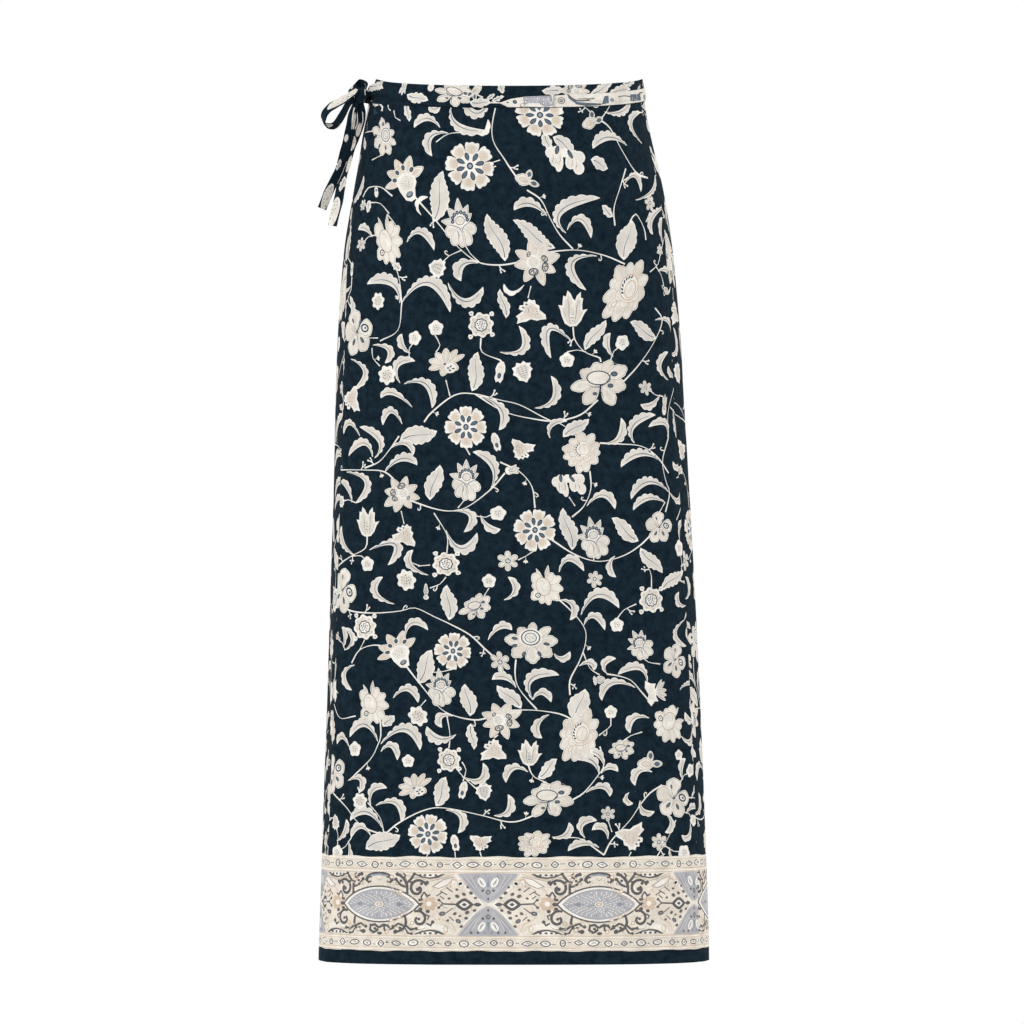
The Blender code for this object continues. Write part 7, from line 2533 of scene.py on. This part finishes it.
def tie_front_print():
    """Navy with the waist's own flowers up to the bend, then a stretch of
    border cloth: cream, grey-blue and slate, with spots and dark lines."""
    cloth = waist_print()
    rng = np.random.default_rng(3)
    upper = [(-11, 23.2), (0, 19.4), (13, 17.4), (28, 16.6), (42, 16.2), (58, 15.2), (66, 12.0),
             (100, 10.0), (140, 8.0)]
    lower = [(140, 30.0), (60, 34.0), (4, 31.0), (-11, 23.8)]
    cloth.add(shown(upper + lower), "cream", True)
    cloth.add(shown([(12, 18.0), (24, 17.0), (40, 16.5), (42, 26.0), (34, 27.2), (29, 24.4), (13, 24.6)]), "deep")
    cloth.add(shown([(13, 18.8), (24, 17.8), (39, 17.3), (41, 25.2), (34.4, 26.4), (29.6, 23.6), (14, 23.8)]), "blue")
    for k in range(44):
        (u, v), = shown([(rng.uniform(13, 41), rng.uniform(17.6, 25.2))])
        Pen(cloth, u, v, 2, 2, rng.uniform(0, 180)).oval(0, 0, 0.95, 0.45, ("pearl", "deep", "pearl", "haze")[k % 4], 0, 4)
    cloth.add(shown([(15.5, 24.0), (28.2, 23.6), (30, 27.0), (18, 27.2)]), "pearl")
    for a0, b0, a1, b1, w in ((42.4, 15.0, 42.8, 30.0, 0.8), (43.6, 15.0, 44.0, 30.0, 0.5), (14, 27.4, 40, 27.8, 0.6)):
        cloth.add(ribbon_outline(shown([(a0, b0), (a1, b1)]), [w / 2, w / 2], [w / 2, w / 2]), "line")
    # the navy leaf of the ground with its dark lines
    cloth.add(shown([(56, 15.0), (60, 19.6), (66, 22.6), (77, 23.4), (91, 24.2), (89, 25.6), (74, 26.6), (64, 24.0),
                     (57, 19.0)]), "slate")
    for row, w in (([(56, 14.6), (60, 18.6), (65.5, 21.2), (74, 21.0), (86, 20.6)], 1.5),
                   ([(66, 19.6), (74, 19.2), (84, 19.0)], 0.8), ([(64, 24.4), (76, 26.0), (90, 24.6)], 0.9),
                   ([(106, 17.4), (112, 16.4), (118, 17.2)], 1.0), ([(126, 14.0), (131, 12.6), (135, 15.6), (133, 19.6)], 1.4)):
        line = curve(shown(row), 2.5)
        cloth.add(ribbon_outline(line, np.full(len(line), w / 2), np.full(len(line), w / 2)), "ink")
    cloth.add(shown([(92.4, 16.6), (96.4, 16.2), (97.0, 23.6), (90, 25.0)]), "slate")
    cloth.add(shown([(98.5, 22.0), (117, 20.6), (116.6, 22.4), (99, 24.0)]), "sand")
    cloth.add(shown([(117.6, 15.0), (127.4, 14.4), (128.4, 20.8), (118, 21.8)]), "slate")
    for k in range(14):
        (u, v), = shown([(rng.uniform(118, 128), rng.uniform(15, 21))])
        Pen(cloth, u, v, 2, 2, rng.uniform(0, 180)).oval(0, 0, 0.8, 0.5, ("pearl", "haze")[k % 2], 0, 4)
    for row in BELT_SPOTS:
        (u, v), = shown([(row.across, row.down)])
        names = row.inks.split()
        for k, name in enumerate(names):
            s = 1 - k / (len(names) + 0.6)
            Pen(cloth, u, v, 2, 2, row.turn).oval(0, 0, row.rx * s, row.ry * s, name, 0, 10 - k)
    for k in range(26):
        (u, v), = shown([(rng.uniform(44, 134), rng.uniform(16, 26))])
        Pen(cloth, u, v, 2, 2, rng.uniform(0, 180)).oval(0, 0, 1.3, 0.4, ("fleck", "line", "fleck")[k % 3], 0, 4)
    return cloth


tie_look = cloth_material("tie_look")
TIE_FACE = BAND_PROUD + TIE_GAP + TIE_CLOTH


def tie_thick(a, b):
    e = np.minimum(b, TIE_WIDTH - b)
    return 0.75 + (TIE_CLOTH - 0.75) * step(e, 0.0, 2.2)


tie_front = Belt_(edge_line("lap", -8.0), edge_line("seam"), 324.0, 0.0, TIE_WIDTH,
                  lambda along, drop, a, b: TIE_FACE + crown_of(b, TIE_WIDTH, 0.3, 2.0)
                  + 2.6 * (1 - step(a, 0.0, 16.0))
                  + 0.35 * np.sin(b * 1.15 + a * 0.05 + 0.6) * (1 - step(a, 6.0, 46.0))
                  + 0.14 * np.sin(a * 0.21 + b * 0.3) * np.sin(b * 0.52),
                  (0.0, SEAM / 2))
tie_front_obj = printed_sheet("tie_front_cloth", tie_front.wide, TIE_WIDTH, tie_front.place,
                              mapped(tie_front, tie_front_print().shapes), tie_thick, -1,
                              gap=2.2, most=2.6, edge=2.0, bulge=0.35)

tie_back = Belt_(edge_line("seam"), edge_line("left_side_again", 15.0), 394.0, 0.0, TIE_WIDTH,
                 lambda along, drop, a, b: TIE_FACE + crown_of(b, TIE_WIDTH, 0.3, 2.0)
                 + 3.0 * step(a, 374.0, 394.0)
                 + 0.35 * np.sin(b * 1.15 + 0.4) * step(a, 350.0, 388.0)
                 + 0.14 * np.sin(a * 0.19 + b * 0.3) * np.sin(b * 0.52),
                 (SEAM / 2, 0.0))
cloth = Cloth()
strip_print(cloth, 120.0, 262.0, BACK_DIP + 13.0, 5)
for k, u in enumerate(np.arange(268.0, 600.0, 19.0)):
    straight_leaf(cloth, (u, 10.0 + 7 * (k % 2)), (u + 13, 23.0 - 8 * (k % 2)), 6.0 + k % 3, 0.14)
tie_back_obj = printed_sheet("tie_back_cloth", tie_back.wide, TIE_WIDTH, tie_back.place,
                             mapped(tie_back, cloth.shapes), tie_thick, -1,
                             gap=2.6, most=3.0, edge=2.4, bulge=0.35)


# ------------------------------------------------------------------- the bow
class Strand:
    """A ribbon of the bow: a runs along it, b across, 0 to its width."""

    def __init__(self, table, lean, from_, to=None, pinch=((0, 1.0), (1, 1.0)), creases=(), wave=0.0,
                 twist=((0, 0.0), (1, 0.0))):
        pts = np.array([[r.x, r.y, r.z] for r in table])
        run = np.concatenate([[0], np.cumsum(np.linalg.norm(np.diff(pts, axis=0), axis=1))])
        s = np.arange(from_, (run[-1] if to is None else run[-1] + to) + 0.01, 0.4)
        inside = np.clip(s, 0.0, run[-1])
        p = np.column_stack([smooth(run, pts[:, k], inside) for k in range(3)])
        t = np.gradient(p, axis=0)
        t /= np.maximum(np.linalg.norm(t, axis=1), 1e-9)[:, None]
        p = p + t * (s - inside)[:, None]
        lean = np.array(lean) / np.linalg.norm(lean)
        w = lean - (t @ lean)[:, None] * t
        w /= np.linalg.norm(w, axis=1)[:, None]
        n = np.cross(t, w)
        turn = np.radians(np.interp((s - s[0]) / (s[-1] - s[0]), [q[0] for q in twist], [q[1] for q in twist]))
        w, n = (w * np.cos(turn)[:, None] + n * np.sin(turn)[:, None],
                n * np.cos(turn)[:, None] - w * np.sin(turn)[:, None])
        self.s, self.p, self.t, self.w, self.n = s - s[0], p, t, w, n
        self.wide = self.s[-1]
        self.pinch, self.creases, self.wave = pinch, creases, wave

    def at(self, table, a):
        return np.column_stack([np.interp(a, self.s, table[:, k]) for k in range(3)])

    def place(self, a, b):
        size = np.interp(a / self.wide, [q[0] for q in self.pinch], [q[1] for q in self.pinch])
        x = b / TIE_WIDTH - 0.5
        tight = 1 - size
        # pinched cloth humps up and gathers into folds
        out = TIE_CLOTH / 2 + 2.6 * tight * (0.25 - x * x) * 4 - 0.3 * (np.abs(x) * 2) ** 4
        out = out + 1.4 * tight * np.sin(x * 15.0 + 0.7) + self.wave * np.sin(a * 0.16 + x * 2.0) * x * 2
        for at, across, width, height in self.creases:
            out = out + height * np.exp(-0.5 * (((a - at) + across * x * TIE_WIDTH) / width) ** 2)
        return (self.at(self.p, a) + self.at(self.w, a) * (x * TIE_WIDTH * size)[:, None]
                + self.at(self.n, a) * out[:, None])


Patch = namedtuple("Patch", "along across half_long half_wide turn inks marks")


def strand_print(patches, leaves=(), lines=()):
    """The print where it falls on a ribbon: a runs along it, b across."""
    cloth = Cloth()
    for row in patches:
        names = row.inks.split()
        for k, name in enumerate(names):
            s = 1 - 0.17 * k
            Pen(cloth, row.along, row.across, 2, 2, row.turn).oval(
                0, 0, row.half_long * s, row.half_wide * s, name, 0, 18, k == 0)
        rng = np.random.default_rng(int(row.along * 3 + row.half_long * 5))
        for k in range(row.marks):
            r, g = math.sqrt(rng.uniform(0, 0.7)), rng.uniform(0, 2 * math.pi)
            x, y = row.half_long * r * math.cos(g), row.half_wide * r * math.sin(g)
            Pen(cloth, row.along, row.across, 2, 2, row.turn).oval(
                x, y, 0.95, 0.5, ("line", "slate", "fleck")[k % 3], rng.uniform(0, 180), 5)
    for a, b, wide, high, turn in leaves:
        t = math.radians(turn)
        d = np.array([math.sin(t), -math.cos(t)]) * wide / 2
        straight_leaf(cloth, (a - d[0], b - d[1]), (a + d[0], b + d[1]), high, 0.12)
    for pts, w, name in lines:
        line = curve(pts, 2.0)
        half = w / 2 * np.linspace(1.0, 0.55, len(line))
        cloth.add(ribbon_outline(line, half, half), name, True)
    return [(p, no) for p, no, _ in cloth.shapes]


def strand_thick(a, b):
    e = np.minimum(b, TIE_WIDTH - b)
    return 0.7 + (TIE_CLOTH - 0.7) * step(e, 0.0, 2.2)


bow_look = cloth_material("bow_look")


def bow_piece(name, strand, front_shapes, back_shapes):
    return printed_sheet(name, strand.wide, TIE_WIDTH, strand.place, front_shapes, strand_thick, 1,
                         back=back_shapes, back_ground="navy", gap=1.8, back_gap=1.8, most=2.0,
                         edge=1.6, bulge=0.32, slack=0.07)


loop_left = Strand(LOOP_LEFT, LOOP_LEFT_LEAN, 0.0, 0.0,
                   ((0, 0.55), (0.06, 0.88), (0.14, 1.0), (0.78, 1.0), (0.92, 0.74), (1, 0.42)),
                   ((14, 0.5, 2.2, 0.6), (33, -0.4, 2.6, 0.5), (47, 0.6, 2.0, -0.7), (52, -0.5, 1.8, 0.6),
                    (74, 0.3, 3.0, -0.4)), 0.25)
loop_small = Strand(LOOP_SMALL, LOOP_SMALL_LEAN, 0.0, 0.0,
                    ((0, 0.5), (0.2, 0.9), (0.5, 1.0), (0.8, 0.9), (1, 0.5)),
                    ((12, 0.4, 1.8, 0.5), (22, -0.5, 1.6, -0.4)), 0.2)
end_long = Strand(END_LONG, END_LONG_LEAN, 0.0, 0.0,
                  ((0, 0.55), (0.07, 0.88), (0.14, 1.0), (1, 1.0)),
                  ((30, 0.5, 4.0, 0.6), (52, -0.6, 5.0, -0.6), (78, 0.4, 5.0, 0.5), (104, 0.5, 4.0, -0.5)), 0.35,
                  ((0, -27), (0.30, -24), (0.55, 0), (1, 0)))
end_short = Strand(END_SHORT, END_SHORT_LEAN, 0.0, 0.0,
                   ((0, 0.45), (0.12, 0.78), (0.28, 0.98), (1, 1.0)),
                   ((26, -0.5, 4.0, 0.6), (48, 0.6, 5.0, -0.5), (72, -0.3, 4.0, 0.5), (92, 0.5, 4.0, -0.5)), 0.35)
print("strand lengths", loop_left.wide, loop_small.wide, end_long.wide, end_short.wide)

loop_left_obj = bow_piece(
    "bow_loop_left_cloth", loop_left,
    strand_print((Patch(16, 5.2, 20.5, 5.6, 2, "white cream", 16), Patch(66, 8, 5, 5.5, 20, "sand", 2),
                  Patch(70, 3, 4, 3.6, 0, "sand", 0)), (), (([(6, 9.6), (13, 8.2), (20, 9.0)], 0.7, "line"),)),
    strand_print((Patch(20, 6, 22, 5.0, 0, "white cream", 10),), ((56, 6, 16, 6, 80),)))
loop_small_obj = bow_piece(
    "bow_loop_small_cloth", loop_small, strand_print((), (), (([(30, 9.6), (35, 8.6), (41, 9.4)], 0.8, "line"),)),
    strand_print((), ((16, 6, 9, 4, 80),)))
L = end_long.wide
end_long_print = strand_print(
    (Patch(L - 13.5, 4.6, 15.5, 6.0, -3, "white cream", 20), Patch(42, 6.6, 8.0, 4.4, 10, "sand cream", 12),
     Patch(27, 8.6, 7.0, 2.4, 6, "sand", 3), Patch(63, 10.6, 9.0, 2.0, 0, "cream", 2)),
    ((84, 8, 16, 6, 80),),
    (([(10, 2), (22, 5), (36, 3.2)], 1.2, "white"), ([(9, 8.5), (20, 10.2), (33, 9.6)], 1.0, "white")))
end_long_obj = bow_piece("tie_end_long_cloth", end_long, end_long_print, end_long_print)
L = end_short.wide
end_short_print = strand_print(
    (Patch(L - 12.5, 6.0, 14.5, 5.6, 3, "white cream", 22), Patch(19, 8.8, 9.0, 2.8, 4, "sand cream", 6),
     Patch(38, 3.0, 4.0, 2.4, 0, "white", 0)),
    ((66, 2.0, 12, 4, 92),),
    (([(6, 5.0), (16, 5.8), (28, 7.0)], 1.4, "white"), ([(60, 11.2), (74, 11.0), (84, 11.4)], 0.9, "white")))
end_short_obj = bow_piece("tie_end_short_cloth", end_short, end_short_print, end_short_print)


class KnotWrap:
    """The stretch of tie wound once over the knot: a runs round it, b across."""

    def __init__(self, turns=1.12, roll=0.0):
        self.turns, self.wide, self.roll = turns, 52.0, roll

    def place(self, a, b):
        turn = (a / self.wide) * self.turns * 2 * math.pi - 0.6 * math.pi
        x = (b / TIE_WIDTH - 0.5) * 2
        lift = 1.0 + 0.16 * step(a, self.wide * 0.86, self.wide) - 0.10 * (1 - step(a, 0, self.wide * 0.14))
        across = x * 1.22
        folds = (0.42 * np.sin(x * 5.2 + 0.5 * np.sin(turn) + 0.8) + 0.26 * np.sin(x * 9.6 + turn * 0.6)
                 + 0.18 * np.sin(turn * 3 + x * 2))
        ry, rz = KNOT_HALF[1] + folds, KNOT_HALF[2] + folds
        c = np.cos(across) ** 0.75
        # the wrap runs a little aslant
        xx = KNOT_HALF[0] * 0.98 * np.sin(across) + 1.1 * np.sin(turn)
        y = -np.cos(turn) * ry * c * lift
        z = np.sin(turn) * rz * c * lift
        return np.column_stack([KNOT_AT[0] + xx, KNOT_AT[1] + y, KNOT_AT[2] + z])


class KnotCore:
    """The cloth that passes through the knot, as a creased roll from right to
    left: a runs round it, b along it."""

    wide, high = 34.0, 14.0

    def place(self, a, b):
        turn = a / self.wide * 2 * math.pi
        t = b / self.high * 2 - 1
        folds = 0.5 * np.sin(turn * 4 + t) + 0.35 * np.sin(turn * 7 - 2 * t)
        flare = 0.80 + 0.12 * t * t
        r = np.where(np.abs(t) > 0.92, 0.45, 1.0)
        y = np.cos(turn) * (KNOT_HALF[1] * flare * r - 1.0 + folds * r)
        z = np.sin(turn) * (KNOT_HALF[2] * flare * r - 1.4 + folds * r)
        return np.column_stack([KNOT_AT[0] + t * 6.4, KNOT_AT[1] + y, KNOT_AT[2] + z])


wrap = KnotWrap()
cloth = Cloth()
line = curve([(3, 9.2), (9, 10.6), (15, 10.2), (21, 9.0), (27, 9.8)], 1.5)
cloth.add(ribbon_outline(line, np.full(len(line), 0.5), np.full(len(line), 0.5)), "white", True)
straight_leaf(cloth, (33, 3), (43, 8), 4.0, 0.1)
knot_obj = printed_sheet("tie_knot_cloth", wrap.wide, TIE_WIDTH, wrap.place,
                         [(p, no) for p, no, _ in cloth.shapes], even(1.0), -1,
                         back_ground="navy", gap=1.3, back_gap=1.6, most=1.6, edge=1.2, bulge=0.3, slack=0.05)
core = KnotCore()
core_obj = printed_sheet("tie_knot_inside", core.wide, core.high, core.place, [], even(0.8), 1,
                         back_ground="navy", gap=1.4, back_gap=2.0, most=1.6, edge=1.2, bulge=0.2)


# ------------------------------------------------------------------ stitches
def stitches(name, points, normals, mat, pitch=2.6, size=1.7, thick=0.17, lift=0.12):
    """A row of small thread stitches along a line, as one mesh."""
    pts, nor = np.asarray(points), np.asarray(normals)
    run = np.concatenate([[0], np.cumsum(np.linalg.norm(np.diff(pts, axis=0), axis=1))])
    verts, faces = [], []
    rng = np.random.default_rng(len(pts))
    for s in np.arange(pitch / 2, run[-1] - pitch / 2, pitch):
        s = s + rng.uniform(-0.12, 0.12)
        c = np.array([np.interp(s, run, pts[:, k]) for k in range(3)])
        f = np.array([np.interp(s + 0.5, run, pts[:, k]) for k in range(3)])
        t = (f - c) / max(np.linalg.norm(f - c), 1e-9)
        n = np.array([np.interp(s, run, nor[:, k]) for k in range(3)])
        n /= np.linalg.norm(n)
        w = np.cross(n, t)
        first = len(verts)
        for q, h in ((-0.5, -0.10), (-0.30, 0.75), (0.30, 0.75), (0.5, -0.10)):
            at = c + t * q * size + n * (lift * h)
            for k in range(4):
                ang = math.pi / 2 * k + math.pi / 4
                r = thick * (0.6 if abs(q) == 0.5 else 1.0)
                verts.append(at + w * math.cos(ang) * r + n * math.sin(ang) * r)
        for j in range(3):
            for k in range(4):
                a, b = first + j * 4 + k, first + j * 4 + (k + 1) % 4
                faces.append((a, a + 4, b + 4, b))
        faces.append(tuple(first + k for k in range(4)))
        faces.append(tuple(first + 12 + k for k in (3, 2, 1, 0)))
    mesh = bpy.data.meshes.new(name)
    mesh.from_pydata([tuple(v * MM) for v in verts], [], faces)
    mesh.update()
    mesh.shade_smooth()
    obj = bpy.data.objects.new(name, mesh)
    obj.data.materials.append(mat)
    scene.collection.objects.link(obj)
    return obj


def on_face(piece, a, b, way_out):
    a, b = np.broadcast_arrays(np.asarray(a, float), np.asarray(b, float))
    p = piece.place(a, b)
    da = piece.place(a + 0.3, b) - piece.place(a - 0.3, b)
    db = piece.place(a, b + 0.3) - piece.place(a, b - 0.3)
    n = np.cross(da, db) * way_out
    return p, n / np.linalg.norm(n, axis=1)[:, None]


navy_thread = thread_material("navy_thread", (0.012, 0.026, 0.040))


def seam_row(name, piece, a, b):
    p, n = on_face(piece, a, b, -1)
    return stitches(name, p, n, navy_thread)


front_rows = [seam_row("front_hem_stitches", front, np.arange(1, 399, 2.0), front.high - 10.0)]
back_rows = [seam_row("back_hem_stitches", back, np.arange(1, 619, 2.0), back.high - 10.0)]
band_rows = [seam_row("waistband_front_stitches", band_front, np.arange(1, 315, 2.0), 20.6)]
band_back_rows = [seam_row("waistband_back_stitches", band_back, np.arange(1, 418, 2.0), 20.6)]

finish_piece(front_obj, "front_overlap", printed, front_rows)
finish_piece(back_obj, "back_panel", printed, back_rows)
finish_piece(under_obj, "under_front", printed)
finish_piece(band_front_obj, "waistband_front", band_look, band_rows)
finish_piece(band_back_obj, "waistband_back", band_look, band_back_rows)
finish_piece(band_under_obj, "waistband_under", band_look)
finish_piece(tie_front_obj, "tie_front", tie_look)
finish_piece(tie_back_obj, "tie_back", tie_look)
finish_piece(loop_left_obj, "bow_loop_left", bow_look)
finish_piece(loop_small_obj, "bow_loop_small", bow_look)
finish_piece(end_long_obj, "tie_end_long", bow_look)
finish_piece(end_short_obj, "tie_end_short", bow_look)
core_obj.data.materials.append(bow_look)
finish_piece(knot_obj, "tie_knot", bow_look, [core_obj])
